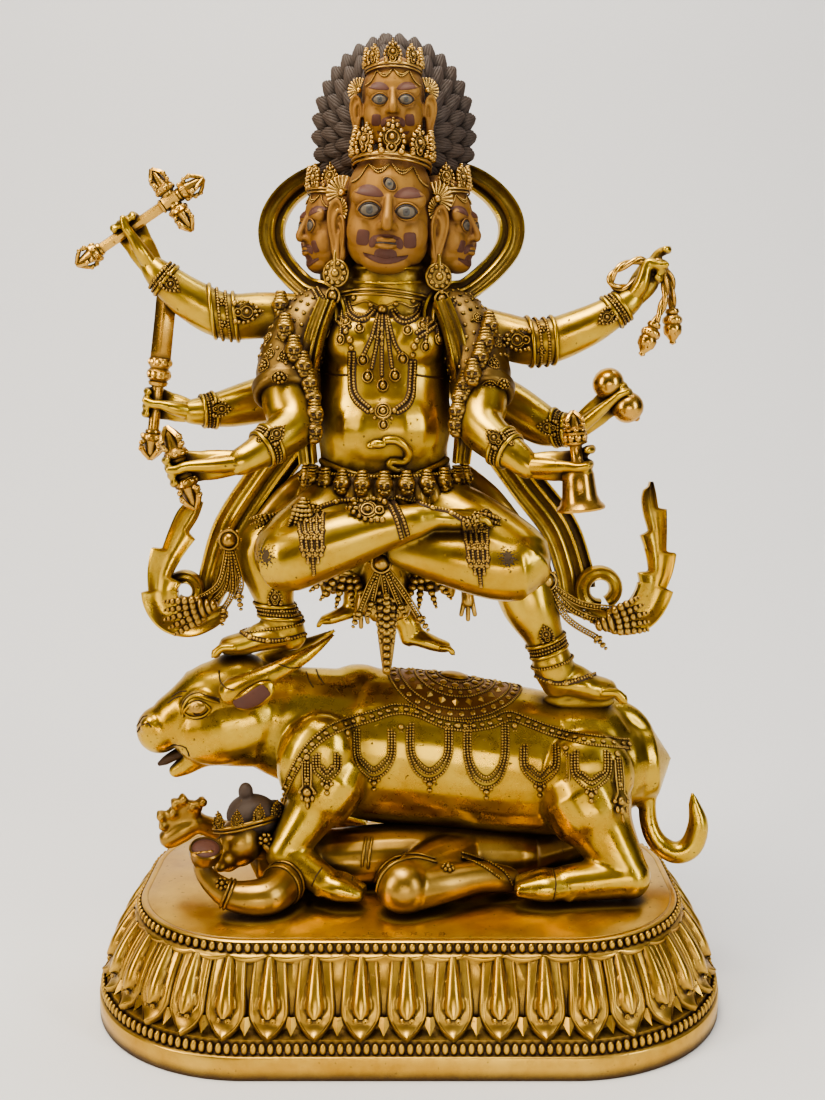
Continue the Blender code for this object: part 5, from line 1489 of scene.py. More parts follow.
class Head:
    """One head in its own measure: 60 units from chin to crown, its face along -Y before it is turned."""

    def __init__(self, name, centre, height, yaw, roll=0.0):
        self.name = name
        self.yaw = yaw
        self.roll = roll
        self.unit = height / 60
        self.matrix = (Matrix.Translation(centre) @ Matrix.Rotation(yaw * pi / 180, 4, "Z")
                       @ Matrix.Rotation(roll * pi / 180, 4, "Y"))
        self.wax = Wax()

    def at(self, x, y, z):
        return self.matrix @ Vector((x * self.unit, y * self.unit, z * self.unit))

    def lump(self, x, y, z, radii, tilt=0.0):
        self.wax.ball(self.at(x, y, z), tuple(r * self.unit for r in radii), tilt=tilt + self.roll,
                      yaw=self.yaw,
                      rings=16)

    def ridge(self, points, ratio=1.0, sides=10):
        self.wax.limb([(*self.at(*point[:3]), point[3] * self.unit) for point in points], sides=sides,
                      step=1.2,
                      ratio=ratio)

    def model(self):
        """Skull, cheeks, brow, nose, lips and chin, and the long ears."""
        self.lump(0, 5, 12, (25.5, 27.5, 31))
        self.lump(0, -2, -2, (25.0, 22.5, 27))
        self.lump(0, -4, -12, (24.0, 19.5, 18.0))
        self.lump(0, -12.0, -22.5, (15, 10, 8))
        for side in (-1, 1):
            self.lump(side * 11, -10.5, -7, (12.5, 12.2, 13.5))
            self.lump(side * 11, -17.2, 10.5, (10.5, 6.2, 6.5), tilt=-side * 8)
            self.lump(side * 10.8, -18.4, 3.4, (7.0, 5.6, 5.6))
            self.ridge([(side * 3.2, -24.5, -4.2, 2.4), (side * 4.6, -23.4, -5.2, 1.9)])
            rim = [(25.6, -8, -6), (26.0, -8, 2), (27.4, -7.6, 7.5), (30.2, -7, 10), (33.0, -6, 7),
                   (34.2, -5.6, 1),
                   (33.4, -5.6, -6), (31.6, -6, -13), (30.0, -6.4, -20)]
            self.ridge([(side * x, y, z, 1.35) for x, y, z in rim] + [(side * 28.4, -6.6, -25, 2.2)])
            self.ridge([(side * 28.6, -7.2, 4.5, 1.0), (side * 30.8, -6.4, -1, 1.2),
                        (side * 30.0, -6.4, -8, 1.2),
                        (side * 28.0, -6.8, -14, 1.0)])
            self.ridge([(side * 27.0, -6.4, -8, 1.8), (side * 28.0, -6.2, -16, 2.0),
                        (side * 28.4, -6.4, -24, 2.6)])
            self.lump(side * 29.8, -4.4, 0, (5.0, 2.6, 11))
            self.lump(side * 29.0, -4.8, -13, (3.8, 2.4, 10))
        self.ridge([(0, -21.5, 11, 2.6), (0, -24.5, 5, 2.7), (0, -27.8, -2.0, 3.5),
                    (0, -27.4, -4.4, 3.4)])
        self.ridge([(-6.5, -22.2, -12.6, 1.1), (-3.4, -24.4, -11.8, 1.6), (0, -25.0, -12.3, 1.6),
                    (3.4, -24.4, -11.8, 1.6), (6.5, -22.2, -12.6, 1.1)])
        self.ridge([(-6.2, -22.2, -14.2, 1.1), (-3, -24.2, -15.4, 1.7), (0, -24.8, -15.6, 1.8),
                    (3, -24.2, -15.4, 1.7), (6.2, -22.2, -14.2, 1.1)])
        casting = self.wax.cast(self.name, face_gold, 0.70 if self.unit > 0.9 else 0.62, soften=3)
        self.skin = Skin(casting)
        return dressed(casting, "gilt_bronze")

    def on_face(self, x, z, lift=0.0):
        """The face's surface in front of a point of the head's own measure."""
        start = self.at(x, -60, z)
        hit = self.skin.along(start, self.at(x, 0, z) - start, lift)
        return hit[0] if hit else self.at(x, -20, z)

    def patch(self, bm, outline, lift=0.16):
        """A painted field, an outline round (x, z) points filled from its middle and laid on the face."""
        middle = (sum(p[0] for p in outline) / len(outline), sum(p[1] for p in outline) / len(outline))
        rings = [[bm.verts.new(self.on_face(middle[0] + (x - middle[0]) * share,
                                            middle[1] + (z - middle[1]) * share, lift * rise))
                  for x, z in outline] for share,
                  rise in ((1.04, -1.0), (0.97, 1.0), (0.75, 1.0), (0.5, 1.0), (0.25, 1.0))]
        hub = bm.verts.new(self.on_face(*middle, lift))
        count = len(outline)
        for ring, following in zip(rings, rings[1:]):
            for k in range(count):
                n = (k + 1) % count
                bm.faces.new((ring[k], ring[n], following[n], following[k]))
        for k in range(count):
            bm.faces.new((rings[-1][k], rings[-1][(k + 1) % count], hub))

    def paint(self, third_eye):
        """Brows, moustache, whiskers, chin and jaw in red-brown; grey eyes in almond lids."""
        red, white, grey, dark = bmesh.new(), bmesh.new(), bmesh.new(), bmesh.new()
        lids = bmesh.new()
        for side in (-1, 1):
            self.patch(red, [(side * (11.4 + 8.6 * t), 13.0 + 5.4 * (1 - t * t) ** 0.7 + 0.8 * t)
                             for t in (k / 8 for k in range(-8, 9))]
                       + [(side * (11.4 + 8.6 * t), 13.0 - 1.6 * (1 - t * t) ** 0.7 + 0.8 * t)
                          for t in (k / 8 for k in range(7, -8, -1))])
            self.patch(red, squared(side * 13.4, -11.2, 3.7, 4.4, side * 0.10))
        for end in (-1, 1):
            self.patch(red, blob(end * 7.6, -13.4, 2.2, 3.3, end * 0.3))
        self.patch(red, [(x, -8.8 - 0.02 * x * x) for x in (-7.6, -4, 0, 4, 7.6)]
                   + [(x, -10.9 - 0.02 * x * x) for x in (7.6, 4, 0, -4, -7.6)])
        self.patch(red, squared(0, -20.6, 6.4, 3.6, 0))
        self.patch(red, [(x, -22.6 + 0.020 * x * x) for x in range(-13, 14, 2)]
                   + [(x, -25.2 + 0.028 * x * x) for x in range(12, -13, -3)], 0.3)
        for side in (-1, 1):
            centre = self.on_face(side * 10.4, 4.0)
            facing = (self.at(side * 10.4 * 1.12, -60, 4.0) - self.at(side * 10.4, 0, 4.0)).normalized()
            turn = frame_at(centre - facing * 0.9 * self.unit, facing)
            size = self.unit
            dome(white, turn, (5.4 * size, 3.7 * size, 2.3 * size), sides=22, rings=14)
            dome(grey, turn, (2.5 * size, 2.5 * size, 0.9 * size), (0, 0, 1.62 * size), sides=18,
                 rings=10)
            dome(dark, turn, (0.95 * size, 0.95 * size, 0.5 * size), (0, 0, 2.2 * size), sides=12,
                 rings=6)
            for start, end, wide, high, thick, bm in (
                    (0.0, 0.5, 6.0, 3.6, 0.42, dark), (0.5, 1.0, 5.8, 3.4, 0.26, dark),
                    (-0.02, 0.52, 6.9, 4.9, 0.62, lids), (0.55, 0.95, 6.4, 4.4, 0.50, lids)):
                ring = [turn @ Vector((wide * size * cos(a),
                                       high * size * sin(a) * (1 - 0.30 * abs(cos(a)) ** 3),
                                       (1.15 - 0.75 * cos(a) ** 2 - (0.5 if bm is lids else 0)) * size))
                        for a in (tau * (start + (end - start) * k / 20) for k in range(21))]
                tube(bm, [(*p, thick * size) for p in ring], sides=6, step=9)
        if third_eye:
            centre = self.on_face(0, 19.0)
            facing = (self.at(0, -60, 27) - self.at(0, 0, 19.0)).normalized()
            turn = frame_at(centre, facing)
            dome(white, turn, (2.5, 3.4, 0.7), sides=14, rings=8)
            dome(grey, turn, (1.5, 1.5, 0.5), (0, 0, 0.4), sides=14, rings=8)
            dome(dark, turn, (0.6, 0.6, 0.4), (0, 0, 0.7), sides=10, rings=6)
            hoop(dark, centre + facing * 0.2, facing, 2.9, 0.30, turns=20, lean=(0.88, 1.30))
            hoop(lids, centre, facing, 3.5, 0.42, turns=20, lean=(0.88, 1.36))
        # The dark line between the lips is painted shade in the slightly open mouth.
        slit = [self.on_face(x, -13.7 - 0.01 * x * x, 0.15) for x in (-5.5, -3, 0, 3, 5.5)]
        tube(dark, [(*point, 0.42 * self.unit) for point in slit], sides=6)
        for bm, label, finish in ((lids, "eyelids", face_gold), (red, "red_paint", red_paint),
                                  (white, "eyeballs", eye_gold), (grey, "irises", eye_grey),
                                  (dark, "eye_lines", eye_dark)):
            bmesh.ops.recalc_face_normals(bm, faces=bm.faces)
            dressed(object_from(f"{self.name}_{label}", bm, finish), "painted_hair")

    def crown(self, leaves, leaf, width, spread, height, radius=22.5):
        """A fillet with pearl festoons below it and upright leaves on it, and a fan flower at each
        ear."""
        bm = bmesh.new()
        size = self.unit
        band = [self.at(radius * sin(a), -radius * 1.02 * cos(a) + 3, height - 3.0 * (1 - cos(a)))
                for a in (pi * (-0.62 + 1.24 * k / 28) for k in range(29))]
        tube(bm, [(*point, 1.25 * size) for point in band], sides=8)
        tube(bm, [(point.x, point.y, point.z - 2.6 * size, 0.8 * size) for point in band], sides=6)
        for k in range(leaves):
            angle = (k - (leaves - 1) / 2) * spread * pi / 180
            root = self.at((radius + 0.5) * sin(angle), -(radius + 0.5) * cos(angle) + 3, height)
            facing = self.at(sin(angle), -cos(angle), 0.12) - self.at(0, 0, 0)
            lean = self.at(0.25 * sin(angle), -0.25 * cos(angle), 1) - self.at(0, 0, 0)
            share = 1.0 if k == (leaves - 1) / 2 else 0.86
            flame_leaf(bm, root, facing, leaf * share, width * share, up=lean)
        strings = []
        for side in (-1, 1):
            for drop in (3.2, 4.8):
                strings.append([self.on_face(side * (1 + 11.0 * t), height - 6.0 - drop * sin(pi * t),
                                             0.5)
                                for t in (k / 12 for k in range(13))])
            strings.append([self.on_face(side * (13 + 8.5 * t), height - 6.5 - 9 * t - 2.5 * sin(pi * t),
                                         0.5)
                            for t in (k / 12 for k in range(13))])
            ear = self.at(side * 27.5, -7.5, 14)
            fan = self.at(side * 0.35, -1, 0) - self.at(0, 0, 0)
            matrix = frame_at(ear, fan)
            dome(bm, matrix, (2.2 * size, 2.2 * size, 2.4 * size), sides=10)
            for j in range(11):
                a = side * (-0.95 + 0.29 * j) + (0 if side > 0 else pi)
                tube(bm, [(*(matrix @ Vector((2.6 * size * cos(a), 2.6 * size * sin(a), -0.3 * size))),
                           0.45 * size),
                          (*(matrix @ Vector((9.2 * size * cos(a), 9.2 * size * sin(a), -0.3 * size))),
                           1.05 * size)],
                     sides=7, across=tuple(fan), ratio=0.7)
        strung(f"{self.name}_crown_pearls", strings, 0.55 * max(size, 0.8), crown_gilt, "gilt_bronze")
        dressed(object_from(f"{self.name}_crown", bm, crown_gilt), "gilt_bronze")


def squared(x, z, half_width, half_height, turn):
    """An outline between an oval and a rectangle, as a block of painted whiskers has."""
    corners = blob(0, 0, 1, 1, 0)
    soft = [(abs(a) ** 0.5 * (1 if a > 0 else -1) * half_width,
             abs(b) ** 0.5 * (1 if b > 0 else -1) * half_height)
            for a, b in corners]
    return [(x + a * cos(turn) - b * sin(turn), z + a * sin(turn) + b * cos(turn)) for a, b in soft]


def blob(x, z, half_width, half_height, turn, count=16):
    """An oval outline of (x, z) points."""
    return [(x + half_width * cos(a) * cos(turn) - half_height * sin(a) * sin(turn),
             z + half_width * cos(a) * sin(turn) + half_height * sin(a) * cos(turn))
            for a in (tau * k / count for k in range(count))]


HAIR_MIDDLE = (-9.0, 527.0)


def lock_of_hair(bm, angle, reach, depth, size, bend):
    """A combed lock of close strands that sweeps out and up and ends in one curled point."""
    across, up = HAIR_MIDDLE
    out = Vector((cos(angle), 0, sin(angle) * 1.14))
    side = Vector((-out.z, 0, out.x)).normalized()
    front = -1 if depth < 28 else 1
    for k in range(7):
        spread = (k - 3) / 3
        points = []
        for t, girth in ((0.0, 0.24), (0.35, 0.27), (0.65, 0.27), (0.88, 0.24), (1.0, 0.15)):
            sweep = side * (spread * size * 0.92 * (1 - 0.55 * t ** 3) + bend * size * 1.1 * t * t)
            t = t * (1 - 0.16 * spread * spread)
            rise = front * (size * 0.45 * sin(pi * min(t, 0.95)) * (1 - 0.35 * abs(spread)) - size * 0.30
                            * t)
            place = Vector((across, depth + rise, up)) + out * (reach - size * 2.6 * (1 - t)) + sweep
            points.append((*place, size * girth))
        tube(bm, points, sides=6, step=3.6)


def hair():
    """The mass behind the heads, then rows of locks out to the scalloped edge, front and back alike."""
    wax = Wax()
    wax.ball((HAIR_MIDDLE[0], 28, HAIR_MIDDLE[1]), (43, 17, 48), rings=20)
    for k in range(7):
        wax.limb([(HAIR_MIDDLE[0] - 24 + 8 * k, 44, 500, 5.5),
                  (HAIR_MIDDLE[0] - 21 + 7 * k, 38, 478, 5.5),
                  (HAIR_MIDDLE[0] - 17 + 5.5 * k, 28, 456, 4.5)], sides=10)
    casting = dressed(wax.cast("upswept_hair", painted_hair, 1.2, soften=2), "painted_hair")
    rows = [(48.5, 27, 22, 6.0), (42.0, 24, 16.5, 6.0), (34.5, 20, 13, 5.8), (27, 16, 11.5, 5.6),
            (20, 12, 11, 5.4)]
    bm = bmesh.new()
    for row, (reach, count, depth, size) in enumerate(rows):
        for k in range(count):
            angle = pi * (-0.30 + 1.60 * (k + 0.5 * (row % 2)) / (count - 1))
            bend = 0.9 if cos(angle) > 0 else -0.9
            lock_of_hair(bm, angle, reach, depth, size, bend)
            lock_of_hair(bm, angle, reach, 56 - depth, size, bend)
    bmesh.ops.recalc_face_normals(bm, faces=bm.faces)
    dressed(object_from("hair_locks", bm, painted_hair), "painted_hair")
    return casting


hair()
main_head = Head("main_head", (-12, -8, 471), 60, 0, 3.5)
left_head = Head("left_head", (-44, 8, 466), 47, -66)
right_head = Head("right_head", (20, 8, 466), 47, 66)
top_head = Head("top_head", (-9, 0, 535), 43, 0)
for head, leaves, leaf, width, spread, height, third_eye in (
        (main_head, 5, 19.0, 13.5, 42, 36.0, True), (left_head, 4, 15.5, 10.0, 36, 32.0, False),
        (right_head, 4, 15.5, 10.0, 36, 32.0, False), (top_head, 5, 12.5, 9.0, 42, 33.0, False)):
    head.model()
    head.paint(third_eye)
    head.crown(leaves, leaf, width, spread, height)


# The scarf: a long flat band cast with raised folds. It makes a loop beside the heads, lies over the
# shoulders, falls down both sides, and ends in a rolled curl and a tall tip folded into points.

scarf_gilt = gilding("Scarf gilding", metal=(0.68, 0.47, 0.085), deep=(0.46, 0.26, 0.03), amount=1.15,
                     polish=0.20,
                     reach=7.0)
SCARF_FOLDS = [(-1.0, 0.2), (-0.90, 1.3), (-0.72, 1.3), (-0.60, 0.2), (-0.34, 0.0), (-0.22, 1.0),
               (-0.02, 1.2),
               (0.10, 0.2), (0.42, 0.0), (0.70, 0.3), (0.80, 1.4), (0.94, 1.4), (1.0, 0.3)]


def ribbon(bm, points, folds, thickness, out=(0, -1, 0), step=2.0, edges=None, relief=1.0):
    """A band along (x, y, z, half width) points; folds are (across, height) pairs on its outer face.
    Edges may give how far each side reaches at a share of the way, as shares of the half width."""
    path = smooth_path(points, step)
    places = [Vector(p[:3]) for p in path]
    rings = []
    for i, point in enumerate(path):
        t = i / (len(path) - 1)
        ahead = (places[min(i + 1, len(path) - 1)] - places[max(i - 1, 0)]).normalized()
        side = ahead.cross(Vector(out)).normalized()
        face = side.cross(ahead).normalized()
        left, right = edges(t) if edges else (1.0, 1.0)
        front, back = [], []
        for across, height in folds:
            reach = across * point[3] * (left if across < 0 else right)
            spot = places[i] + side * reach
            front.append(bm.verts.new(spot + face * height * relief))
            back.append(bm.verts.new(spot - face * (thickness + 0.15 * abs(across))))
        rings.append(front + list(reversed(back)))
    count = len(rings[0])
    for ring, following in zip(rings, rings[1:]):
        for k in range(count):
            n = (k + 1) % count
            bm.faces.new((ring[k], ring[n], following[n], following[k]))
    bm.faces.new(list(reversed(rings[0])))
    bm.faces.new(rings[-1])


def scarf_loops():
    bm = bmesh.new()
    for mirror in (-1, 1):
        left = [(-44, -20, 400, 7), (-43, -16, 420, 7), (-50, -6, 430, 7), (-62, 4, 435, 7),
                (-75, 12, 448, 7.5),
                (-82, 16, 462, 8), (-81, 20, 477, 8), (-72, 25, 491, 7.5), (-57, 29, 501, 7),
                (-40, 33, 507, 5)]
        right = [(16, -20, 400, 7), (15, -16, 420, 7), (22, -6, 430, 7), (34, 4, 433, 7),
                 (50, 12, 446, 7.5),
                 (60, 16, 460, 8), (61, 20, 475, 8), (53, 25, 489, 7.5), (39, 29, 500, 7),
                 (22, 33, 507, 5)]
        ribbon(bm, left if mirror < 0 else right, SCARF_FOLDS if mirror > 0 else flipped(SCARF_FOLDS),
               1.8,
               out=(0, -1, 0.05), relief=2.7)
    for side in (-1, 1):
        ribbon(bm, [(BODY_MIDDLE + side * 33, -20, 426, 5), (BODY_MIDDLE + side * 40, -27, 406, 5.5),
                    (BODY_MIDDLE + side * 45, -27, 382, 5.5), (BODY_MIDDLE + side * 47, -26, 358, 5.5),
                    (BODY_MIDDLE + side * 45, -24, 332, 5)], SCARF_FOLDS, 3.0, out=(side * 0.35, -1, 0),
                    relief=1.7)
    bmesh.ops.recalc_face_normals(bm, faces=bm.faces)
    return object_from("scarf_loops", bm, scarf_gilt, sharp=60)


def flipped(folds):
    return [(-across, height) for across, height in reversed(folds)]


def stepped(steps, shift):
    """How far an edge reaches, growing to a point and starting again at each step of a folded end."""
    def reach(t):
        part = (t * steps + shift) % 1
        return 0.50 + 0.62 * part ** 1.3 if part < 0.94 else 0.50 + 0.62 * (1 - part) / 0.06
    return reach


def scarf_falls():
    """The falls beside the legs, as two overlapping bands on each side."""
    bm = bmesh.new()
    for fall in (
        [(-56, 24, 376, 9), (-70, 22, 348, 10), (-92, 16, 318, 10.5), (-110, 10, 290, 10.5),
         (-119, 6, 264, 9.5),
         (-123, 3, 248, 8.5), (-130, 0, 238, 7)],
        [(32, 24, 376, 8), (47, 22, 348, 9), (69, 16, 316, 9), (89, 10, 290, 9), (98, 5, 266, 9),
         (101, 2, 250, 8.5),
         (107, 0, 240, 7)],
    ):
        ribbon(bm, fall, SCARF_FOLDS, 2.4, out=(0, -1, 0), relief=2.3)
        behind = [(x + (7 if x > 0 else 9), y + 5, z + 2, half * 0.85) for x, y, z, half in fall[:-1]]
        ribbon(bm, behind, flipped(SCARF_FOLDS), 1.8, out=(0, -1, 0), relief=2.3)
    bmesh.ops.recalc_face_normals(bm, faces=bm.faces)
    return object_from("scarf_falls", bm, scarf_gilt, sharp=60)


def scarf_ends():
    """The rolled curls and the folded tips; both lie in a plane across the view."""
    bm = bmesh.new()
    curl_folds = [(-1.0, 0.0), (-0.8, 1.2), (-0.5, 0.6), (0.0, 1.4), (0.5, 0.6), (0.8, 1.2), (1.0, 0.0)]
    for centre, radius, start, way, wide in (((-137, -1, 252), 9.2, 0.55, -1, 7),
                                             ((117, -1, 253), 11.5, 0.75, -1, 8)):
        turns = []
        for k in range(17):
            a = tau * (start + way * 0.92 * k / 16)
            spiral = radius * (1.0 - 0.22 * k / 16)
            turns.append((centre[0] + spiral * cos(a), centre[1] - 0.35 * k * 0.4,
                          centre[2] + spiral * sin(a),
                          wide * (1 - 0.25 * k / 16)))
        for k, (x, y, z, half) in enumerate(turns):
            turns[k] = (x, y, z, half * 0.62)
        ribbon(bm, turns, curl_folds, 5.0, out=(0, -1, 0), step=1.6, relief=1.6)
    tip_folds = [(-1.0, 2.4), (-0.86, 3.0), (-0.70, 2.2), (-0.45, 0.4), (-0.1, -0.4), (0.25, -0.4),
                 (0.55, 0.4),
                 (0.78, 2.0), (0.90, 2.6), (1.0, 2.2)]
    for line, steps in (
        ([(-112, -3, 240, 4), (-122, -4, 235, 6.5), (-134, -5, 233, 9), (-145, -6, 238, 11),
          (-151, -6, 249, 11.5),
          (-150, -5, 262, 11.5), (-145, -4, 276, 10.5), (-139, -3, 288, 9.5), (-133, -2, 298, 8),
          (-127, -1, 308, 3.5)],
         3.6),
        ([(108, -3, 241, 4), (118, -4, 236, 6.5), (130, -4, 234, 9), (141, -5, 239, 11),
          (148, -5, 250, 11.5),
          (151, -4, 263, 11.5), (151, -3, 277, 10), (149.5, -2, 289, 9), (147.5, -1, 300, 8),
          (146, -1, 310, 5.5),
          (146, 0, 319, 1.5)], 4.6),
    ):
        low_share = 0.46
        left, right = stepped(steps, 0.55), stepped(steps, 0.05)

        def edges(t, left=left, right=right):
            if t < low_share:
                return 0.95, 0.95
            return left(t), right(t)
        ribbon(bm, line, tip_folds, 1.8, out=(0, -1, 0), step=0.9, edges=edges, relief=1.3)
    bmesh.ops.recalc_face_normals(bm, faces=bm.faces)
    return object_from("scarf_ends", bm, scarf_gilt, sharp=55)


dressed(scarf_loops(), "gilt_bronze")
dressed(scarf_falls(), "gilt_bronze")
dressed(scarf_ends(), "gilt_bronze")


# The dress: short sleeves with rolled hems, the sash and hides tied round the hips, and the things that
# hang from the belt: a fan of pearl strings, fringed paws, a pendant of stacked beads and swinging
# tassels.

cloth_gilt = gilding("Dress gilding", metal=(0.55, 0.36, 0.09), deep=(0.30, 0.16, 0.03), amount=1.25,
                     polish=0.26,
                     reach=5.5)
sleeve_gilt = gilding("Sleeve gilding", metal=(0.34, 0.215, 0.065), deep=(0.15, 0.085, 0.025), amount=1.3,
                      polish=0.34,
                      reach=5.0)


ROSETTES_SEEN = [(279.5, 378, 4.6), (285, 356, 3.4), (283, 335, 3.4), (263.5, 366, 4.4), (272, 392, 3.2),
                 (271, 318, 3.2), (268, 338, 3.2), (489.5, 386, 4.4), (494, 364, 3.6), (497, 342, 3.4),
                 (504, 384, 4.0), (270, 354, 3.0), (508, 356, 3.2), (500, 322, 3.2), (478, 318, 3.0)]


SLEEVE_LINES = []


def sleeves():
    """Cloth over the shoulders and upper arms, with a thick doubled hem above each elbow."""
    wax = Wax()
    for line, hem, way in (
        ([(-44, 0, 424, 13), (-58, -3, 414, 17.5), (-68, -11, 397, 18.2), (-72, -19, 381, 17.8)],
         (-72.5, -22, 375.5), (0.06, -0.62, -0.78)),
        ([(14, 0, 424, 13), (29, -3, 414, 17.5), (38, -11, 397, 18.2), (42.5, -19, 381, 17.8)],
         (43, -22, 375.5), (-0.02, -0.62, -0.78)),
        ([(-42, 18, 404, 15), (-58, 25, 388, 16.5), (-70, 27, 376, 16.6)], (-75, 26, 372.5),
         (-0.9, -0.2, -0.35)),
        ([(14, 18, 404, 15), (32, 25, 388, 16.5), (44, 27, 376, 16.6)], (49, 26, 371),
         (0.9, -0.2, -0.40)),
    ):
        SLEEVE_LINES.append(line)
        wax.limb(line, sides=24)
        for slide, radius in ((0.0, 16.6), (3.8, 16.0)):
            centre = Vector(hem) + Vector(way) * slide
            hoop(wax.bm, centre, way, radius, 2.7, sides=10, turns=36)
    return wax.cast("sleeves", sleeve_gilt, 1.3, soften=2)


def sleeve_seeds(skin):
    """Rows of seed bosses all over the brocade of the sleeves."""
    bm = bmesh.new()
    for line in SLEEVE_LINES:
        spots = [Vector(point[:3]) for point in line]
        axis = (spots[-1] - spots[0]).normalized()
        across = axis.cross(Vector((0, 1, 0))).normalized()
        front = axis.cross(across)
        for row in range(9):
            share = (row + 0.5) / 9 * (len(spots) - 1)
            first = min(int(share), len(spots) - 2)
            centre = spots[first].lerp(spots[first + 1], share - first)
            for k in range(22):
                turn = tau * (k + 0.5 * (row % 2)) / 22
                hit = skin.inwards(centre, across * cos(turn) + front * sin(turn), 21, 0.1)
                if hit and (hit[0] - centre).length < 20:
                    dome(bm, frame_at(*hit), (1.25, 1.25, 0.95), sides=7, rings=4)
    return object_from("sleeve_seeds", bm, jewel_gilt)


def sleeve_rosettes(skin):
    """Round flowers with seed pearls round them, down the sleeves and on the shoulders."""
    bm = bmesh.new()
    lines = []
    for across, down, radius in ROSETTES_SEEN:
        hit = skin.seen(across, down, 0.3)
        if not hit:
            continue
        rosette(bm, *hit, radius * 0.78)
        matrix = frame_at(*hit)
        ring = [matrix @ Vector((radius * cos(a), radius * sin(a), 0.1))
                for a in (tau * k / 20 for k in range(21))]
        lines.append([skin.nearest(point, 0.35)[0] for point in ring])
    dressed(object_from("sleeve_rosettes", bm, jewel_gilt), "gilt_bronze")
    strung("sleeve_seed_pearls", lines, 0.55, jewel_gilt, "gilt_bronze")


def hip_dress():
    """The cloth and hides bunched round the hips, with deep folds, open under the legs."""
    wax = Wax()
    wax.ball((-14, 8, 300), (47, 27, 22), rings=18)
    wax.ball((-14, 20, 280), (42, 20, 28), rings=18)
    for k in range(15):
        angle = pi * (1.02 + 0.96 * k / 14)
        x, y = BODY_MIDDLE + 44 * cos(angle), 2 + 36 * sin(angle)
        wax.limb([(x, y, 324, 4.0), (x * 1.06 + 1, y * 1.08 - 1, 314, 5.2),
                  (x * 1.16 + 3, y * 1.05, 302, 4.4)],
                 sides=10)
    for k in range(17):
        angle = pi * (0.02 + 0.96 * k / 16)
        x, y = BODY_MIDDLE + 42 * cos(angle), 8 + 26 * sin(angle)
        wax.limb([(x, y, 318, 4.5), (x * 1.03, y * 1.16, 296, 5.2), (x * 0.98, y * 1.22, 270, 4.6),
                  (x * 0.92, y * 1.18, 248 + 5 * (k % 2), 3.2)], sides=10)
    for side in (-1, 1):
        wax.limb([(BODY_MIDDLE + side * 14, -22, 290, 12), (BODY_MIDDLE + side * 26, -24, 270, 12.5),
                  (BODY_MIDDLE + side * 29, -24, 262, 10)], sides=18, ratio=0.6)
    wax.limb([(-15, -22, 286, 13), (-14, -24, 262, 15), (-12, -22, 244, 14)], sides=20, ratio=0.5)
    for side, x0 in ((-1, -58), (1, 32)):
        wax.limb([(x0, 14, 322, 8), (x0 + side * 16, 4, 308, 9), (x0 + side * 30, 0, 294, 7)], sides=14,
                 ratio=0.7)
    return wax.cast("hip_dress", cloth_gilt, 1.2, soften=2)


def fringed_paw(bm, root, way, length, spread, toes=5, out=(0, -1, 0)):
    """The end of a tied hide: rows of square beads that fan out from one ridged pad into pointed toes."""
    way, out = Vector(way).normalized(), Vector(out).normalized()
    side = way.cross(out).normalized()
    root = Vector(root)
    for k in range(toes):
        lean = (k / (toes - 1) - 0.5) * 2
        toe = (way + side * lean * spread).normalized()
        start = root + side * lean * length * 0.24
        for share, size in ((0.16, 0.125), (0.35, 0.120), (0.53, 0.105), (0.69, 0.090), (0.82, 0.065),
                            (0.92, 0.045)):
            spot = start + toe * length * share * (1 - 0.10 * abs(lean)) + out * 1.2
            turn = frame_at(spot, out, toe)
            dome(bm, turn, (length * size, length * size * 0.86, length * size), sides=10, rings=8)
        tube(bm, [(*start, length * 0.10),
                  (*(start + toe * length * 0.86 * (1 - 0.10 * abs(lean))), length * 0.05)],
             sides=8)
    for share, width in ((-0.34, 0.15), (-0.20, 0.21), (-0.04, 0.27)):
        turn = frame_at(root + way * length * share + out * 0.8, out, way)
        dome(bm, turn, (length * width, length * 0.10, length * 0.17), sides=14, rings=8)


def paws():
    """Fringed paws over the hips, under the belt and at the ends of the swinging tassels."""
    bm = bmesh.new()
    for root, way, length, spread in (
        ((-38, -28, 268), (-0.25, -0.1, -1), 23, 0.75), ((10, -28, 268), (0.30, -0.1, -1), 23, 0.75),
        ((-60, -53, 310), (-0.1, -0.2, -1), 14, 0.30), ((-80, -36, 301), (-0.8, -0.2, -0.5), 13, 0.35),
        ((40, -46, 302), (0.85, -0.2, -0.45), 14, 0.30), ((-125, -17, 244), (-1, -0.1, -0.28), 24, 0.24),
        ((122, -17, 236), (1, -0.1, 0.30), 24, 0.24),
    ):
        fringed_paw(bm, root, way, length, spread)
    for x, y, z, lean in ((33, -2, 268, 0.25), (-26, 4, 262, -0.3)):
        tube(bm, [(x, y, z, 3.0), (x + lean * 8, y - 1, z - 12, 3.4),
                  (x + lean * 12, y - 2, z - 22, 4.2)], sides=10)
        for k in range(3):
            tube(bm, [(x + lean * 12 + (k - 1) * 2.4, y - 2, z - 22, 1.7),
                      (x + lean * 12 + (k - 1) * 4.2, y - 3, z - 33 + abs(k - 1) * 3, 1.4)], sides=8)
    bmesh.ops.recalc_face_normals(bm, faces=bm.faces)
    return object_from("fringed_paws", bm, jewel_gilt)


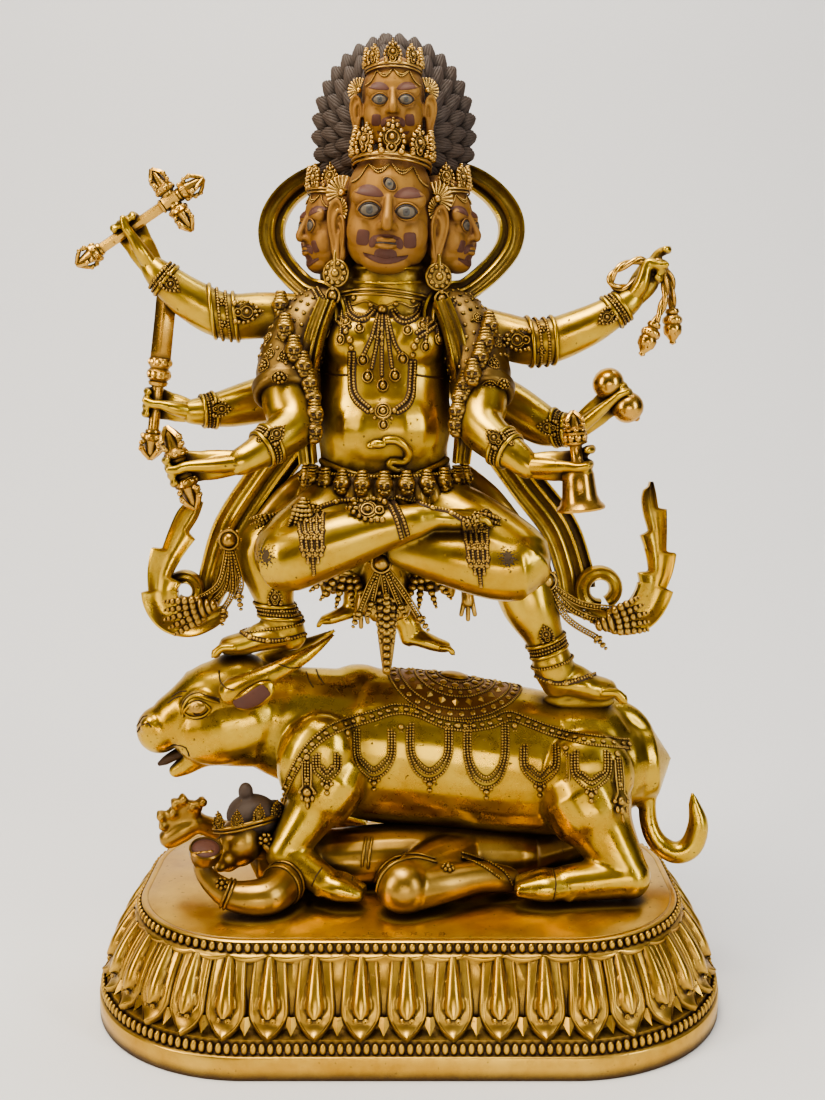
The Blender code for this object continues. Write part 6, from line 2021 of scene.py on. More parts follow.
def stacked_pendant():
    """The pendant under the belly's clasp: three files of beads that close to one, on a narrow tongue."""
    bm = bmesh.new()
    matrix = frame_at((-13, -36, 252), (0, -1, 0.1), (0, 0, 1))
    files = ((0, 11, 2.7), (-4.6, 6, 2.2), (4.6, 6, 2.2))
    for across, count, size in files:
        for k in range(count):
            z = 4 - k * 4.4 + (1.5 if across else 0)
            narrow = across * (1 - 0.10 * k)
            dome(bm, matrix, (size, size * 0.86, size * 0.9), (narrow, z, 0.6), sides=10)
    tube(bm, [(*(matrix @ Vector((0, 6, -1.5))), 6.5), (*(matrix @ Vector((0, -18, -1.5))), 5.5),
              (*(matrix @ Vector((0, -42, -1.0))), 2.4)], sides=12, across=(0, 1, 0), ratio=0.4)
    for side in (-1, 1):
        for k in range(6):
            dome(bm, matrix, (1.5, 1.9, 1.2), (side * (7.4 - 0.75 * k), 2 - 5 * k, -0.4), sides=7)
    return object_from("stacked_pendant", bm, jewel_gilt)


def swung_strings(boss, ends, sag, wires):
    """Pearl strings from one boss, each between two wires, hanging in a bow to a bead block."""
    lines = []
    for end in ends:
        a, b = Vector(boss), Vector(end)
        middle = (a + b) / 2 + Vector(sag)
        path = [Vector(p) for p in smooth_path([tuple(a), tuple(middle), tuple(b)], 2.0)]
        lines.append(path)
        side = (b - a).normalized().cross(Vector((0, -1, 0))).normalized() * 1.5
        for way in (-1, 1):
            wires.append([p + side * way + Vector((0, 0.6, 0)) for p in path])
    return lines


def tassels():
    wires, lines = [], []
    blocks = bmesh.new()
    sets = (
        ((-108, -11, 285), ((-112, -13, 243), (-120, -13, 246), (-128, -14, 249), (-103, -12, 252)),
         (4, -1, -8)),
        ((83, -11, 260), ((113, -14, 226), (122, -14, 234), (130, -14, 243), (106, -12, 240)),
         (-3, -1, -5)),
        ((-16, -41, 276), ((-29, -37, 246), (-22, -37, 252), (-13, -37, 256), (-5, -37, 250),
                           (6, -36, 243)), (0, -3, 2)),
    )
    for boss, ends, sag in sets:
        lines += swung_strings(boss, ends, sag, wires)
        matrix = frame_at(boss, (0, -1, 0.1))
        dome(blocks, matrix, (4.6, 4.6, 4.0), sides=16, rings=8)
        hoop(blocks, Vector(boss) + Vector((0, -0.6, 0)), (0, -1, 0.1), 5.6, 0.9)
        for k in range(8):
            a = tau * k / 8
            dome(blocks, matrix, (1.3, 1.3, 1.0), (6.6 * cos(a), 6.6 * sin(a), -0.8), sides=7)
        for end in ends:
            way = (Vector(end) - Vector(boss)).normalized()
            turn = frame_at(Vector(end), (0, -1, 0), way)
            for j, size in enumerate((2.3, 1.8, 2.1, 1.3)):
                dome(blocks, turn, (size, size * 0.8, size), (0, 1.0 + 2.8 * j, 0), sides=8)
            for side in (-1, 1):
                dome(blocks, turn, (1.1, 1.4, 1.0), (side * 2.2, 2.0, 0), sides=6)
    dressed(object_from("tassel_blocks", blocks, jewel_gilt), "gilt_bronze")
    strung("tassel_pearls", lines, 0.95, jewel_gilt, "gilt_bronze")
    cords("tassel_wires", wires, 0.6, jewel_gilt, "gilt_bronze")


sleeves_casting = dressed(sleeves(), "gilt_bronze")
dressed(sleeve_seeds(Skin(sleeves_casting)), "gilt_bronze")
hips_casting = dressed(hip_dress(), "gilt_bronze")
dressed(paws(), "gilt_bronze")
dressed(stacked_pendant(), "gilt_bronze")
tassels()
dress_skin = Skin(torso_casting, arms_casting, legs_casting, hands_casting, sleeves_casting, hips_casting)
sleeve_rosettes(Skin(sleeves_casting))


# The jewellery on the chest and belly, cast with the body: a collar with pearl loops, drops and a fan of
# strings, a sash of double pearls that meet at a disc, and a snake tied as a belt with its head raised.

chest_skin = Skin(torso_casting, sleeves_casting)
NECK_EDGES_SEEN = [
    [(334, 296), (346, 291), (383, 289), (424, 296), (436, 301)],
    [(335, 300), (347, 295), (383, 294), (423, 300)],
    [(345, 300), (352, 305), (366, 301), (382, 307), (398, 302), (412, 307), (419, 303)]]
CREASES_SEEN = [[(325, 373), (337, 375), (348, 375)], [(417, 375), (430, 377), (443, 378)]]
STRANDS_SEEN = [[(312, 288), (321, 304), (334, 319), (347, 330)],
                [(316, 286), (325, 301), (338, 316), (350, 327)],
                [(455, 302), (448, 314), (436, 326), (420, 337)],
                [(451, 299), (444, 311), (433, 322), (417, 333)]]
SASH_SEEN = [[(350, 353), (350, 375), (351, 392), (357, 403), (368, 412)],
             [(354, 353), (354, 374), (355, 390), (360, 399), (369, 407)],
             [(415, 361), (414, 380), (413, 396), (408, 407), (398, 413)],
             [(411, 361), (410, 379), (409, 393), (405, 402), (397, 408)]]
LOOPS_SEEN = [[(346, 303), (349, 314), (358, 321), (368, 319), (375, 311)],
              [(349, 303), (352, 312), (359, 317), (367, 315), (372, 309)],
              [(392, 311), (396, 319), (406, 323), (417, 318), (422, 306)],
              [(395, 310), (399, 316), (406, 319), (415, 315), (419, 305)]]
FAN_SEEN = [[(378, 315), (374, 330), (371, 339), (364, 354)], [(380, 317), (377, 343), (372, 368)],
            [(382.5, 316), (382, 344), (382, 375)], [(386, 316), (389, 343), (392, 367)],
            [(388, 318), (394, 341), (400, 352)],
            [(341, 303), (331, 313), (322, 320)], [(342, 304), (334, 317), (329, 328)],
            [(343, 304), (342, 318), (341, 333)], [(344, 304), (346, 312), (347, 318)],
            [(425, 307), (424, 316), (423, 321)], [(427, 307), (427, 324), (426, 341)],
            [(428, 307), (434, 320), (438, 333)], [(430, 306), (438, 316), (444, 325)]]
DROPS_SEEN = [(363, 359), (368, 376), (383, 385), (395, 375), (403, 358), (359.5, 328), (408, 330),
              (320.5, 324),
              (328.5, 334), (341, 339), (347, 322.5), (422.5, 325.5), (425.5, 346), (438, 339),
              (445, 331)]
BOSSES_SEEN = [(343.6, 300, 3.2), (354, 298, 2.4), (371, 305, 2.4), (382.5, 310, 4.4), (396, 304, 2.4),
               (413, 301, 2.4),
               (424, 303, 3.0), (382, 329, 2.0), (382, 337, 2.4), (382, 344, 2.0), (375, 337, 1.7),
               (388, 337, 1.7),
               (346, 332, 2.6), (350, 340, 3.4), (351.5, 348, 2.6), (417, 341, 2.6), (414.5, 347, 3.2),
               (413, 355, 2.6),
               (372, 411, 2.6), (394.5, 411, 2.6), (375, 418, 1.6), (392, 418.5, 1.6)]
CLASP_SEEN, CLASP_DROP_SEEN = (383.2, 411), (383.7, 424)
SNAKE_BELT_SEEN = [[(320, 459), (332, 466), (345, 471), (359, 475), (373, 477), (388, 472), (400, 469),
                    (405, 474)],
                   [(408, 478), (420, 473), (432, 468), (442, 463), (448, 456), (452, 445), (452, 432)]]
SNAKE_NECK_SEEN = [(399, 471), (390, 466), (392, 460), (404, 461), (408, 453), (404, 445), (395, 440),
                   (386, 440)]
SNAKE_HEAD_SEEN = (377, 444)


def drop_bead(bm, place, normal, size, border=True):
    """A tear-shaped stone in a raised wire, hung under a small bead."""
    matrix = frame_at(place, normal)
    dome(bm, matrix, (size * 0.62, size * 0.78, size * 0.62), (0, -size * 0.15, 0), sides=10)
    dome(bm, matrix, (size * 0.34, size * 0.42, size * 0.45), (0, size * 0.85, 0), sides=7)
    if border:
        ring = [matrix @ Vector((size * 0.92 * cos(a), size * (1.05 * sin(a) - 0.12), 0.05))
                for a in (tau * k / 18 for k in range(19))]
        tube(bm, [(*point, size * 0.17) for point in ring], sides=6, step=3.0)


def laid_pearls(name, skin, lines, radius):
    """Pearl strings laid on the skin, each over a wider dark cord sunk beneath it as painted shade where
    the string meets the skin.
    """
    strung(name, [skin.line_seen(line, radius * 0.75, 4.0) for line in lines], radius, jewel_gilt,
           "gilt_bronze")
    cords(f"{name}_dirt", [skin.line_seen(line, -radius * 0.75, 4.0) for line in lines], radius * 1.95,
          dark_line,
          "gilt_bronze")


def chest_jewels():
    bm = bmesh.new()
    for across, down in DROPS_SEEN:
        hit = chest_skin.seen(across, down, 0.3)
        if hit:
            drop_bead(bm, hit[0] + hit[1] * 0.3, hit[1], 3.2 if down > 350 else 2.7)
    for across, down, size in BOSSES_SEEN:
        hit = chest_skin.seen(across, down, 0.1)
        if hit:
            dome(bm, frame_at(*hit), (size * 0.68, size * 0.74, size * 0.72), sides=10)
    clasp = chest_skin.seen(*CLASP_SEEN, 0.2)
    matrix = frame_at(*clasp)
    dome(bm, matrix, (2.0, 2.0, 1.5), sides=10)
    for radius, thickness in ((2.9, 0.6), (4.4, 0.7)):
        hoop(bm, clasp[0], clasp[1], radius, thickness)
    drop = chest_skin.seen(*CLASP_DROP_SEEN, 0.3)
    drop_bead(bm, *drop, 2.8)
    dressed(object_from("chest_jewels", bm, jewel_gilt), "gilt_bronze")
    strands = STRANDS_SEEN + SASH_SEEN + LOOPS_SEEN
    laid_pearls("chest_pearls", chest_skin, strands, 0.92)
    laid_pearls("fan_pearls", chest_skin, FAN_SEEN, 0.86)
    cords("collar_wires", [chest_skin.line_seen(line, 0.1, 4.0) for line in NECK_EDGES_SEEN[:2]], 1.0,
          jewel_gilt,
          "gilt_bronze")
    cords("collar_border", [chest_skin.line_seen(NECK_EDGES_SEEN[2], 0.1, 4.0)], 0.7, jewel_gilt,
          "gilt_bronze")
    # The crease lines are dark cords sunk in the skin: painted shade in the body's creases.
    cords("chest_creases", [chest_skin.line_seen(line, -0.25, 4.0) for line in CREASES_SEEN], 0.75,
          dark_line,
          "gilt_bronze")


def snake_belt():
    """The snake lies round the belly in a low groove and lifts its head and neck in front of it."""
    bm = bmesh.new()
    for line in SNAKE_BELT_SEEN:
        points = chest_skin.line_seen(line, 0.6, 4.0)
        tube(bm, [(*point, 2.3) for point in points], sides=12, step=2.0)
    points = chest_skin.line_seen(SNAKE_NECK_SEEN, 1.2, 4.0)
    tube(bm, [(*point, 2.5) for point in points], sides=12, step=2.0)
    place, normal = chest_skin.seen(*SNAKE_HEAD_SEEN, 1.6)
    matrix = frame_at(place, normal)
    dome(bm, matrix, (5.2, 2.7, 2.2), (1.0, 0.4, 0.4), sides=14, rings=8)
    dome(bm, matrix, (2.8, 1.9, 1.8), (-3.2, -0.6, 0.4), sides=12, rings=8)
    dome(bm, matrix, (0.9, 0.9, 0.9), (0.2, 1.2, 1.9), sides=8)
    return object_from("snake_belt", bm, body_gilt)


chest_jewels()
dressed(snake_belt(), "gilt_bronze")


# The garland of severed heads that hangs over the arms and round the hips: each a bead with brows, hollow
# eyes, cheeks and bared jaw under bound hair, strung close together, with painted shade in the eye
# hollows and the mouth.

SIDE_HEADS_SEEN = [(281, 309), (286, 332), (294, 354), (303, 370), (309, 386), (312, 402), (314, 418),
                   (313, 434),
                   (312, 450), (489, 330), (485, 346), (480, 361), (473, 377), (466, 389), (461, 402),
                   (459, 415),
                   (458, 428), (460, 444), (459, 458)]
WAIST_HEADS = 11
WAIST_RADII = (48.5, 43.5)


def severed_head(bm, hollow_shade, matrix, size):
    dome(bm, matrix, (size * 0.50, size * 0.46, size * 0.46), (0, size * 0.20, 0), sides=12, rings=8)
    dome(bm, matrix, (size * 0.36, size * 0.30, size * 0.40), (0, -size * 0.24, size * 0.02), sides=10)
    dome(bm, matrix, (size * 0.08, size * 0.15, size * 0.14), (0, size * 0.04, size * 0.40), sides=6)
    for side in (-1, 1):
        dome(bm, matrix, (size * 0.18, size * 0.07, size * 0.12),
             (side * size * 0.19, size * 0.28, size * 0.38),
             sides=7)
        dome(bm, matrix, (size * 0.13, size * 0.13, size * 0.14),
             (side * size * 0.24, -size * 0.12, size * 0.26),
             sides=7)
        # The dark domes over the eye sockets and the mouth are painted shade in those hollows.
        dome(hollow_shade, matrix, (size * 0.10, size * 0.08, size * 0.07),
             (side * size * 0.18, size * 0.13, size * 0.43), sides=8)
    dome(hollow_shade, matrix, (size * 0.15, size * 0.035, size * 0.05), (0, -size * 0.27, size * 0.40),
         sides=8)
    for k in range(3):
        hoop(bm, matrix @ Vector((0, size * (0.52 + 0.17 * k), 0)), matrix.to_3x3() @ Vector((0, 1, 0)),
             size * (0.30 - 0.05 * k), size * 0.09, turns=16)


def heads_garland():
    bm, hollow_shade = bmesh.new(), bmesh.new()
    strings = []
    for across, down in SIDE_HEADS_SEEN:
        hit = dress_skin.seen(across, down, 0.6)
        if hit and hit[0].y < 20:
            place = hit[0]
            severed_head(bm, hollow_shade, frame_at(place, (hit[1].x * 0.4, -1, 0.1)), 11.0)
    row = []
    for k in range(WAIST_HEADS):
        angle = pi * (1.08 + 0.84 * k / (WAIST_HEADS - 1))
        way = Vector((cos(angle), sin(angle), 0))
        place = Vector((BODY_MIDDLE + WAIST_RADII[0] * way.x, 2 + WAIST_RADII[1] * way.y,
                        322 - 2.5 * abs(way.y)))
        row.append(place)
        severed_head(bm, hollow_shade, frame_at(place, way), 10.5)
    for lift in (6.5, -6.5):
        strings.append([place + Vector((0, 0, lift)) for place in row])
    dressed(object_from("garland_of_heads", bm, jewel_gilt), "gilt_bronze")
    dressed(object_from("garland_hollows", hollow_shade, dark_line), "gilt_bronze")
    strung("waist_pearls", strings, 1.0, jewel_gilt, "gilt_bronze")


heads_garland()


# Bands on the arms and ankles: on each, two plain rings hold two rows of pearls, and a beaded leaf points
# up the limb. They lie close on the skin, because they were modelled on it in the wax.

UPPER_BANDS = [((-109, -4, 417.5), (1, 0.1, 0.1), (1, 0, 0.05)),
               ((78, -4, 402), (1, 0.1, 0.1), (-1, 0, 0.02))]
WRIST_BANDS = [((-144, -10, 440), (0.75, 0.1, -0.65), (0.75, 0, -0.65)),
               ((122, -10, 421), (0.8, 0, 0.6), (-0.8, 0, -0.6)),
               ((-121, 4, 362), (1, 0.4, 0.1), (1, 0, 0.0)), ((92, 5, 350), (1, -0.5, 0.1), (-1, 0, 0.1)),
               ((-80, -52, 344), (0.7, 0.5, 0.4), (0.6, 0, 0.6)),
               ((54, -52, 342), (0.7, -0.5, -0.45), (-0.6, 0, 0.6))]
ANKLE_BANDS = [((-81, 0, 240), (0.05, 0, 1), (0, 0, 1)), ((85, -6, 219), (-0.4, 0, 1), (-0.3, 0, 1))]
FOOT_BANDS = [((-78, -2, 231), (-0.15, 0, 1)), ((89, -7, 209), (-0.3, 0, 1))]


def bands():
    limbs = Skin(arms_casting, legs_casting, hands_casting)
    wires, pearls = [], []
    leaves = bmesh.new()
    for places, spread, leaf_length, reach in ((UPPER_BANDS, 6.5, 17, 32), (WRIST_BANDS, 3.4, 12, 22),
                                               (ANKLE_BANDS, 3.6, 11, 24)):
        for centre, axis, up in places:
            axis = Vector(axis).normalized()
            up = Vector(up).normalized()
            for slide in (-spread, spread):
                wires.append(girdle(limbs, Vector(centre) + axis * slide, axis, 0.7, reach))
            for slide in (-spread * 0.36, spread * 0.36):
                pearls.append(girdle(limbs, Vector(centre) + axis * slide, axis, 0.7, reach, turns=48))
            leaf_foot = Vector(centre) + up * (spread + 0.5)
            hit = limbs.inwards(leaf_foot, (0, -1, 0.1), 60, 0.6)
            if hit:
                flame_leaf(leaves, hit[0], (hit[1] + Vector((0, -1.2, 0))), leaf_length,
                           leaf_length * 0.72, up=up)
                for side in (-1, 1):
                    across = up.cross(Vector((0, -1, 0))) * side * leaf_length * 0.38
                    spot = limbs.inwards(leaf_foot + across - up * spread, (0, -1, 0.1), 60, 0.5)
                    if spot:
                        rosette(leaves, *spot, leaf_length * 0.16)
    for centre, axis in FOOT_BANDS:
        pearls.append(girdle(limbs, centre, axis, 0.7, 26, turns=48))
    dressed(object_from("band_leaves", leaves, jewel_gilt), "gilt_bronze")
    cords("band_rings", wires, 1.25, body_gilt, "gilt_bronze", sides=8)
    strung("band_pearls", pearls, 0.95, jewel_gilt, "gilt_bronze")


bands()


# What lies on the crossed legs and hangs from the ears: openwork of beads over each knee, double bands at
# the crossed ankles, flower clusters on the hips, large flower earrings, and worn dark patches on the
# knees.

KNEE_NETS_SEEN = [((310.5, 513), (314, 572), 13.0), ((475, 522), (481, 584), 12.0)]
ANKLE_LINES_SEEN = [[(385, 500), (391, 508), (397, 520), (402, 538)],
                    [(391, 499), (397, 507), (403, 519), (408, 535)]]
FOOT_STRINGS_SEEN = [[(398, 497), (414, 502), (433, 508), (452, 513), (470, 524)],
                     [(318, 508), (336, 502), (354, 500), (372, 504)],
                     [(235, 628), (250, 637), (268, 641), (288, 639), (305, 634)],
                     [(536, 676), (550, 682), (566, 683), (590, 676), (608, 667)]]
ANKLE_LEAF_SEEN = (386, 512)
HIP_CLUSTERS_SEEN = [(305, 503), (296, 508), (313, 508), (304, 512), (486, 513), (477, 517), (494, 519),
                     (486, 523)]
WORN_PATCHES_SEEN = [((266, 556), 11, 14), ((508, 558), 11, 13)]
WORN_SPECKS = 110
EARRING_PLACES = [(-42.5, -17, 441.5, -1), (17.5, -17, 439.5, 1)]


def knee_nets():
    """A net of pearl strings that narrows down each knee, with beads where the strings cross."""
    bm = bmesh.new()
    lines = []
    for top, bottom, half in KNEE_NETS_SEEN:
        across, down = bottom[0] - top[0], bottom[1] - top[1]

        def at(side, t, top=top, across=across, down=down):
            return top[0] + across * t + side, top[1] + down * t
        for side in (-1.0, -0.5, 0.0, 0.5, 1.0):
            reach = 1.0 - 0.42 * abs(side)
            line = [at(side * half * (1 - 0.25 * t), t * reach) for t in (0.0, 0.35, 0.7, 1.0)]
            lines.append(line)
            end = at(side * half * 0.75, reach + 0.03)
            hit = dress_skin.seen(*end, 0.4)
            if hit:
                drop_bead(bm, *hit, 1.9, border=False)
        for t in (0.02, 0.30, 0.58):
            shrink = half * (1 - 0.2 * t)
            for k in range(4):
                a, b = -1 + 0.5 * k, -0.5 + 0.5 * k
                lines.append([at(a * shrink, t), at((a + b) / 2 * shrink, t + 0.10), at(b * shrink, t)])
            for side in (-0.75, -0.25, 0.25, 0.75):
                hit = dress_skin.seen(*at(side * shrink, t + 0.13), 0.3)
                if hit:
                    dome(bm, frame_at(*hit), (1.5, 1.5, 1.2), sides=8)
        for side in (-1, 0, 1):
            hit = dress_skin.seen(*at(side * half * 0.6, -0.02), 0.3)
            if hit:
                rosette(bm, *hit, 3.2)
    dressed(object_from("knee_net_beads", bm, jewel_gilt), "gilt_bronze")
    laid_pearls("knee_net_pearls", dress_skin, lines, 0.85)


def leg_jewels():
    bm = bmesh.new()
    place, normal = dress_skin.seen(*ANKLE_LEAF_SEEN, 0.4)
    flame_leaf(bm, place, normal + Vector((0, -0.6, 0)), 22, 13, up=(-1, 0, 0.12))
    for across, down in HIP_CLUSTERS_SEEN:
        hit = dress_skin.seen(across, down, 0.3)
        if hit:
            rosette(bm, *hit, 3.6)
    for line in FOOT_STRINGS_SEEN:
        for across, down in line[1:-1]:
            hit = dress_skin.seen(across, down, 0.4)
            if hit:
                dome(bm, frame_at(*hit), (2.0, 2.0, 1.3), sides=9)
    dressed(object_from("leg_flowers", bm, jewel_gilt), "gilt_bronze")
    laid_pearls("leg_pearls", dress_skin, ANKLE_LINES_SEEN + FOOT_STRINGS_SEEN, 1.0)


worn_bronze = finish_of("Worn brown bronze", WORN_METAL_AND_SHADE, {
    "Metal": (0.115, 0.072, 0.032), "Deep metal": (0.05, 0.03, 0.014), "Patina and shade": (0.02, 0.012, 0.006),
    "Recess reach": 0.002, "Patina and shade amount": 0.5, "Polish": 0.46, "Pitting": 1.0}, 0.3, metallic=0.45)


def worn_patches():
    """Where hands have rubbed the gilding: pits and specks of brown bronze, close in the middle of each
    patch."""
    bm = bmesh.new()
    for (across, down), half_width, half_height in WORN_PATCHES_SEEN:
        for k in range(WORN_SPECKS):
            share = ((k + 0.5) / WORN_SPECKS) ** 0.85
            turn = 2.39996 * k + 0.5 * sin(5.0 * k)
            hit = dress_skin.seen(across + half_width * share * cos(turn),
                                  down + half_height * share * sin(turn), 0.02)
            size = (0.30 + 1.15 * (1 - share)) * (0.75 + 0.35 * sin(9.0 * k))
            if hit:
                dome(bm, frame_at(*hit), (size, size * 0.8, 0.16), sides=7, rings=4)
    return object_from("worn_knee_patches", bm, worn_bronze)


def earrings():
    bm = bmesh.new()
    for x, y, z, side in EARRING_PLACES:
        place, out = Vector((x, y, z)), Vector((side * 0.35, -1, 0.05))
        matrix = frame_at(place, out)
        dome(bm, matrix, (7.2, 7.2, 1.8), (0, 0, -1.0), sides=20, rings=8)
        dome(bm, matrix, (2.6, 2.6, 2.2), (0, 0, 0.6), sides=12)
        hoop(bm, place, out, 4.0, 0.7)
        hoop(bm, matrix @ Vector((0, 0, -0.9)), out, 7.4, 0.9)
        for k in range(10):
            a = tau * k / 10
            dome(bm, matrix, (1.5, 1.5, 1.2), (5.6 * cos(a), 5.6 * sin(a), 0.3), sides=8)
        drop_bead(bm, matrix @ Vector((side * 1.5, -12.5, -0.3)), out, 4.4)
        tube(bm, [(*(place + Vector((0, 2, 12))), 1.4), (*(place + Vector((0, 1, 6))), 1.6),
                  (*place, 1.4)], sides=8)
    return object_from("earrings", bm, jewel_gilt)


knee_nets()
leg_jewels()
dressed(worn_patches(), "dark_gilt")
dressed(earrings(), "gilt_bronze")


# What the hands hold, cast apart and set into the fists: a staff crossed by vajra heads, a thick sword, a
# vajra, a noose, a two-lobed fruit and a bell. Each vajra head is a lotus cup under a cage of closed
# prongs.

implement_gilt = gilding("Implement gilding", metal=(0.76, 0.47, 0.12), deep=(0.48, 0.25, 0.05),
                         amount=1.0,
                         polish=0.18, reach=4.0)
STAFF_RADIUS, STAFF_LENGTH, STAFF_HEAD = 3.1, 56.0, (16.5, 12.5)
SWORD_LENGTH, SWORD_BLADE, SWORD_POMMEL = 104.0, (12.8, 8.2), 15.0
VAJRA_LENGTH, VAJRA_DIAMETER = 48.0, 14.0
FRUIT_DIAMETER, FRUIT_SPACING = 19.0, 18.5
BELL_HEIGHT, BELL_MOUTH, BELL_BODY, BELL_GRIP, BELL_WALL = 54.5, 27.5, 18.8, 8.8, 1.6
ROPE_RADIUS = 2.6


def vajra_head(bm, root, way, length, diameter, prongs=4):
    """A collar, a cup of lotus petals, and prongs that close round a hub under a knob."""
    radius = diameter / 2
    profile = [(0.05, -1.0), (radius * 0.60, -0.9), (radius * 0.66, length * 0.02),
               (radius * 0.58, length * 0.05),
               (radius * 0.84, length * 0.13), (radius * 0.90, length * 0.22),
               (radius * 0.96, length * 0.27),
               (radius * 0.86, length * 0.30), (radius * 0.70, length * 0.34),
               (radius * 0.56, length * 0.55),
               (radius * 0.42, length * 0.80), (radius * 0.20, length * 0.92),
               (radius * 0.18, length * 0.95),
               (radius * 0.23, length * 1.0), (0.05, length * 1.04)]
    turned_about(bm, root, way, profile, 20)
    matrix = frame_at(root, way, (0, -1, 0.3))
    for k in range(8):
        a = tau * k / 8
        dome(bm, matrix, (radius * 0.26, radius * 0.26, length * 0.10),
             (radius * 0.76 * cos(a), radius * 0.76 * sin(a), length * 0.17), sides=8)
    for k in range(prongs):
        a = tau * (k + 0.5) / prongs
        points = [(share * radius, along * length) for share, along in (
            (0.62, 0.30), (0.88, 0.40), (0.97, 0.53), (0.88, 0.66), (0.62, 0.80), (0.30, 0.91),
            (0.16, 0.97))]
        tube(bm, [(*(matrix @ Vector((reach * cos(a), reach * sin(a), along))), radius * 0.20)
                  for reach, along in points], sides=8, across=tuple(way), step=1.5)
        for along in (0.42, 0.64):
            dome(bm, matrix, (radius * 0.20, radius * 0.20, radius * 0.22),
                 (radius * 1.0 * cos(a), radius * 1.0 * sin(a), along * length), sides=7)


def implement(name, bm, sharp=40):
    bmesh.ops.recalc_face_normals(bm, faces=bm.faces)
    return dressed(object_from(name, bm, implement_gilt, sharp=sharp), "implement_gilt", name)


def crossed_vajra_staff():
    bm = bmesh.new()
    way = Vector(STAFF_WAY).normalized()
    lower = Vector(STAFF_HOLD) - way * STAFF_LENGTH * 0.36
    shaft = [(0.05, -1), (STAFF_RADIUS, -0.8), (STAFF_RADIUS, STAFF_LENGTH * 0.76),
             (STAFF_RADIUS * 1.35, STAFF_LENGTH * 0.77),
             (STAFF_RADIUS * 1.35, STAFF_LENGTH * 0.795), (STAFF_RADIUS * 1.18, STAFF_LENGTH * 0.80),
             (STAFF_RADIUS * 1.40, STAFF_LENGTH * 0.81), (STAFF_RADIUS * 1.45, STAFF_LENGTH * 0.84),
             (STAFF_RADIUS * 1.45, STAFF_LENGTH * 0.97), (STAFF_RADIUS, STAFF_LENGTH * 0.99),
             (0.05, STAFF_LENGTH)]
    turned_about(bm, lower, way, shaft, 8)
    vajra_head(bm, lower, -way, *STAFF_HEAD)
    vajra_head(bm, lower + way * STAFF_LENGTH, way, *STAFF_HEAD)
    hub = lower + way * STAFF_LENGTH * 0.90
    cross_way = Vector((-way.z, 0, way.x))
    for side in (-1, 1):
        turned_about(bm, hub, cross_way * side,
                     [(0.05, -1), (STAFF_RADIUS * 1.2, -0.5), (STAFF_RADIUS * 1.25, 4.6),
                                                 (STAFF_RADIUS * 1.5, 4.8), (STAFF_RADIUS * 1.5, 5.6),
                                                 (0.05, 5.8)], 14)
        vajra_head(bm, hub + cross_way * side * STAFF_RADIUS * 1.25, cross_way * side, *STAFF_HEAD)
    return implement("crossed_vajra_staff", bm)


def sword():
    """The blade is a thick bevelled bar whose end slopes to one side, over a lotus collar."""
    bm = bmesh.new()
    way = Vector(SWORD_WAY).normalized()
    handle, collar = SWORD_LENGTH * 0.26, SWORD_LENGTH * 0.16
    low = Vector(SWORD_HOLD) - way * handle * 0.62
    turned_about(bm, low, way, [(0.05, -1), (3.4, -0.8), (3.6, handle),
                                (SWORD_POMMEL * 0.36, handle + 0.6),
                                (SWORD_POMMEL * 0.40, handle + 2.5), (SWORD_POMMEL * 0.34, handle + 3.4),
                                (SWORD_POMMEL * 0.46, handle + 5.0), (SWORD_POMMEL * 0.47, handle + 9.0),
                                (SWORD_POMMEL * 0.36, handle + 10.6),
                                (SWORD_POMMEL * 0.44, handle + 12.5),
                                (SWORD_POMMEL * 0.44, handle + collar), (0.05, handle + collar + 0.8)],
                                20)
    matrix = frame_at(low, way, (0, -1, 0))
    for row, turn in ((7.0, 0.0), (14.2, 0.5)):
        for k in range(10):
            a = tau * (k + turn) / 10
            dome(bm, matrix, (2.1, 2.1, 2.3),
                 (SWORD_POMMEL * 0.36 * cos(a), SWORD_POMMEL * 0.36 * sin(a), handle + row),
                 sides=8)
    vajra_head(bm, low, -way, SWORD_POMMEL * 1.1, SWORD_POMMEL)
    foot = low + way * (handle + collar * 0.8)
    length = SWORD_LENGTH - handle - collar * 0.8 - SWORD_POMMEL * 0.85
    half_width, half_thick = SWORD_BLADE[0] / 2, SWORD_BLADE[1] / 2
    outline = [(-0.96, 0.0), (-0.52, 0.62), (-0.10, 0.98), (0.10, 0.98), (0.52, 0.62), (0.96, 0.0),
               (0.52, -0.62),
               (0.10, -0.98), (-0.10, -0.98), (-0.52, -0.62)]
    across = Vector((way.z, 0, -way.x))
    rings = []
    for along, size in ((0.0, 0.90), (0.03, 1.0), (0.5, 0.97), (0.93, 1.0), (0.985, 0.86), (1.0, 0.55)):
        ring = []
        for x, y in outline:
            slope = 1 - 0.045 * (1 - x) * (along > 0.9)
            ring.append(bm.verts.new(foot + way * (length * along * slope) + across
                                     * (x * half_width * size)
                                     + Vector((0, -y * half_thick * size, 0))))
        rings.append(ring)
    for ring, following in zip(rings, rings[1:]):
        for k in range(len(ring)):
            n = (k + 1) % len(ring)
            bm.faces.new((ring[k], ring[n], following[n], following[k]))
    bm.faces.new(list(reversed(rings[0])))
    bm.faces.new(rings[-1])
    return implement("sword", bm, sharp=25)


def vajra():
    bm = bmesh.new()
    way = Vector(VAJRA_WAY).normalized()
    head = VAJRA_LENGTH * 0.40
    neck = VAJRA_LENGTH / 2 - head
    for side in (-1, 1):
        vajra_head(bm, Vector(VAJRA_HOLD) + way * side * neck, way * side, head, VAJRA_DIAMETER)
    turned_about(bm, VAJRA_HOLD, way, [(0.05, -neck - 0.5), (3.6, -neck), (2.8, -neck * 0.6), (4.0, 0),
                                       (2.8, neck * 0.6), (3.6, neck), (0.05, neck + 0.5)], 16)
    return implement("vajra", bm)


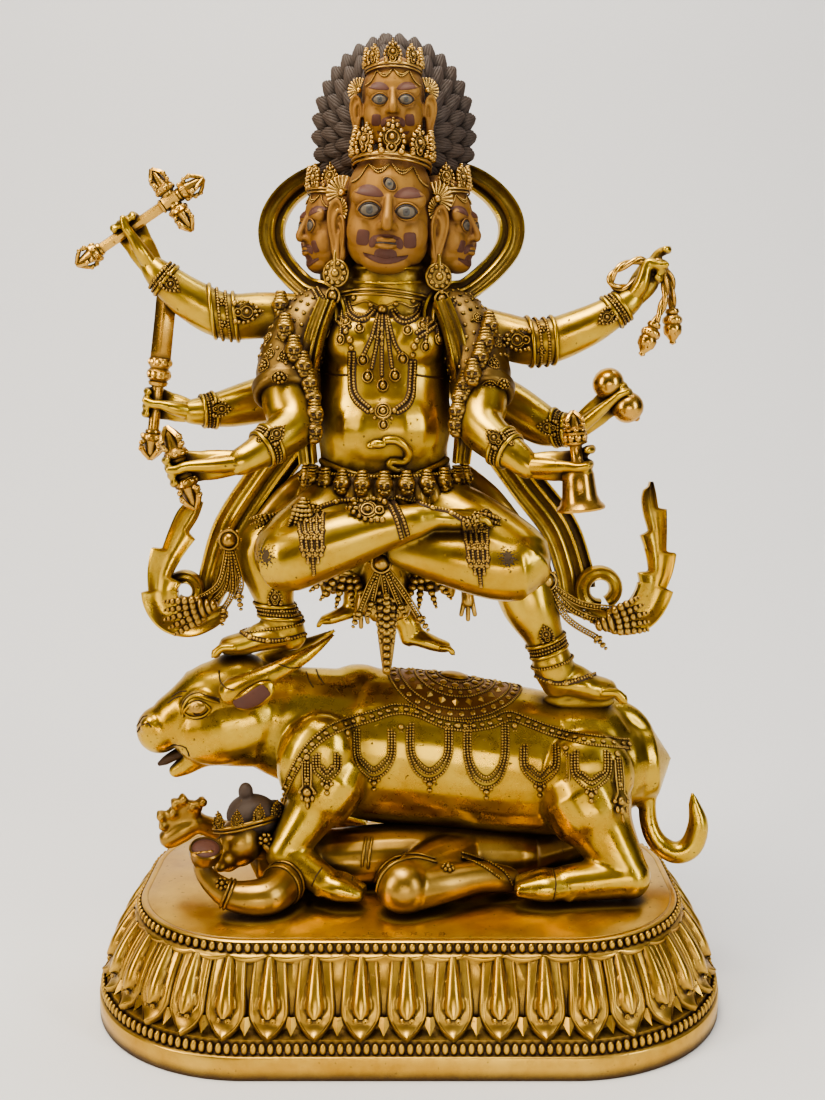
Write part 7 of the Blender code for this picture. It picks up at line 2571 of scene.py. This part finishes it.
def twisted(bm, points, radius):
    """A rope of two strands wound round each other."""
    path = [Vector(point) for point in smooth_path(points, 1.4)]
    for strand in (0, 1):
        line = []
        for i, place in enumerate(path):
            ahead = (path[min(i + 1, len(path) - 1)] - path[max(i - 1, 0)]).normalized()
            side = ahead.cross(Vector((0, -1, 0.2))).normalized()
            out = side.cross(ahead)
            a = pi * strand + i * 0.42
            line.append((*(place + (side * cos(a) + out * sin(a)) * radius * 0.42), radius * 0.60))
        tube(bm, line, sides=8, step=1.4)


def noose():
    """A rope over the palm: a small loop by the thumb and two hanging ends weighted with lotus drops."""
    bm = bmesh.new()
    x, y, z = ROPE_HOLD
    twisted(bm, [(x, y, z - 4), (x - 9, y - 1, z + 3), (x - 22, y - 2, z - 2), (x - 26, y - 2, z - 9),
                 (x - 20, y - 1, z - 13), (x - 9, y + 1, z - 8), (x, y + 2, z + 2), (x + 4, y, z),
                 (x + 6, y - 2, z - 14), (x + 4, y - 3, z - 24), (x, y - 4, z - 33)], ROPE_RADIUS)
    twisted(bm, [(x - 6, y + 2, z + 2), (x + 3, y + 3, z + 1.5), (x + 10, y + 3, z - 8),
                 (x + 11, y + 2, z - 25)],
            ROPE_RADIUS)
    for start, lean in (((x, y - 4, z - 33), -0.4), ((x + 11, y + 2, z - 25), 0.05)):
        way = Vector((lean, 0, -1)).normalized()
        turned_about(bm, start, way, [(0.05, -1), (3.6, -0.5), (4.3, 1.5), (3.2, 2.8), (5.4, 4.4),
                                      (5.9, 6.4),
                                      (4.6, 8.2), (5.6, 10.0), (5.2, 13.0), (3.4, 16.0), (1.8, 18.0),
                                      (2.2, 19.4),
                                      (0.05, 20.6)], 16)
        matrix = frame_at(start, way, (0, -1, 0))
        for k in range(7):
            a = tau * k / 7
            dome(bm, matrix, (1.9, 1.9, 2.4), (4.2 * cos(a), 4.2 * sin(a), 6.2), sides=8)
            dome(bm, matrix, (1.5, 1.5, 3.2), (4.0 * cos(a + 0.4), 4.0 * sin(a + 0.4), 11.8), sides=8)
    return implement("noose", bm, sharp=60)


def lobed_fruit():
    bm = bmesh.new()
    half = FRUIT_DIAMETER / 2
    far = FRUIT_SPACING / 2 + half * 0.95
    profile = []
    for k in range(25):
        along = -far + 2 * far * k / 24
        lobe = max(0.0, 1 - ((abs(along) - FRUIT_SPACING / 2) / (half * 0.97)) ** 2) ** 0.5
        profile.append((max(0.05, half * max(lobe, 0.42 * (abs(along) < half * 0.7))), along))
    turned_about(bm, FRUIT_HOLD, FRUIT_WAY, profile, 28)
    matrix = frame_at(FRUIT_HOLD, FRUIT_WAY, (0, -1, 0))
    dome(bm, matrix, (2.0, 2.0, 1.6), (0, 0, far - 0.4), sides=10)
    return implement("lobed_fruit", bm, sharp=60)


def bell():
    """The bell is open below, with a thin wall and a dark inside, under a petalled collar and half a
    vajra."""
    bm = bmesh.new()
    way = Vector(BELL_WAY).normalized()
    mouth, body, grip = BELL_MOUTH / 2, BELL_BODY / 2, BELL_GRIP / 2
    drop = BELL_HEIGHT * 0.44
    profile = [(0.05, -14.2), (grip * 1.25, -14.0), (grip * 1.3, -12.6), (grip * 0.80, -11.6),
               (grip * 0.72, -4.0),
               (grip * 1.0, -2.2), (grip * 1.15, -0.8), (grip * 1.0, 0.2), (body * 0.62, 0.3),
               (body * 0.86, 2.0),
               (body * 0.95, 4.6), (body * 0.99, drop * 0.42), (body * 1.05, drop * 0.68),
               (mouth * 0.84, drop * 0.84),
               (mouth * 0.96, drop * 0.91), (mouth, drop * 0.95), (mouth * 0.97, drop),
               (mouth * 0.90, drop),
               (mouth * 0.84 - 1.0, drop * 0.90), (body * 1.05 - BELL_WALL, drop * 0.70),
               (body * 0.95 - BELL_WALL, 7.0),
               (body * 0.70 - BELL_WALL, 3.0), (0.05, 2.2)]
    turned_about(bm, BELL_HOLD, way, profile, 30)
    matrix = frame_at(BELL_HOLD, way, (0, -1, 0))
    turned_about(bm, BELL_HOLD, way, [(0.05, 1.8), (1.6, 2.0), (1.2, drop * 0.5), (2.4, drop * 0.66),
                                      (0.05, drop * 0.78)], 12)
    for k in range(9):
        a = tau * k / 9
        dome(bm, matrix, (2.0, 2.0, 3.0), (grip * 1.15 * cos(a), grip * 1.15 * sin(a), -16.2), sides=8)
    hoop(bm, matrix @ Vector((0, 0, -18.6)), way, grip * 1.35, 0.8)
    hoop(bm, matrix @ Vector((0, 0, -13.4)), way, grip * 1.35, 0.8)
    hoop(bm, matrix @ Vector((0, 0, drop * 0.80)), way, body * 1.12, 0.5)
    vajra_head(bm, matrix @ Vector((0, 0, -18.2)), -way, BELL_HEIGHT - drop - 18.2, grip * 2.8)
    return implement("bell", bm)


for make in (crossed_vajra_staff, sword, vajra, noose, lobed_fruit, bell):
    make()
